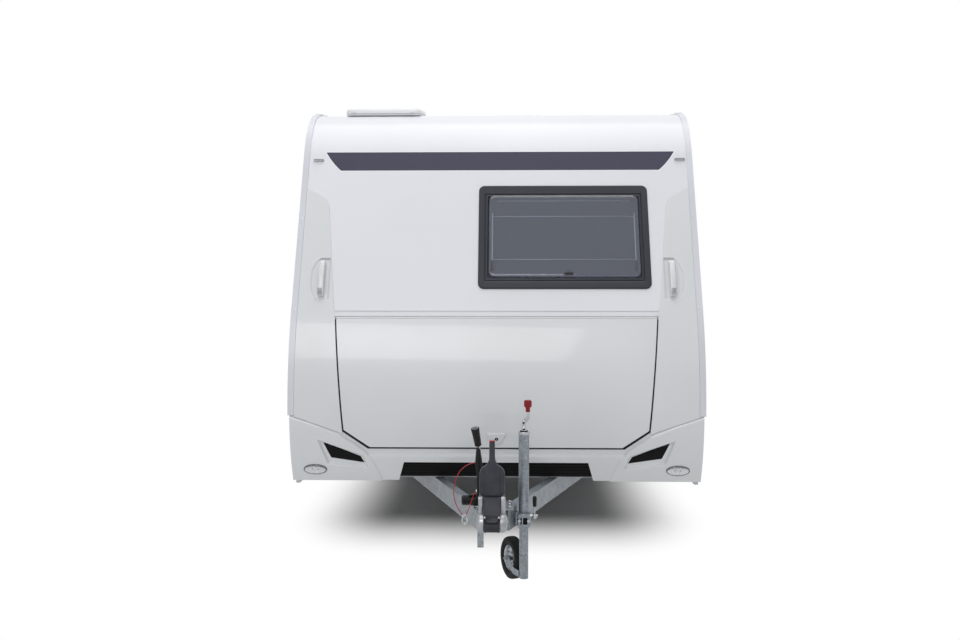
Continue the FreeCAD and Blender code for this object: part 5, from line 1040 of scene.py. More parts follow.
# %% Rail screws and end caps
screws, caps = bmesh.new(), bmesh.new()
for side in (-1, 1):
    for z in (1.262, 1.75):
        add_to(screws, disc(0.0042, 1.0 * MM, side * 1.055, z, 0.4, 12, 0.0))
    add_to(caps, bar((0.034, 0.060, 0.010), 3),
           Matrix.Translation((side * 1.058, NOSE_Y + 0.90, 2.3905)) @ rotation(9.5, "X"))
keep(screws, "rail_screws", stay_metal)
keep(caps, "rail_caps", rail_white)
print("rail screws and caps made")

# %% Grey lines of painted shade along the edges of the trim rail above the lid
rail_shade_lines = bmesh.new()
SHADE_LINE_PROUD = 2.0 * MM
for z, tall in ((1.2490, 1.5), (1.2215, 2.5)):
    bm = outline_face(rect(-0.845, z, 0.845, z + tall * MM))
    add_to(rail_shade_lines, onto_front(thicken(bm, 1.0 * MM), SHADE_LINE_PROUD))
keep(rail_shade_lines, "trim_rail_joints", rib_grey)
print("trim rail joints made")

# %% [markdown]
# ## Rooflights
# A rooflight is a shallow opal acrylic dome on a white frame, closed by small catches. It is built
# from a rounded square that is inset as it rises, which gives the rolled shoulder of a blown dome.

# %% Rooflights
opals, bases, seals, catches = bmesh.new(), bmesh.new(), bmesh.new(), bmesh.new()
CROWN_Y, CROWN_Z, CROWN_R = NOSE_Y + 1.7447, -3.550, 6.0   # the roof's arc, 6 m in radius
FLAT = rotation(-90, "X")
for x, d, half_x, half_y in ((-0.668, 1.020, 0.216, 0.216), (0.0, 3.150, 0.350, 0.250)):
    y = NOSE_Y + d
    tilt = math.asin(max(0, CROWN_Y - y) / CROWN_R)
    matrix = Matrix.Translation((x, y + SKIN * math.sin(tilt),
                                 CROWN_Z + (CROWN_R - SKIN) * math.cos(tilt))) @ Matrix.Rotation(tilt, 4, "X")
    add_to(bases, section(half_x, half_y, 0.03, [(0, 0), (0.5, 11), (3, 13), (40, 13), (42, 0)]),
           matrix @ FLAT)
    add_to(seals, section(half_x + 0.003, half_y + 0.003, 0.036, [(0, 11), (0, 14), (6, 14)]), matrix @ FLAT)
    dome = [(0, 13.8), (0.5, 22), (3, 29), (8, 34), (17, 37.5), (40, 39), (100, 39.8)]
    add_to(opals, section(half_x + 0.004, half_y + 0.004, 0.044, dome, True), matrix @ FLAT)
    for place in (0.6, -0.6):
        add_to(catches, bar((0.022, 0.010, 0.008), 2),
               matrix @ Matrix.Translation((half_x * place * 1.3, -half_y - 0.004, 0.016)))
keep(bases, "rooflight_frames", abs_white)
keep(seals, "rooflight_seals", rail_white)
keep(opals, "rooflight_domes", opal_acrylic, replaces=["rooflights"], sharp=60)
keep(catches, "rooflight_catches", rail_white)
print("rooflights made")

# %% [markdown]
# ## Coupling
# The towing end is a crowd of small castings and pressings. Round parts are turned, which means that
# a profile is spun about an axis; flat parts are plates, drawn as an outline, thickened and with
# their edges rounded. A stabilising coupling grips the ball between two friction pads. Each sits
# under a domed metal cap, and a rubber bump stop closes the nose between them.

# %% Turned parts and plates
def turned(profile, sides=32):
    """Spin a profile of (radius, height) in millimetres about Z into a closed round part."""
    bm = bmesh.new()
    verts = [bm.verts.new((r * MM, 0, h * MM)) for r, h in profile]
    edges = [bm.edges.new(pair) for pair in zip(verts, verts[1:])]
    bmesh.ops.spin(bm, geom=verts + edges, cent=(0, 0, 0), axis=(0, 0, 1), angle=2 * math.pi,
                   steps=sides, use_merge=True)
    bmesh.ops.remove_doubles(bm, verts=bm.verts[:], dist=0.00001)
    return bm


def plate(corners, thick, edge=1.5, rounding=0.0):
    """A plate facing -Y from corners (across, up) in millimetres, centred on its thickness."""
    bm = thicken(outline_face([(x * MM, z * MM) for x, z in corners], rounding * MM, 4), thick * MM,
                 edge * MM, 3)
    open_edges = [e for e in bm.edges if e.is_boundary]
    if open_edges:
        bmesh.ops.edgeloop_fill(bm, edges=open_edges)
    return slide(bm, (0, thick / 2 * MM, 0))


def stud(radius, shoulder, tip, height, sides):
    """A bolt head or pin, straight up to its shoulder and narrower at its tip, in millimetres."""
    return turned([(0, 0), (radius, 0), (radius, shoulder), (tip, height), (0, height)], sides)


def rod(radius, low, high, sides):
    """A plain round bar between two heights in millimetres."""
    return turned(rect(0, low, radius, high), sides)


def mirrored(half):
    """A whole outline from its right half, listed upwards."""
    return half + [(-x, z) for x, z in reversed(half)]


def at(x, behind, z):
    """A place, measured backwards from the nose."""
    return Vector((x, NOSE_Y + behind, z))


def spot(x, behind, z):
    """The matrix that carries a piece there."""
    return Matrix.Translation(at(x, behind, z))


def along(start, end):
    """A matrix that lays a turned part's axis from one point to another."""
    return Matrix.Translation(start) @ (end - start).to_track_quat("Z", "Y").to_matrix().to_4x4()


SIDEWAYS = rotation(90, "Z")       # a plate's across now runs to the rear
TO_RIGHT = rotation(90, "Y")       # a turned part's axis now runs along +X
FORWARD = rotation(90, "X")        # and here along -Y
BALL_D, BALL_Z = -1.150, 0.420
print("ball centre", tuple(round(c, 3) for c in at(0, BALL_D, BALL_Z)))

# %% Coupling head, caps and bump stop
def by_ball(x, y, z):
    """The matrix that carries a piece beside the middle of the ball, in millimetres."""
    return Matrix.Translation(at(0, BALL_D, BALL_Z) + Vector((x, y, z)) * MM)


head = bmesh.new()
SHELL = [(-8, -22), (60, -22), (80, -30), (130, -30), (130, 32), (34, 50), (4, 42), (-8, 20)]
add_to(head, plate(SHELL, 64, 6, 5), by_ball(0, 0, 0) @ SIDEWAYS)
for x in (-24, 0, 24):
    add_to(head, plate([(20, 38), (126, 26), (126, 36), (34, 56)], 5, 1.2), by_ball(x, 0, 0) @ SIDEWAYS)
for side in (-1, 1):
    for y, z in ((98, 4), (116, -14)):
        add_to(head, stud(9, 6, 7.5, 8, 6), by_ball(side * 32, y, z) @ rotation(90 * side, "Y"))
keep(head, "coupling_shell", cast_zinc, replaces=["coupling_head"])
caps = bmesh.new()
CAP = [(20, 33), (37, 33), (39, 35), (39.5, 44), (38, 52), (34, 58), (31, 60), (29, 60), (28, 62),
       (15, 64), (13, 62.5), (12, 58), (0, 58)]
for side in (-1, 1):
    add_to(caps, turned(CAP, 40), by_ball(0, 0, 0) @ rotation(90 * side, "Y"))
    add_to(caps, plate([(-14, 18), (14, 18), (15, 60), (10, 96), (-4, 108), (-12, 100)], 17, 4, 4),
           by_ball(side * 47, 14, 0) @ SIDEWAYS)
die_cast = surface("die_cast_aluminium", "#A6A8AB", "#929599", 25, (0.34, 0.48), 1.4, 0.12, Metallic=0.85)
keep(caps, "friction_caps", die_cast)
stop = bmesh.new()
NOSE = [(12, -32), (21, -32), (22, -30), (22, -24), (20.5, -22.5),
        (20.5, 22.5), (22, 24), (22, 30), (21, 32), (12, 32)]
add_to(stop, turned(NOSE, 36), by_ball(0, -21.5, -13.5) @ TO_RIGHT)
add_to(stop, plate(rect(-31, -18, 31, 34), 22, 4), by_ball(0, -20, 2))
keep(stop, "bump_stop", stop_rubber)
print("coupling head made")

# %% [markdown]
# ## Coupling handle
# The handle is a tall charcoal shell with rounded shoulders. A raised centre panel runs up it into a
# narrow stem, a seam divides its lower cover, and a thin red line ends the stem: the mark that shows
# when the pads are worn. It is built in layers, each an outline with a rounded edge.

# %% Coupling handle
HANDLE = [(34, 98), (50, 104), (53, 116), (53, 194), (49, 208),
          (39, 220), (22, 232), (14, 246), (12, 262), (11.5, 328.5)]
PANEL = [(27, 106), (31, 114), (31, 204), (28, 216), (15, 236), (10.5, 252), (9, 325.5)]
COVER = [(19, 5), (25, 13), (33, 30), (37, 52), (39, 92), (38, 101)]
layers = bmesh.new()
place = at(0, -1.0975, BALL_Z)
add_to(layers, plate(mirrored(HANDLE), 36, 9), Matrix.Translation(place))
add_to(layers, plate(mirrored(PANEL), 34, 2.5), Matrix.Translation(place + Vector((0, -0.0050, 0))))
bm = plate(mirrored(COVER), 34, 5)
for v in bm.verts:      # the cover leans forwards over the bump stop
    v.co.y -= 0.070 * ease(0.105 - v.co.z, 0.075)
slide(bm, place + Vector((0, -0.0020, 0)))
keep(bm, "handle_cover", charcoal_nylon)
for side in (-1, 1):
    add_to(layers, plate([(36, 128), (46, 136), (46, 204), (36, 222)], 34, 1.5, 3),
           Matrix.Translation(place + Vector((0, -0.0012, 0))) @ Matrix.Scale(side, 4, (1, 0, 0)))
keep(layers, "handle_layers", charcoal_nylon, replaces=["coupling_handle"])
keep(slide(bar((0.0235, 0.030, 0.003), 0.8), at(0, -1.0985, 0.7500)), "wear_mark", tip_red)
pins = bmesh.new()
for side in (-1, 1):
    add_to(pins, stud(5, 3, 3.5, 4.5, 6), spot(side * 0.029, -1.1895, 0.4505) @ FORWARD)
keep(pins, "handle_pins", zinc_plate)
print("coupling handle made")

# %% [markdown]
# ## Gaiter and overrun gear
# Behind the head a steel tube slides in the housing when the car slows down, and that pushes the
# trailer's brakes on. A rubber gaiter with deep folds keeps its grease clean. The housing is bolted
# to the drawbars through its plate.

# %% Gaiter and bolts
folds = [(25.5, -1.022), (30, -1.022)]
for index in range(8):
    folds += [(37, -1.014 + index * 0.0145), (28.5, -1.007 + index * 0.0145)]
folds += [(37, -0.902), (37, -0.895), (25.5, -0.895)]
bm = carry(turned([(r, d * 1000) for r, d in folds], 36), FLAT)
keep(slide(bm, (0, NOSE_Y, BALL_Z)), "gaiter", black_rubber, sharp=60)
bolts = bmesh.new()
for x in (-0.072, 0.072):
    for d in (-0.665, -0.605, -0.545):
        add_to(bolts, stud(9, 5.5, 8, 7, 6), spot(x, d, 0.383))
for d in (-0.84, -0.76):
    add_to(bolts, turned([(0, 0), (5, 0), (5, 5), (3, 6), (3, 10), (0, 11)], 12), spot(0, d, 0.4648))
add_to(bolts, stud(9, 5.5, 8, 7, 6), spot(-0.062, -0.712, 0.372) @ TO_RIGHT.inverted())
keep(bolts, "housing_bolts", zinc_plate)
print("gaiter and bolts made")

# %% [markdown]
# ## Handbrake
# The lever is a steel blade in a black plastic cover. A short bright neck joins it to a grip that
# leans forwards and ends in a release button. The breakaway cable is hooked into two eyes on it.

# %% Handbrake
BLADE = [(-26, 410), (22, 410), (24, 470), (12, 640), (6, 668), (-10, 668), (-14, 640), (-22, 470)]
keep(carry(plate(BLADE, 10, 1.5, 4), spot(-0.068, -0.745, 0) @ SIDEWAYS), "brake_blade", black_plastic,
     replaces=["handbrake_lever"])
SLEEVE = [(-76.5, 664), (-81.5, 604), (-77, 562), (-71, 528), (-64, 516), (-54, 532), (-46, 562),
          (-50.5, 606), (-59.5, 664)]
keep(slide(plate(list(reversed(SLEEVE)), 30, 5, 3), at(0, -0.747, 0)), "brake_cover", black_plastic)
GRIP_LOW, GRIP_TOP = at(-0.0678, -0.745, 0.676), at(-0.0815, -0.770, 0.758)
GRIP = [(0, 0), (13, 0), (15, 2), (15.5, 8), (15, 14), (16, 18), (15.2, 24), (16.4, 28), (15.6, 34),
        (16.8, 38), (16, 44), (17.2, 48), (16.4, 54), (17.6, 58), (17, 64), (18, 70), (18.8, 80),
        (18.5, 85), (16, 87), (13.5, 86), (12.5, 80), (0, 80)]
keep(carry(turned(GRIP, 28), along(GRIP_LOW, GRIP_TOP)), "brake_grip", grip_foam, sharp=60)
for name, profile, plastic in (("release_button", [(0, 78), (9, 78), (9, 84), (7.5, 85.5), (0, 85.5)],
                                charcoal_nylon),
                               ("button_ring", [(10, 79), (12.8, 81), (13.6, 86.6), (11.6, 86.8), (10, 84)],
                                rib_grey)):
    keep(carry(turned(profile, 24), along(GRIP_LOW, GRIP_TOP)), name, plastic)
neck = bmesh.new()
add_to(neck, turned([(0, -16), (8, -16), (7, -4), (7, 4), (0, 4)], 20), along(GRIP_LOW, GRIP_TOP))
for d, z in ((-0.742, 0.600), (-0.746, 0.473)):
    add_to(neck, turned([(4, 0), (7.5, 0), (7.5, 3), (5, 5), (2.6, 6), (2.6, 0)], 20),
           spot(-0.0735, d, z) @ TO_RIGHT.inverted())
keep(neck, "brake_neck", zinc_plate)
print("handbrake made")

# %% [markdown]
# ## Parked plug
# When the caravan stands alone its 13-pin plug is pushed into a dummy socket beside the coupling.
# Plug and socket are black, with finger ribs round them and a hinged flap on top.

# %% Parked plug
PLUG = [(0, 0), (15, 0), (20, 2), (23, 7), (23, 11), (21.5, 12.5), (23, 14), (23, 18), (21.5, 19.5), (23, 21),
        (23, 25), (21.5, 26.5), (23, 28), (23, 34), (20.5, 36), (20.5, 40), (24, 42), (24.5, 47), (24.5, 70),
        (22, 76), (12, 78), (0, 78)]
plug = bmesh.new()
add_to(plug, turned(PLUG, 32), spot(-0.146, -0.660, 0.414) @ TO_RIGHT)
add_to(plug, bar((0.036, 0.030, 0.005), 1.5), spot(-0.096, -0.664, 0.4405) @ rotation(-7, "Y"))
add_to(plug, plate(rect(-28, -26, 28, 26), 5, 1.5, 6), spot(-0.0695, -0.660, 0.416) @ SIDEWAYS)
keep(plug, "plug_and_socket", black_plastic, replaces=["parked_plug"])
print("parked plug made")

# %% [markdown]
# ## Breakaway clip
# The cable's free bight carries a snap hook of bent wire with a small sprung gate.

# %% Breakaway clip
HOOK = [(-124, 766, 366), (-117, 766, 362), (-114, 766, 350), (-116, 766, 336), (-124, 766, 328),
        (-134, 766, 329), (-140, 766, 338), (-139, 766, 352), (-134, 766, 363), (-127, 766, 367)]
hook = nurbs("snap_hook", [Vector((x * MM, NOSE_Y - ahead * MM, z * MM)) for x, ahead, z in HOOK], 2.6 * MM)
hook.data.materials.append(zinc_plate)
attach(hook, "caravan")
clip_low, clip_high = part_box("breakaway_clip")
print("clip box", [round(c, 3) for c in (*clip_low, *clip_high)])

# %% [markdown]
# ## Jockey wheel post
# The post is a galvanised tube held in a split clamp. Turning the crank on top drives a screw that
# slides the inner tube. The crank is bent strip with pinned joints, its knob is a dark red plastic
# head with eight flats, and the clamp closes with a bolt that has a black-gripped lever.

# %% Post, screw head and crank
POST_X, POST_D = 0.1375, -0.570
post = spot(POST_X, POST_D, 0)
keep(carry(turned([(21.6, 268), (23.6, 268), (24, 269), (24, 704), (21.6, 704)], 40), post), "jockey_post",
     galvanised, replaces=["jockey_outer_tube"])
crank = bmesh.new()
add_to(crank, turned([(22, 702), (25.4, 702), (25.4, 713), (24.4, 715), (17, 716), (15, 718), (15, 714),
                      (0, 714)], 40), post)
add_to(crank, turned([(0, 713), (11, 713), (11, 734), (9, 737), (7.5, 739), (7.5, 742), (9, 744),
                      (9, 766), (6.5, 770), (0, 770)], 24), post)
add_to(crank, plate([(-7, 752), (6, 750), (26, 774), (26, 808), (13, 808), (13, 786), (-7, 768)], 12, 2, 2),
       spot(POST_X, POST_D, 0))
keep(crank, "crank_and_collar", zinc_plate)
# a dark ring and two dark plugs paint the shade in the gap round the screw head and in two holes in its face
hole_shade = bmesh.new()
add_to(hole_shade, turned([(11.4, 715), (19, 716.2), (19, 719.5), (11.4, 719.5)], 24), post)
for z, x in ((727, 0), (756, -1)):
    add_to(hole_shade, rod(5.0, 0, 5, 16), spot(POST_X + x * MM, POST_D - 0.0062, z * MM) @ FORWARD)
keep(hole_shade, "screw_holes", black_and_painted_shade)
KNOB = [(0, 806), (9.5, 806), (11, 808), (11, 824), (14, 828), (18.6, 832), (19, 836), (19, 853),
        (17.5, 858.5), (14, 860.8), (0, 860.8)]
bm = carry(turned(KNOB, 8), rotation(22.5, "Z"))
keep(slide(bm, at(0.1555, POST_D, 0)), "crank_knob", knob_red, sharp=25)
print("jockey post and crank made")

# %% Clamp
clamp = bmesh.new()
COLLAR = [(24.4, 280), (31.5, 280), (33, 281.5), (33, 338.5), (31.5, 340), (24.4, 340)]
add_to(clamp, turned(COLLAR, 40), post)
for x in (-21, 21):
    add_to(clamp, bar((0.011, 0.030, 0.054), 2), spot(POST_X + x * MM, POST_D - 0.026, 0.310))
add_to(clamp, bar((0.056, 0.006, 0.016), 1.5), spot(POST_X, POST_D - 0.0395, 0.331))
add_to(clamp, bar((0.056, 0.006, 0.010), 1.5), spot(POST_X, POST_D - 0.0395, 0.287))
add_to(clamp, plate([(-58, 282), (-20, 280), (-20, 340), (-46, 342), (-58, 330)], 34, 3, 4),
       spot(POST_X, POST_D + 0.004, 0))
add_to(clamp, bar((0.006, 0.016, 0.040), 1), spot(POST_X - 0.007, POST_D - 0.0350, 0.309))
keep(clamp, "clamp_halves", galvanised, replaces=["jockey_clamp"])
# a black box paints the shade in the split between the clamp's halves
gap = bmesh.new()
add_to(gap, bar((0.030, 0.012, 0.030), 1), spot(POST_X, POST_D - 0.0335, 0.308))
keep(gap, "clamp_mouth", black_and_painted_shade)
screws = bmesh.new()
for x, z in ((-45, 328), (-45, 296), (-21, 310), (21, 310)):
    ahead = 0.012 if x == -45 else 0.040
    add_to(screws, stud(8, 6, 7, 7.5, 6), spot(POST_X + x * MM, POST_D - ahead, z * MM) @ FORWARD)
add_to(screws, stud(6, 40, 5, 41, 16), spot(0.160, -0.590, 0.330) @ TO_RIGHT)
LEVER_TOP, LEVER_LOW = at(0.187, -0.606, 0.424), at(0.187, -0.592, 0.326)
add_to(screws, rod(3.4, 0, 52, 14), along(LEVER_LOW, LEVER_TOP))
add_to(screws, turned([(0, -11), (6, -9.5), (10, -5), (11, 0), (10, 5), (6, 9.5), (0, 11)], 18),
       along(LEVER_LOW, LEVER_TOP))
keep(screws, "clamp_screws", zinc_plate)
keep(carry(turned([(0, 48), (6.5, 48), (8.5, 54), (9.5, 70), (9.5, 88), (8, 95), (4, 98.5), (0, 99)], 20),
           along(LEVER_LOW, LEVER_TOP)), "clamp_grip", grip_foam)
print("jockey clamp made")

# %% [markdown]
# ## Wheels
# A tyre is a ring with the same section all round, so its section is drawn once and spun. The
# grooves round the tread are part of the section. The cross grooves are cut afterwards: the faces of
# the shoulders are inset and sunk, one in every few. The steel rim is spun in the same way, and its
# ventilation holes are groups of faces that are inset and opened.

# %% Tyre and rim
def mirror_section(half):
    """The whole section of a tyre from its half (across, radius), listed from bead to middle."""
    return [(r, -w) for w, r in half] + [(r, w) for w, r in reversed(half) if w]


def sector(face, steps):
    """How far out a face of a spun part lies, and which of its steps it belongs to."""
    middle = face.calc_center_median()
    turns = math.atan2(middle.y, middle.x) / (2 * math.pi)
    return middle.to_2d().length, int(round(turns * steps - 0.5)) % steps


def tyre(half, steps, every, sink, tread_from):
    """Spin a tyre about Z and sink cross grooves into the faces beyond tread_from across."""
    bm = turned(mirror_section(half), steps)
    bmesh.ops.recalc_face_normals(bm, faces=bm.faces[:])
    shoulder = []
    for face in bm.faces:
        out, turn = sector(face, steps)
        if out > tread_from * MM and turn % every == 0 and face.calc_area() > 30e-6:
            shoulder.append(face)
    if sink:
        bmesh.ops.inset_individual(bm, faces=shoulder, thickness=0.0006, depth=-sink * MM)
    return bm


def rim(profile, steps, holes, wide, low, high):
    """Spin a rim about Z and open holes through the faces whose middle lies between two radii."""
    bm = turned(profile, steps)
    bmesh.ops.recalc_face_normals(bm, faces=bm.faces[:])
    per = steps // holes
    for index in range(holes):
        group = []
        for face in bm.faces:
            out, turn = sector(face, steps)
            if low * MM < out < high * MM and index * per <= turn < index * per + wide:
                group.append(face)
        bmesh.ops.inset_region(bm, faces=group, thickness=2.5 * MM, depth=-3 * MM)
        bmesh.ops.delete(bm, geom=group, context="FACES")
    return bm


TYRE = [(62, 189), (69, 193), (79, 214), (86.5, 246), (86, 272), (80, 293), (72, 304), (64, 308.5),
        (52, 310), (50.5, 303.5), (45, 303.5), (43.5, 310.8), (19, 311.8), (17.5, 304.5), (11, 304.5),
        (9.5, 312), (0, 312)]
RIM = [(196, -64), (199, -60), (190, -56), (181, -30), (176, 10), (178, 36), (170, 27), (150, 30), (118, 36),
       (82, 38), (70, 30), (58, 24), (44, 30), (30, 34), (22, 33), (0, 33)]
RIM_BACK = [(176, 10), (172, 22), (150, 25), (118, 31), (82, 33), (60, 19), (0, 19)]
wheel_low, wheel_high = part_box("left_tyre")
AXLE_Y, AXLE_Z = (wheel_low.y + wheel_high.y) / 2, (wheel_low.z + wheel_high.z) / 2
for side, name in ((1, "left"), (-1, "right")):
    hub = Matrix.Translation((side * 0.930, AXLE_Y, AXLE_Z)) @ rotation(90 * side, "Y")
    keep(carry(tyre(TYRE, 120, 2, 3.5, 300), hub), name + "_tyre_tread", tyre_rubber, name + "_wheel",
         32, replaces=[name + "_tyre"])
    steel = bmesh.new()
    add_to(steel, rim(RIM + list(reversed(RIM_BACK))[1:], 96, 12, 5, 120, 148), hub)
    add_to(steel, turned([(181, -56), (172, -56), (170, -30), (166, 8), (176, 10)], 64), hub)
    add_to(steel, rod(62, 19, -20, 40), hub)
    paint = surface(name + "_silver_painted_rim", "#B9BCC0", "#AEB1B5", 60, (0.3, 0.42), 1.2, 0.08,
                    Metallic=0.6)
    keep(steel, name + "_steel_rim", paint, name + "_wheel", replaces=[name + "_rim"])
    nuts = bmesh.new()
    for index in range(5):
        place = hub @ rotation(72 * index, "Z") @ Matrix.Translation((0.056, 0, 0.024))
        add_to(nuts, turned([(0, 0), (10, 0), (9.5, 9), (8, 14), (0, 15)], 6), place)
    keep(nuts, name + "_wheel_bolts", zinc_plate, name + "_wheel")
    keep(carry(turned([(0, 30), (28, 30), (31, 33), (31, 41), (27, 46), (18, 48.5), (0, 49)], 32), hub),
         name + "_hub_cap", black_plastic, name + "_wheel")
print("main wheels made")

# %% [markdown]
# ## Jockey wheel and fork
# The small wheel has a solid rubber tyre on a pressed rim with five openings. Two curved plates
# carry it behind the foot of the tube, so that it trails and finds its own way.

# %% Jockey wheel and fork
SMALL = [(17, 60), (20, 62), (23.5, 70), (25, 82), (24, 91), (20, 97), (13, 99.3), (0, 100)]
SMALL_RIM = [(60, -18), (57, -19), (53, -14), (51, -4), (51, 6), (54, 14), (57.5, 19), (59, 18.5), (61, 16)]
SMALL_DISH = [(52, 4), (47, 8), (40, 10), (26, 11), (20, 15), (13, 17), (13, 22), (7, 22), (7, -22),
              (13, -22), (13, -4), (26, -1), (40, 2), (47, 1), (52, -3)]
swivel = at(POST_X, POST_D, 0)
fork = Matrix.Translation(swivel) @ rotation(113.3, "Z")      # the way the wheel trails
AXLE_BACK, AXLE_UP = 0.130, 0.100
wheel = fork @ Matrix.Translation((AXLE_BACK, 0, AXLE_UP)) @ FORWARD.inverted()
keep(carry(tyre(SMALL, 72, 2, 0, 200), wheel), "small_tyre", tyre_rubber, "jockey_wheel", 50,
     replaces=["jockey_tyre"])
small = bmesh.new()
add_to(small, turned(SMALL_RIM, 48), wheel)
add_to(small, rim(SMALL_DISH, 60, 5, 7, 27, 46), wheel)
zinc_flaked = surface("zinc_flaked_rim", "#B5BABF", "#9EA3A8", 14, (0.3, 0.45), 1.2, 0.1, Metallic=0.8)
keep(small, "small_rim", zinc_flaked, "jockey_wheel", replaces=["jockey_rim"])
sleeve = bmesh.new()
add_to(sleeve, turned([(0, 34), (20, 34), (21, 36), (21, 144), (19.6, 145), (19.6, 148), (21, 149), (21, 164),
                       (19.8, 165), (19.8, 168), (17, 168)], 36), Matrix.Translation(swivel))
ARM = [(6, 42), (20, 40), (48, 44), (84, 62), (112, 80), (136, 82), (147, 96), (143, 110), (128, 116),
       (108, 112), (78, 96), (48, 76), (20, 70), (6, 68)]
for side in (-1, 1):
    bm = slice_up(plate(ARM, 4, 1, 3), 0.010, axis=0)
    for v in bm.verts:      # the arms close in on the sleeve
        v.co.y -= side * 0.0085 * (1 - ease(v.co.x - 0.012, 0.045))
    add_to(sleeve, bm, fork @ Matrix.Translation((0, side * 0.0310, 0)))
add_to(sleeve, bar((0.022, 0.046, 0.005), 1.5), fork @ Matrix.Translation((0.012, 0, 0.0435)))
add_to(sleeve, bar((0.022, 0.046, 0.004), 1.5), fork @ Matrix.Translation((0.014, 0, 0.068)))
keep(sleeve, "fork_and_sleeve", galvanised, "jockey_swivel", replaces=["jockey_fork"])
axle_nuts = bmesh.new()
for side in (-1, 1):
    turn = fork @ Matrix.Translation((AXLE_BACK, side * 0.0325, AXLE_UP)) @ rotation(-90 * side, "X")
    add_to(axle_nuts, turned([(0, 0), (9.5, 0), (9.5, 7), (8, 8.5), (5, 8.5), (5, 12), (0, 12)], 6), turn)
keep(axle_nuts, "axle_nuts", zinc_plate, "jockey_swivel")
print("jockey wheel made")

# %% [markdown]
# ## Door side
# The entry door is a white skin with two pressed panels. It has its own small window in a frame, a
# paddle handle with a lock, and a rubber seal in its gap. Beside it is the hatch to the toilet
# cassette, closed by two round push locks. Higher up are the awning lamp and two louvred vents for
# the fridge. A piece on a wall is drawn facing -Y and then turned to face that wall's way.

# %% Places on the walls
def on_door_side(behind, z, proud=0.0):
    """The matrix for a piece on the wall with the door; the next two are for the other walls."""
    return upright((-WALL_X - proud, NOSE_Y + behind, z), -90)


def on_bed_side(behind, z, proud=0.0):
    return upright((WALL_X + proud, NOSE_Y + behind, z), 90)


def on_rear(x, z, proud=0.0):
    return upright((x, REAR_Y + proud, z), 180)


def frame_ring(half_x, half_z, radius, wide, out, edge=1.5):
    """A flat rounded ring of a given width that stands out by so many millimetres."""
    return section(half_x, half_z, radius, [(0, 0), (0, out - edge), (edge, out), (wide - edge, out),
                                            (wide, out - edge), (wide, 0)])


def moved(x, z, y=0.0):
    """A step across and up from the middle of a piece, and inwards from its face."""
    return Matrix.Translation((x, y, z))


DOOR_MID, DOOR_Z, WINDOW_UP = 1.426, 1.285, 0.325
HATCH_MID, HATCH_Z = 0.826, 0.645
HOLE = (0.0, WINDOW_UP, 0.166, 0.281, 0.052)
print("door middle", DOOR_MID, DOOR_Z)

# %% Door skin and hatch skin
bm = loft([(*HOLE, -29), (*HOLE, 2.0), (0.0, WINDOW_UP, 0.168, 0.283, 0.054, 3.5),
           (0, 0, 0.295, 0.836, 0.062, 3.5), (0, 0, 0.298, 0.839, 0.065, 1.0),
           (0, 0, 0.298, 0.839, 0.065, -29), (*HOLE, -29)])
for half_x, half_z, middle in ((0.235, 0.150, -0.640), (0.235, 0.190, -0.240)):
    add_to(bm, section(half_x, half_z, 0.030, [(0, 3), (3, 4.3), (8, 4.3), (11, 3)]), moved(0, middle))
carry(bm, on_door_side(DOOR_MID, DOOR_Z))
keep(bm, "door_skin", enamel_white, "entry_door_body", replaces=["entry_door"])
bm = section(0.188, 0.159, 0.030, [(0, -29), (0, 1), (2.5, 3.5), (14, 3.5), (17, 2.4), (60, 2.4)], True)
carry(bm, on_door_side(HATCH_MID, HATCH_Z))
keep(bm, "hatch_skin", enamel_white, "toilet_hatch_body", replaces=["toilet_hatch"])
print("door and hatch skins made")

# %% Door window, seal, handle and lock
place = on_door_side(DOOR_MID, DOOR_Z + WINDOW_UP)
bm = section(0.190, 0.306, 0.075, [(0, 3), (0, 5), (3, 8.5), (18, 9.6), (22, 7), (30, 5), (31, 0)])
keep(carry(bm, place), "door_window_frame", frame_black, "entry_door_body")
bm = section(0.164, 0.279, 0.050, [(0, 0), (0, 4), (3, 6), (30, 7)], True)
keep(carry(bm, place), "door_acrylic", tinted_acrylic, "entry_door_body", replaces=["entry_door_pane"])
seals, LIP = bmesh.new(), [(0, -2), (0, 1.2), (8, 1.2), (8, -2)]
add_to(seals, section(0.3055, 0.8465, 0.072, LIP), on_door_side(DOOR_MID, DOOR_Z))
add_to(seals, section(0.1955, 0.1665, 0.036, LIP), on_door_side(HATCH_MID, HATCH_Z))
keep(seals, "door_and_hatch_seals", black_rubber)
HANDLE_PLACE = on_door_side(1.672, 1.180, 0.0033)
catch = bmesh.new()
add_to(catch, section(0.036, 0.062, 0.014, [(0, 0), (0, 2), (2, 3.6), (7, 3.6), (9, 2.0), (30, 1.2)], True),
       HANDLE_PLACE)
add_to(catch, plate(rect(-24, -8, 24, 38), 4.4, 1.8, 6), HANDLE_PLACE @ moved(0, 0.004, -0.0042))
keep(catch, "door_handle", black_plastic, "entry_door_body")
keep(carry(stud(8.5, 4.8, 7, 6.0, 24), HANDLE_PLACE @ moved(0, -0.034) @ FORWARD), "door_lock", zinc_plate,
     "entry_door_body")
locks = bmesh.new()
for side in (-1, 1):
    add_to(locks, turned([(0, 0), (15, 0), (15, 4), (13, 6), (6, 6.4), (0, 6.4)], 28),
           on_door_side(HATCH_MID + side * 0.11, 0.755, 0.002) @ FORWARD)
keep(locks, "hatch_locks", black_plastic, "toilet_hatch_body")
strip = bmesh.new()
add_to(strip, bar((0.002, 0.001, 0.009), 0.3), HANDLE_PLACE @ moved(0, -0.034, -0.0061))
add_to(strip, plate(rect(-250, -12, 250, 12), 3, 1, 5), on_door_side(DOOR_MID, 0.474, 0.0045))
keep(strip, "door_kick_strip", black_plastic, "entry_door_body")
print("door fittings made")

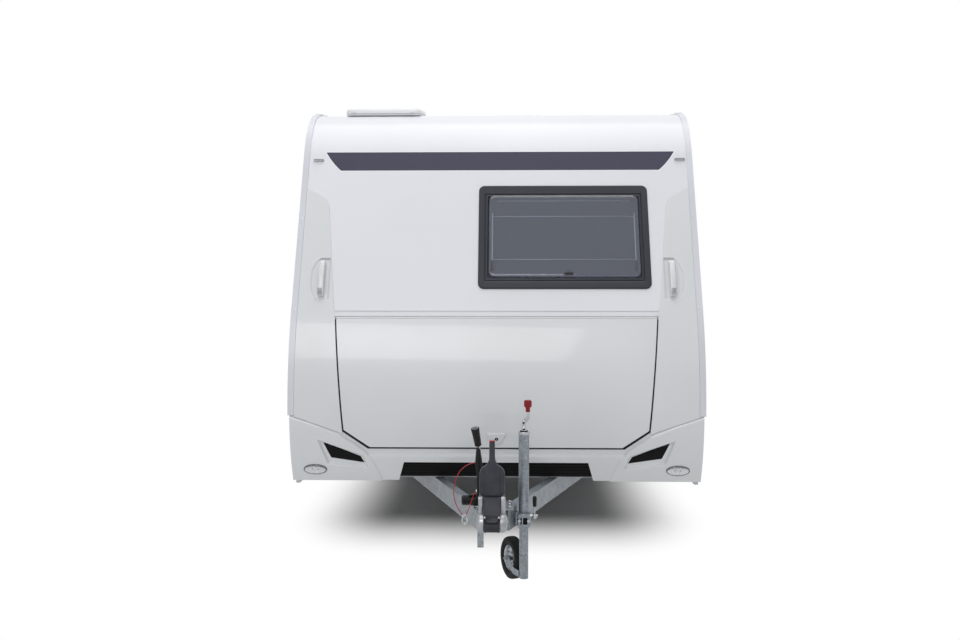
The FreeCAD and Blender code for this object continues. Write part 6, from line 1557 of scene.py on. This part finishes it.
# %% Fridge vents and awning lamp
vents, slats, dark = bmesh.new(), bmesh.new(), bmesh.new()
for z in (0.870, 1.230):
    place = on_door_side(2.130, z)
    add_to(vents, frame_ring(0.215, 0.085, 0.016, 16, 6), place)
    add_to(dark, plate(rect(-205, -75, 205, 75), 1.0, 0.3, 6), place @ moved(0, 0, -0.0006))
    for index in range(7):
        lift = -0.060 + index * 0.020
        add_to(slats, bar((0.392, 0.0030, 0.0115), 0.8), place @ moved(0, lift, -0.0042) @ rotation(28, "X"))
keep(vents, "fridge_vent_frames", abs_white)
keep(slats, "fridge_vent_slats", abs_white)
# the black plates paint the shade behind the slats
keep(dark, "fridge_vent_depth", black_and_painted_shade)
place = on_door_side(DOOR_MID, 2.215)
bm = section(0.150, 0.028, 0.012, [(0, 0), (0, 5), (3, 7.5), (12, 8.6)], True)
keep(carry(bm, place), "awning_lamp_lens", opal_acrylic)
bm = section(0.156, 0.034, 0.014, [(0, 0), (0, 2.5), (1, 3), (30, 3)], True)
keep(carry(bm, place), "awning_lamp_base", rail_white)
print("vents and awning lamp made")

# %% [markdown]
# ## Bed side
# The other long wall carries the mains inlet and the water filler, both under small flaps, and the
# wheel arches on both sides are edged with a white moulding. Small amber lamps mark the length.

# %% Flaps, arch trims and side markers
flaps, flap_locks = bmesh.new(), bmesh.new()
for behind, z, half_x, half_z in ((2.930, 0.640, 0.070, 0.075), (3.300, 0.640, 0.062, 0.062)):
    place = on_bed_side(behind, z)
    add_to(flaps, frame_ring(half_x, half_z, 0.016, 12, 5), place)
    add_to(flaps, section(half_x - 0.013, half_z - 0.013, 0.010, [(0, 0), (0, 3), (2, 4.6), (30, 5.2)], True),
           place)
    add_to(flap_locks, stud(7, 6, 6, 7, 20), place @ moved(0, -half_z + 0.028) @ FORWARD)
keep(flaps, "service_flaps", abs_white)
keep(flap_locks, "service_flap_locks", zinc_plate)
arches = bmesh.new()
for side in (-1, 1):
    bm = bmesh.new()
    loop = [(0.370, 0), (0.370, 0.007), (0.374, 0.009), (0.394, 0.008), (0.400, 0.004), (0.400, 0)]
    first = math.radians(14)
    verts = [bm.verts.new((out, r * math.cos(first), r * math.sin(first))) for r, out in loop]
    face = bm.faces.new(verts)
    bmesh.ops.spin(bm, geom=[face] + list(face.edges) + verts, cent=(0, 0, 0), axis=(1, 0, 0),
                   angle=math.radians(152), steps=56)
    add_to(arches, bm, Matrix.Translation((side * 1.0645, AXLE_Y, AXLE_Z)) @ Matrix.Scale(side, 4, (1, 0, 0)))
keep(arches, "wheel_arch_trims", abs_white)
ambers, amber_feet = bmesh.new(), bmesh.new()
for behind in (0.820, 1.600, 3.000, 3.900):
    for place in (on_door_side(behind, 0.4420), on_bed_side(behind, 0.4420)):
        add_to(ambers, section(0.031, 0.0105, 0.006, [(0, 2), (0, 5), (2, 7), (8, 8)], True), place)
        add_to(amber_feet, section(0.036, 0.014, 0.008, [(0, 0), (0, 2), (1, 3), (12, 3)], True), place)
keep(ambers, "side_marker_lenses", amber_lens)
keep(amber_feet, "side_marker_feet", black_plastic)
print("bed side made")

# %% [markdown]
# ## Rear
# Each tail lamp is a black housing with four lenses, one above the other: red, amber, clear and red
# again. Every trailer also has two red triangular reflectors. The number plate is blank and its two
# small lamps look down on it from the bumper's recess. A grab bow at each side helps to push.

# %% Tail lamps and reflectors
LAMP_MID_X, LAMP_MID_Z = 0.950, 0.731
housing = bmesh.new()
lenses = {red_lens: bmesh.new(), amber_lens: bmesh.new(), clear_lens: bmesh.new()}
for side in (-1, 1):
    place = on_rear(side * LAMP_MID_X, LAMP_MID_Z)
    add_to(housing, section(0.060, 0.150, 0.018, [(0, 0), (0, 12), (3, 15), (6, 16), (40, 16)], True), place)
    for low, high, glass in ((-0.144, -0.090, red_lens), (-0.086, -0.034, clear_lens),
                             (-0.030, 0.040, amber_lens), (0.044, 0.144, red_lens)):
        add_to(lenses[glass], section(0.054, (high - low) / 2, 0.012,
                                      [(0, 14), (0, 22), (3, 27), (14, 30.5), (24, 31.5)], True),
               place @ moved(0, (low + high) / 2))
keep(housing, "tail_lamp_housings", black_plastic, replaces=["tail_lamps"])
for glass, bm in lenses.items():
    keep(bm, "tail_" + glass.name.split("_")[0] + "_lenses", glass)
prisms, prism_frames = bmesh.new(), bmesh.new()
TRIANGLE = [(-75, 0), (75, 0), (0, 130)]
for side in (-1, 1):
    place = on_rear(side * 0.775, 0.600)
    add_to(prism_frames, plate(TRIANGLE, 7, 1.5, 6), place @ moved(0, 0, -0.003))
    add_to(prisms, plate([(x * 0.82, 12 + z * 0.80) for x, z in TRIANGLE], 3, 1, 5),
           place @ moved(0, 0, -0.0068))
for x, z in ((-0.955, 2.020), (0.955, 2.020)):
    add_to(prisms, section(0.034, 0.010, 0.006, [(0, 2), (0, 6), (2, 8), (8, 9)], True), on_rear(x, z))
    add_to(prism_frames, section(0.039, 0.014, 0.008, [(0, 0), (0, 2.5), (1, 3), (12, 3)], True),
           on_rear(x, z))
keep(prisms, "rear_reflectors", red_lens)
keep(prism_frames, "rear_reflector_frames", frame_black)
print("tail lamps made")

# %% Number plate, its lamps, and the rear grab bows
plate_white = surface("retroreflective_sheet", "#E4E4DE", "#DCDCD6", 12, (0.35, 0.5), 2.0, 0.05)
keep(carry(section(0.255, 0.0340, 0.006, [(0, 0), (0, 1.5), (1, 2), (3, 2), (3.5, 1.5), (30, 1.5)], True),
           on_rear(0, 0.4645, 0.0405)), "blank_number_plate", plate_white)
small = bmesh.new()
for x in (-0.150, 0.150):
    add_to(small, section(0.024, 0.0065, 0.003, [(0, 0), (0, 4), (1.5, 6), (6, 6)], True),
           on_rear(x, 0.5065, 0.0405))
keep(small, "plate_lamps", black_plastic)
BOW_LINE = [(-0.002, 0), (-0.030, 0.004), (-0.038, 0.045), (-0.038, 0.155), (-0.030, 0.196),
            (-0.002, 0.200)]
rear_bows, bow_feet = bmesh.new(), bmesh.new()
for side in (-1, 1):
    line = nurbs("bow_line", [Vector((0, y, z)) for y, z in BOW_LINE], 9 * MM, 10)
    mesh = bpy.data.meshes.new_from_object(line)
    bpy.data.objects.remove(line)
    bm = bmesh.new()
    bm.from_mesh(mesh)
    bpy.data.meshes.remove(mesh)
    add_to(rear_bows, bm, on_rear(side * 0.900, 0.960))
    for z in (0, 0.200):
        add_to(bow_feet, section(0.016, 0.022, 0.010, [(0, 0), (0, 3), (3, 6), (10, 7)], True),
               on_rear(side * 0.900, 0.960 + z))
keep(rear_bows, "rear_grab_bows", abs_white)
keep(bow_feet, "rear_bow_feet", abs_white)
print("rear made")

# %% [markdown]
# ## Roof cowl and brake rod
# A small mushroom cowl on the roof lets the heater's exhaust out. Under the floor a brake rod runs
# from the overrun housing back to a balance bar at the axle, where two rods pull the brakes.

# %% Cowl and rod
COWL = [(0, 0), (46, 0), (46, 4), (30, 6), (30, 16), (44, 17), (46, 21), (40, 26), (22, 29), (0, 30)]
keep(slide(turned(COWL, 36), at(0.700, 2.450, 2.4425)), "flue_cowl", abs_white)
rods = bmesh.new()
add_to(rods, rod(5, 0, 2620, 16), along(at(0, -0.520, 0.345), at(0, 2.100, 0.318)))
for d in (0.30, 1.10, 1.80):
    add_to(rods, bar((0.030, 0.006, 0.075), 1.5), spot(0, d, 0.3655))
add_to(rods, bar((0.180, 0.010, 0.022), 2), spot(0, 2.070, 0.318))
for side in (-1, 1):
    add_to(rods, rod(3, 0, 700, 12), along(at(side * 0.080, 2.075, 0.318), at(side * 0.780, 2.280, 0.300)))
keep(rods, "brake_rod", galvanised)
print("cowl and brake rod made")

# %% [markdown]
# ## Cabin furniture
# Through the windows and the open door the cabin shows: a kitchen with hob, sink and tap, drawers
# under the bed and a washroom door. Furniture fronts are thin boards with rounded edges and metal
# bow handles; each is drawn flat and turned to face the aisle.

# %% Fronts and handles
def board_front(pile, handles, place, half_x, half_z, grip=0.0):
    """A furniture front, and its handle as high above the middle as grip says."""
    add_to(pile, section(half_x, half_z, 0.012, [(0, 0), (0, 11), (2, 13), (60, 13)], True), place)
    for x in (-0.050, 0.050):
        add_to(handles, bar((0.008, 0.026, 0.008), 1.5), place @ moved(x, grip, -0.025))
    add_to(handles, bar((0.130, 0.007, 0.012), 2.5), place @ moved(0, grip, -0.037))


fronts, handles = bmesh.new(), bmesh.new()
kitchen_low, kitchen_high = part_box("kitchen_unit")
for middle in (1.955, 2.255, 2.550):
    for z, half_z, grip in ((0.800, 0.290, 0.240), (1.215, 0.100, 0.030)):
        board_front(fronts, handles, upright((kitchen_high.x, NOSE_Y + middle, z), 90), 0.138, half_z, grip)
bed_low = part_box("bed_base")[0]
for middle in (0.905, 1.560):
    board_front(fronts, handles, upright((bed_low.x, NOSE_Y + middle, 0.655), -90), 0.310, 0.170, 0.100)
wash_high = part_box("washroom_walls")[1]
board_front(fronts, handles, upright((wash_high.x, NOSE_Y + 0.815, 1.290), 90), 0.235, 0.800, -0.040)
keep(fronts, "furniture_fronts", oak_film)
keep(handles, "furniture_handles", zinc_plate)
print("furniture fronts made")

# %% Worktop, sink, tap and hob
worktop = bmesh.new()
mid_x, mid_d, top_z = (kitchen_low.x + kitchen_high.x) / 2, 2.250, kitchen_high.z
add_to(worktop, bar((kitchen_high.x - kitchen_low.x + 0.010, 0.920, 0.020), 4, 3),
       spot(mid_x + 0.006, mid_d, top_z + 0.0095))
keep(worktop, "worktop", worktop_film)
steel = bmesh.new()
add_to(steel, turned([(0, 1), (110, 1), (150, 4), (158, 7), (172, 7), (176, 3), (176, 0)], 48),
       spot(mid_x - 0.010, 2.010, top_z + 0.020))
add_to(steel, turned([(0, 0), (16, 0), (16, 12), (12, 16), (12, 40), (0, 40)], 24),
       spot(mid_x - 0.215, 2.010, top_z + 0.020))
stainless = surface("brushed_stainless", "#B9BCBF", "#A9ACB0", 30, (0.24, 0.34), 1.0, 0.04, Metallic=1.0)
keep(steel, "sink_and_tap_base", stainless)
SPOUT = [(0, 0.055), (0, 0.100), (0, 0.160), (0.010, 0.200), (0.060, 0.220), (0.110, 0.205), (0.125, 0.165),
         (0.127, 0.140)]
spout = nurbs("tap_spout", [at(mid_x - 0.215 + x, 2.010, top_z + z) for x, z in SPOUT], 8 * MM)
spout.data.materials.append(chrome)
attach(spout, "caravan")
hob = bmesh.new()
add_to(hob, section(0.230, 0.200, 0.020, [(0, 0), (0, 5), (1.5, 6.5), (60, 6.5)], True),
       spot(mid_x, 2.450, top_z + 0.0195) @ FLAT)
keep(hob, "hob_glass", surface("black_ceramic_glass", "#0F1012", "#141517", 40, (0.05, 0.1), 3, 0.01, 1.52))
burners = bmesh.new()
for x, d in ((-0.110, 2.380), (0.110, 2.400), (0.000, 2.560)):
    place = spot(mid_x + x, d, top_z + 0.026)
    add_to(burners, turned([(0, 0), (34, 0), (34, 6), (26, 9), (24, 14), (0, 15)], 28), place)
    for turn in (0, 90):
        add_to(burners, bar((0.120, 0.006, 0.006), 1.5), place @ moved(0, 0.022) @ rotation(turn, "Z"))
keep(burners, "burners", black_plastic)
print("kitchen top made")

# %% [markdown]
# ## Cushions and mattress
# A foam cushion in a sewn cover is a crowned, closed form: the cover is a little small for the foam,
# so its faces swell and its seams stay back. A box that starts slightly small is remeshed into an
# even grid and inflated as cloth, with the pressure holding it and no gravity. Every point may move
# only so far, and nothing may leave the cushion's own room, so it stays flat where it rests.

# %% Inflate a box
def inflated(name, low, high, inset, cap, voxel, material):
    """A cushion between two corners: a smaller box, remeshed, inflated and kept inside its room."""
    bm = bmesh.new()
    bmesh.ops.create_cube(bm, size=1)
    size = [h - l - 2 * i for l, h, i in zip(low, high, inset)]
    middle = [(l + h) / 2 for l, h in zip(low, high)]
    bevel(slide(stretch(bm, size), middle), bm.edges[:], 0.016, 3)
    mesh = bpy.data.meshes.new(name)
    bm.to_mesh(mesh)
    bm.free()
    piece = bpy.data.objects.new(name, mesh)
    bpy.context.scene.collection.objects.link(piece)
    mesh.remesh_voxel_size = voxel
    bpy.context.view_layer.objects.active = piece
    piece.select_set(True)
    bpy.ops.object.voxel_remesh()
    mesh = piece.data
    start = [v.co.copy() for v in mesh.vertices]
    cloth = piece.modifiers.new("cloth", "CLOTH")
    cloth.settings.use_pressure = True
    cloth.settings.uniform_pressure_force = 4
    cloth.settings.effector_weights.gravity = 0
    cloth.settings.quality = 4
    cloth.collision_settings.use_collision = False
    scene = bpy.context.scene
    cloth.point_cache.frame_start, cloth.point_cache.frame_end = 1, 20
    for frame_number in range(1, 21):
        scene.frame_set(frame_number)
    baked = piece.evaluated_get(bpy.context.evaluated_depsgraph_get()).to_mesh()
    moved_to = [v.co.copy() for v in baked.vertices]
    piece.evaluated_get(bpy.context.evaluated_depsgraph_get()).to_mesh_clear()
    piece.modifiers.remove(cloth)
    scene.frame_set(1)
    for vertex, first, last in zip(mesh.vertices, start, moved_to):
        step = last - first
        if step.length > cap:
            step *= cap / step.length
        vertex.co = [min(max(c, l), h) for c, l, h in zip(first + step, low, high)]
    bm = bmesh.new()
    bm.from_mesh(mesh)
    bmesh.ops.smooth_vert(bm, verts=bm.verts[:], factor=0.5, use_axis_x=True, use_axis_y=True,
                          use_axis_z=True)
    bmesh.ops.subdivide_edges(bm, edges=bm.edges[:], cuts=1, use_grid_fill=True, smooth=0.0)
    bmesh.ops.smooth_vert(bm, verts=bm.verts[:], factor=0.5, use_axis_x=True, use_axis_y=True,
                          use_axis_z=True)
    bm.to_mesh(mesh)
    bm.free()
    piece.data.materials.append(material)
    for polygon in piece.data.polygons:
        polygon.use_smooth = True
    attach(piece, "caravan")
    return piece


def piping(name, piece, axis, level, material, radius=0.0045):
    """A round edging sewn on where a plane cuts a cushion: the cut's loop, thinned, as a closed tube."""
    bm = bmesh.new()
    bm.from_mesh(piece.data)
    cut = cut_plane(bm, level, axis, dist=1e-5, clear_inner=True, clear_outer=True)
    links = [e for e in cut["geom_cut"] if isinstance(e, bmesh.types.BMEdge)]
    vert, used, spots = links[0].verts[0], set(), []
    while True:
        spots.append(vert.co.copy())
        onward = [e for e in vert.link_edges if e in links and e not in used]
        if not onward:
            break
        used.add(onward[0])
        vert = onward[0].other_vert(vert)
    bm.free()
    spots = spots[:-1:max(1, len(spots) // 120)]
    tube = nurbs(name, spots, radius, 3)
    tube.data.splines[0].use_cyclic_u = True
    tube.data.materials.append(material)
    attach(tube, "caravan")
    return tube


def crease_along(piece, axis, places, deep, wide=0.010, top_only=2):
    """Press sewn channels into a cushion's upper side where a coordinate meets the given places."""
    ceiling = max(v.co[top_only] for v in piece.data.vertices)
    for vertex in piece.data.vertices:
        near = min(abs(vertex.co[axis] - place) for place in places)
        lift = max(0.0, 1 - (ceiling - vertex.co[top_only]) / 0.045)
        vertex.co[top_only] -= deep * math.exp(-(near / wide) ** 2) * lift


print("cushion helpers ready, quick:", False)

# %% Seats and backs
SEATS = {
    "front_seat_cushion": ((-0.200, 2.674, 0.800), (1.030, 3.140, 0.910)),
    "rear_seat_cushion": ((-0.200, 3.582, 0.800), (1.030, 4.048, 0.910)),
}
BACKS = {
    "front_back_cushion": ((-0.200, 2.560, 0.800), (1.030, 2.670, 1.230)),
    "rear_back_cushion": ((-0.200, 4.052, 0.800), (1.030, 4.162, 1.230)),
}
for name, (low, high) in SEATS.items():
    piece = inflated(name, at(*low), at(*high), (0.014, 0.014, 0.010), 0.024, 0.012, bench_cloth)
    crease_along(piece, 0, (0.210, 0.620), 0.007)
    for tag, z in (("low", 0.818), ("high", 0.892)):
        piping(name + "_piping_" + tag, piece, 2, z, piping_cloth)
    if name.startswith("front"):
        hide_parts("dinette_cushions")
for name, (low, high) in BACKS.items():
    piece = inflated(name, at(*low), at(*high), (0.014, 0.012, 0.014), 0.024, 0.012, bench_cloth)
    for tag, d in (("near", low[1] + 0.018), ("far", high[1] - 0.018)):
        piping(name + "_piping_" + tag, piece, 1, NOSE_Y + d, piping_cloth)
print("dinette cushions made")

# %% Mattress
low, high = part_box("mattress")
mattress = inflated("foam_mattress", low, high, (0.014, 0.014, 0.010), 0.022, 0.014, ticking)
crease_along(mattress, 0, (0.120, 0.300, 0.480, 0.660, 0.840), 0.006, 0.009)
crease_along(mattress, 1, [NOSE_Y + 0.540 + 0.175 * i for i in range(1, 8)], 0.006, 0.009)
for tag, z in (("low", low.z + 0.016), ("high", high.z - 0.018)):
    piping("mattress_piping_" + tag, mattress, 2, z, ticking, 0.004)
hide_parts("mattress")
print("mattress made")

# %% [markdown]
# ## Floor, backdrop and light
# The caravan stands on a plain white floor that runs into a white backdrop. Seen directly or in a
# reflection these are white, while to the rest of the light they are an ordinary pale floor, so that
# the shadow under the caravan stays. A pale sky and two wide soft lamps light it evenly.

# %% Stage
def stage_material(name, tone):
    """A pale floor with its shadows near the caravan, that goes over to plain white further out."""
    material, shader, place = new_material(name, Base_Color=linear(tone), Roughness=0.9)
    rays = add_node(material, "LightPath").outputs
    reach = place
    for operation, values in (("SUBTRACT", [SHADE_MIDDLE]), ("ABSOLUTE", []), ("SUBTRACT", [SHADE_HALF]),
                              ("MAXIMUM", [(0, 0, 0)]), ("MULTIPLY", [SHADE_NARROWS])):
        reach = maths(material, operation, reach, *values, kind="VectorMath")
    far = add_node(material, "VectorMath", {"operation": "LENGTH"}, i0=reach).outputs["Value"]
    fade = add_node(material, "MapRange", {"interpolation_type": "SMOOTHSTEP"}, Value=far, From_Min=0.0,
                    From_Max=SHADE_FADE)
    seen = maths(material, "MULTIPLY", rays["Is Camera Ray"], fade.outputs[0])
    for kind in ("Is Glossy Ray", "Is Transmission Ray"):
        seen = maths(material, "MAXIMUM", seen, rays[kind])
    glow = add_node(material, "Emission", Color=linear("#FFFFFF"), Strength=1.0)
    blend = add_node(material, "MixShader", i0=seen, i1=shader.outputs[0], i2=glow.outputs[0])
    output = [n for n in material.node_tree.nodes if n.type == "OUTPUT_MATERIAL"][0]
    return wire(material, output, Surface=blend.outputs[0])


SHADE_MIDDLE, SHADE_HALF = (0, 0.7, 0), (0.6, 1.2, 9.0)   # the patch of floor that shows the shadow
SHADE_NARROWS = (1.75, 1, 1)       # its soft edge is narrower at the sides
SHADE_FADE = 1.15                   # over this distance the floor goes over to white
FLOOR_HALF = 30.0
bm = bmesh.new()
bmesh.ops.create_grid(bm, x_segments=1, y_segments=1, size=FLOOR_HALF)
floor_mesh = bpy.data.meshes.new("floor")
bm.to_mesh(floor_mesh)
bm.free()
floor = bpy.data.objects.new("floor", floor_mesh)
bpy.context.scene.collection.objects.link(floor)
floor_mesh.materials.append(stage_material("floor_paint", "#EDEDED"))

world = bpy.data.worlds.new("pale_sky")
bpy.context.scene.world = world
world.use_nodes = True
world.node_tree.nodes.clear()
sky = add_node(world, "Background", Color=linear("#FFFFFF"), Strength=0.44)
white = add_node(world, "Background", Color=linear("#FFFFFF"), Strength=1.0)
rays = add_node(world, "LightPath").outputs
seen = maths(world, "MAXIMUM", rays["Is Camera Ray"], rays["Is Transmission Ray"])
seen = maths(world, "MAXIMUM", seen, rays["Is Glossy Ray"])
both = add_node(world, "MixShader", i0=seen, i1=sky.outputs[0], i2=white.outputs[0])
add_node(world, "OutputWorld", Surface=both.outputs[0])
print("world and floor made")

# %% Lamps
def soft_lamp(name, spot, target, size, power):
    """A wide lamp of so many watts that looks at a target."""
    lamp = bpy.data.objects.new(name, bpy.data.lights.new(name, "AREA"))
    lamp.data.shape = "RECTANGLE"
    lamp.data.size, lamp.data.size_y = size
    lamp.data.energy = power
    lamp.location = spot
    lamp.rotation_euler = (Vector(target) - Vector(spot)).to_track_quat("-Z", "Y").to_euler()
    bpy.context.scene.collection.objects.link(lamp)
    return lamp


soft_lamp("top_lamp", (0, -1.0, 7.5), (0, 0.0, 0), (5, 6), 188)
soft_lamp("front_lamp", (-1.5, -9.0, 5.5), (0, -1.5, 1.3), (5, 3), 176)
scene = bpy.context.scene
scene.view_settings.view_transform = "Standard"
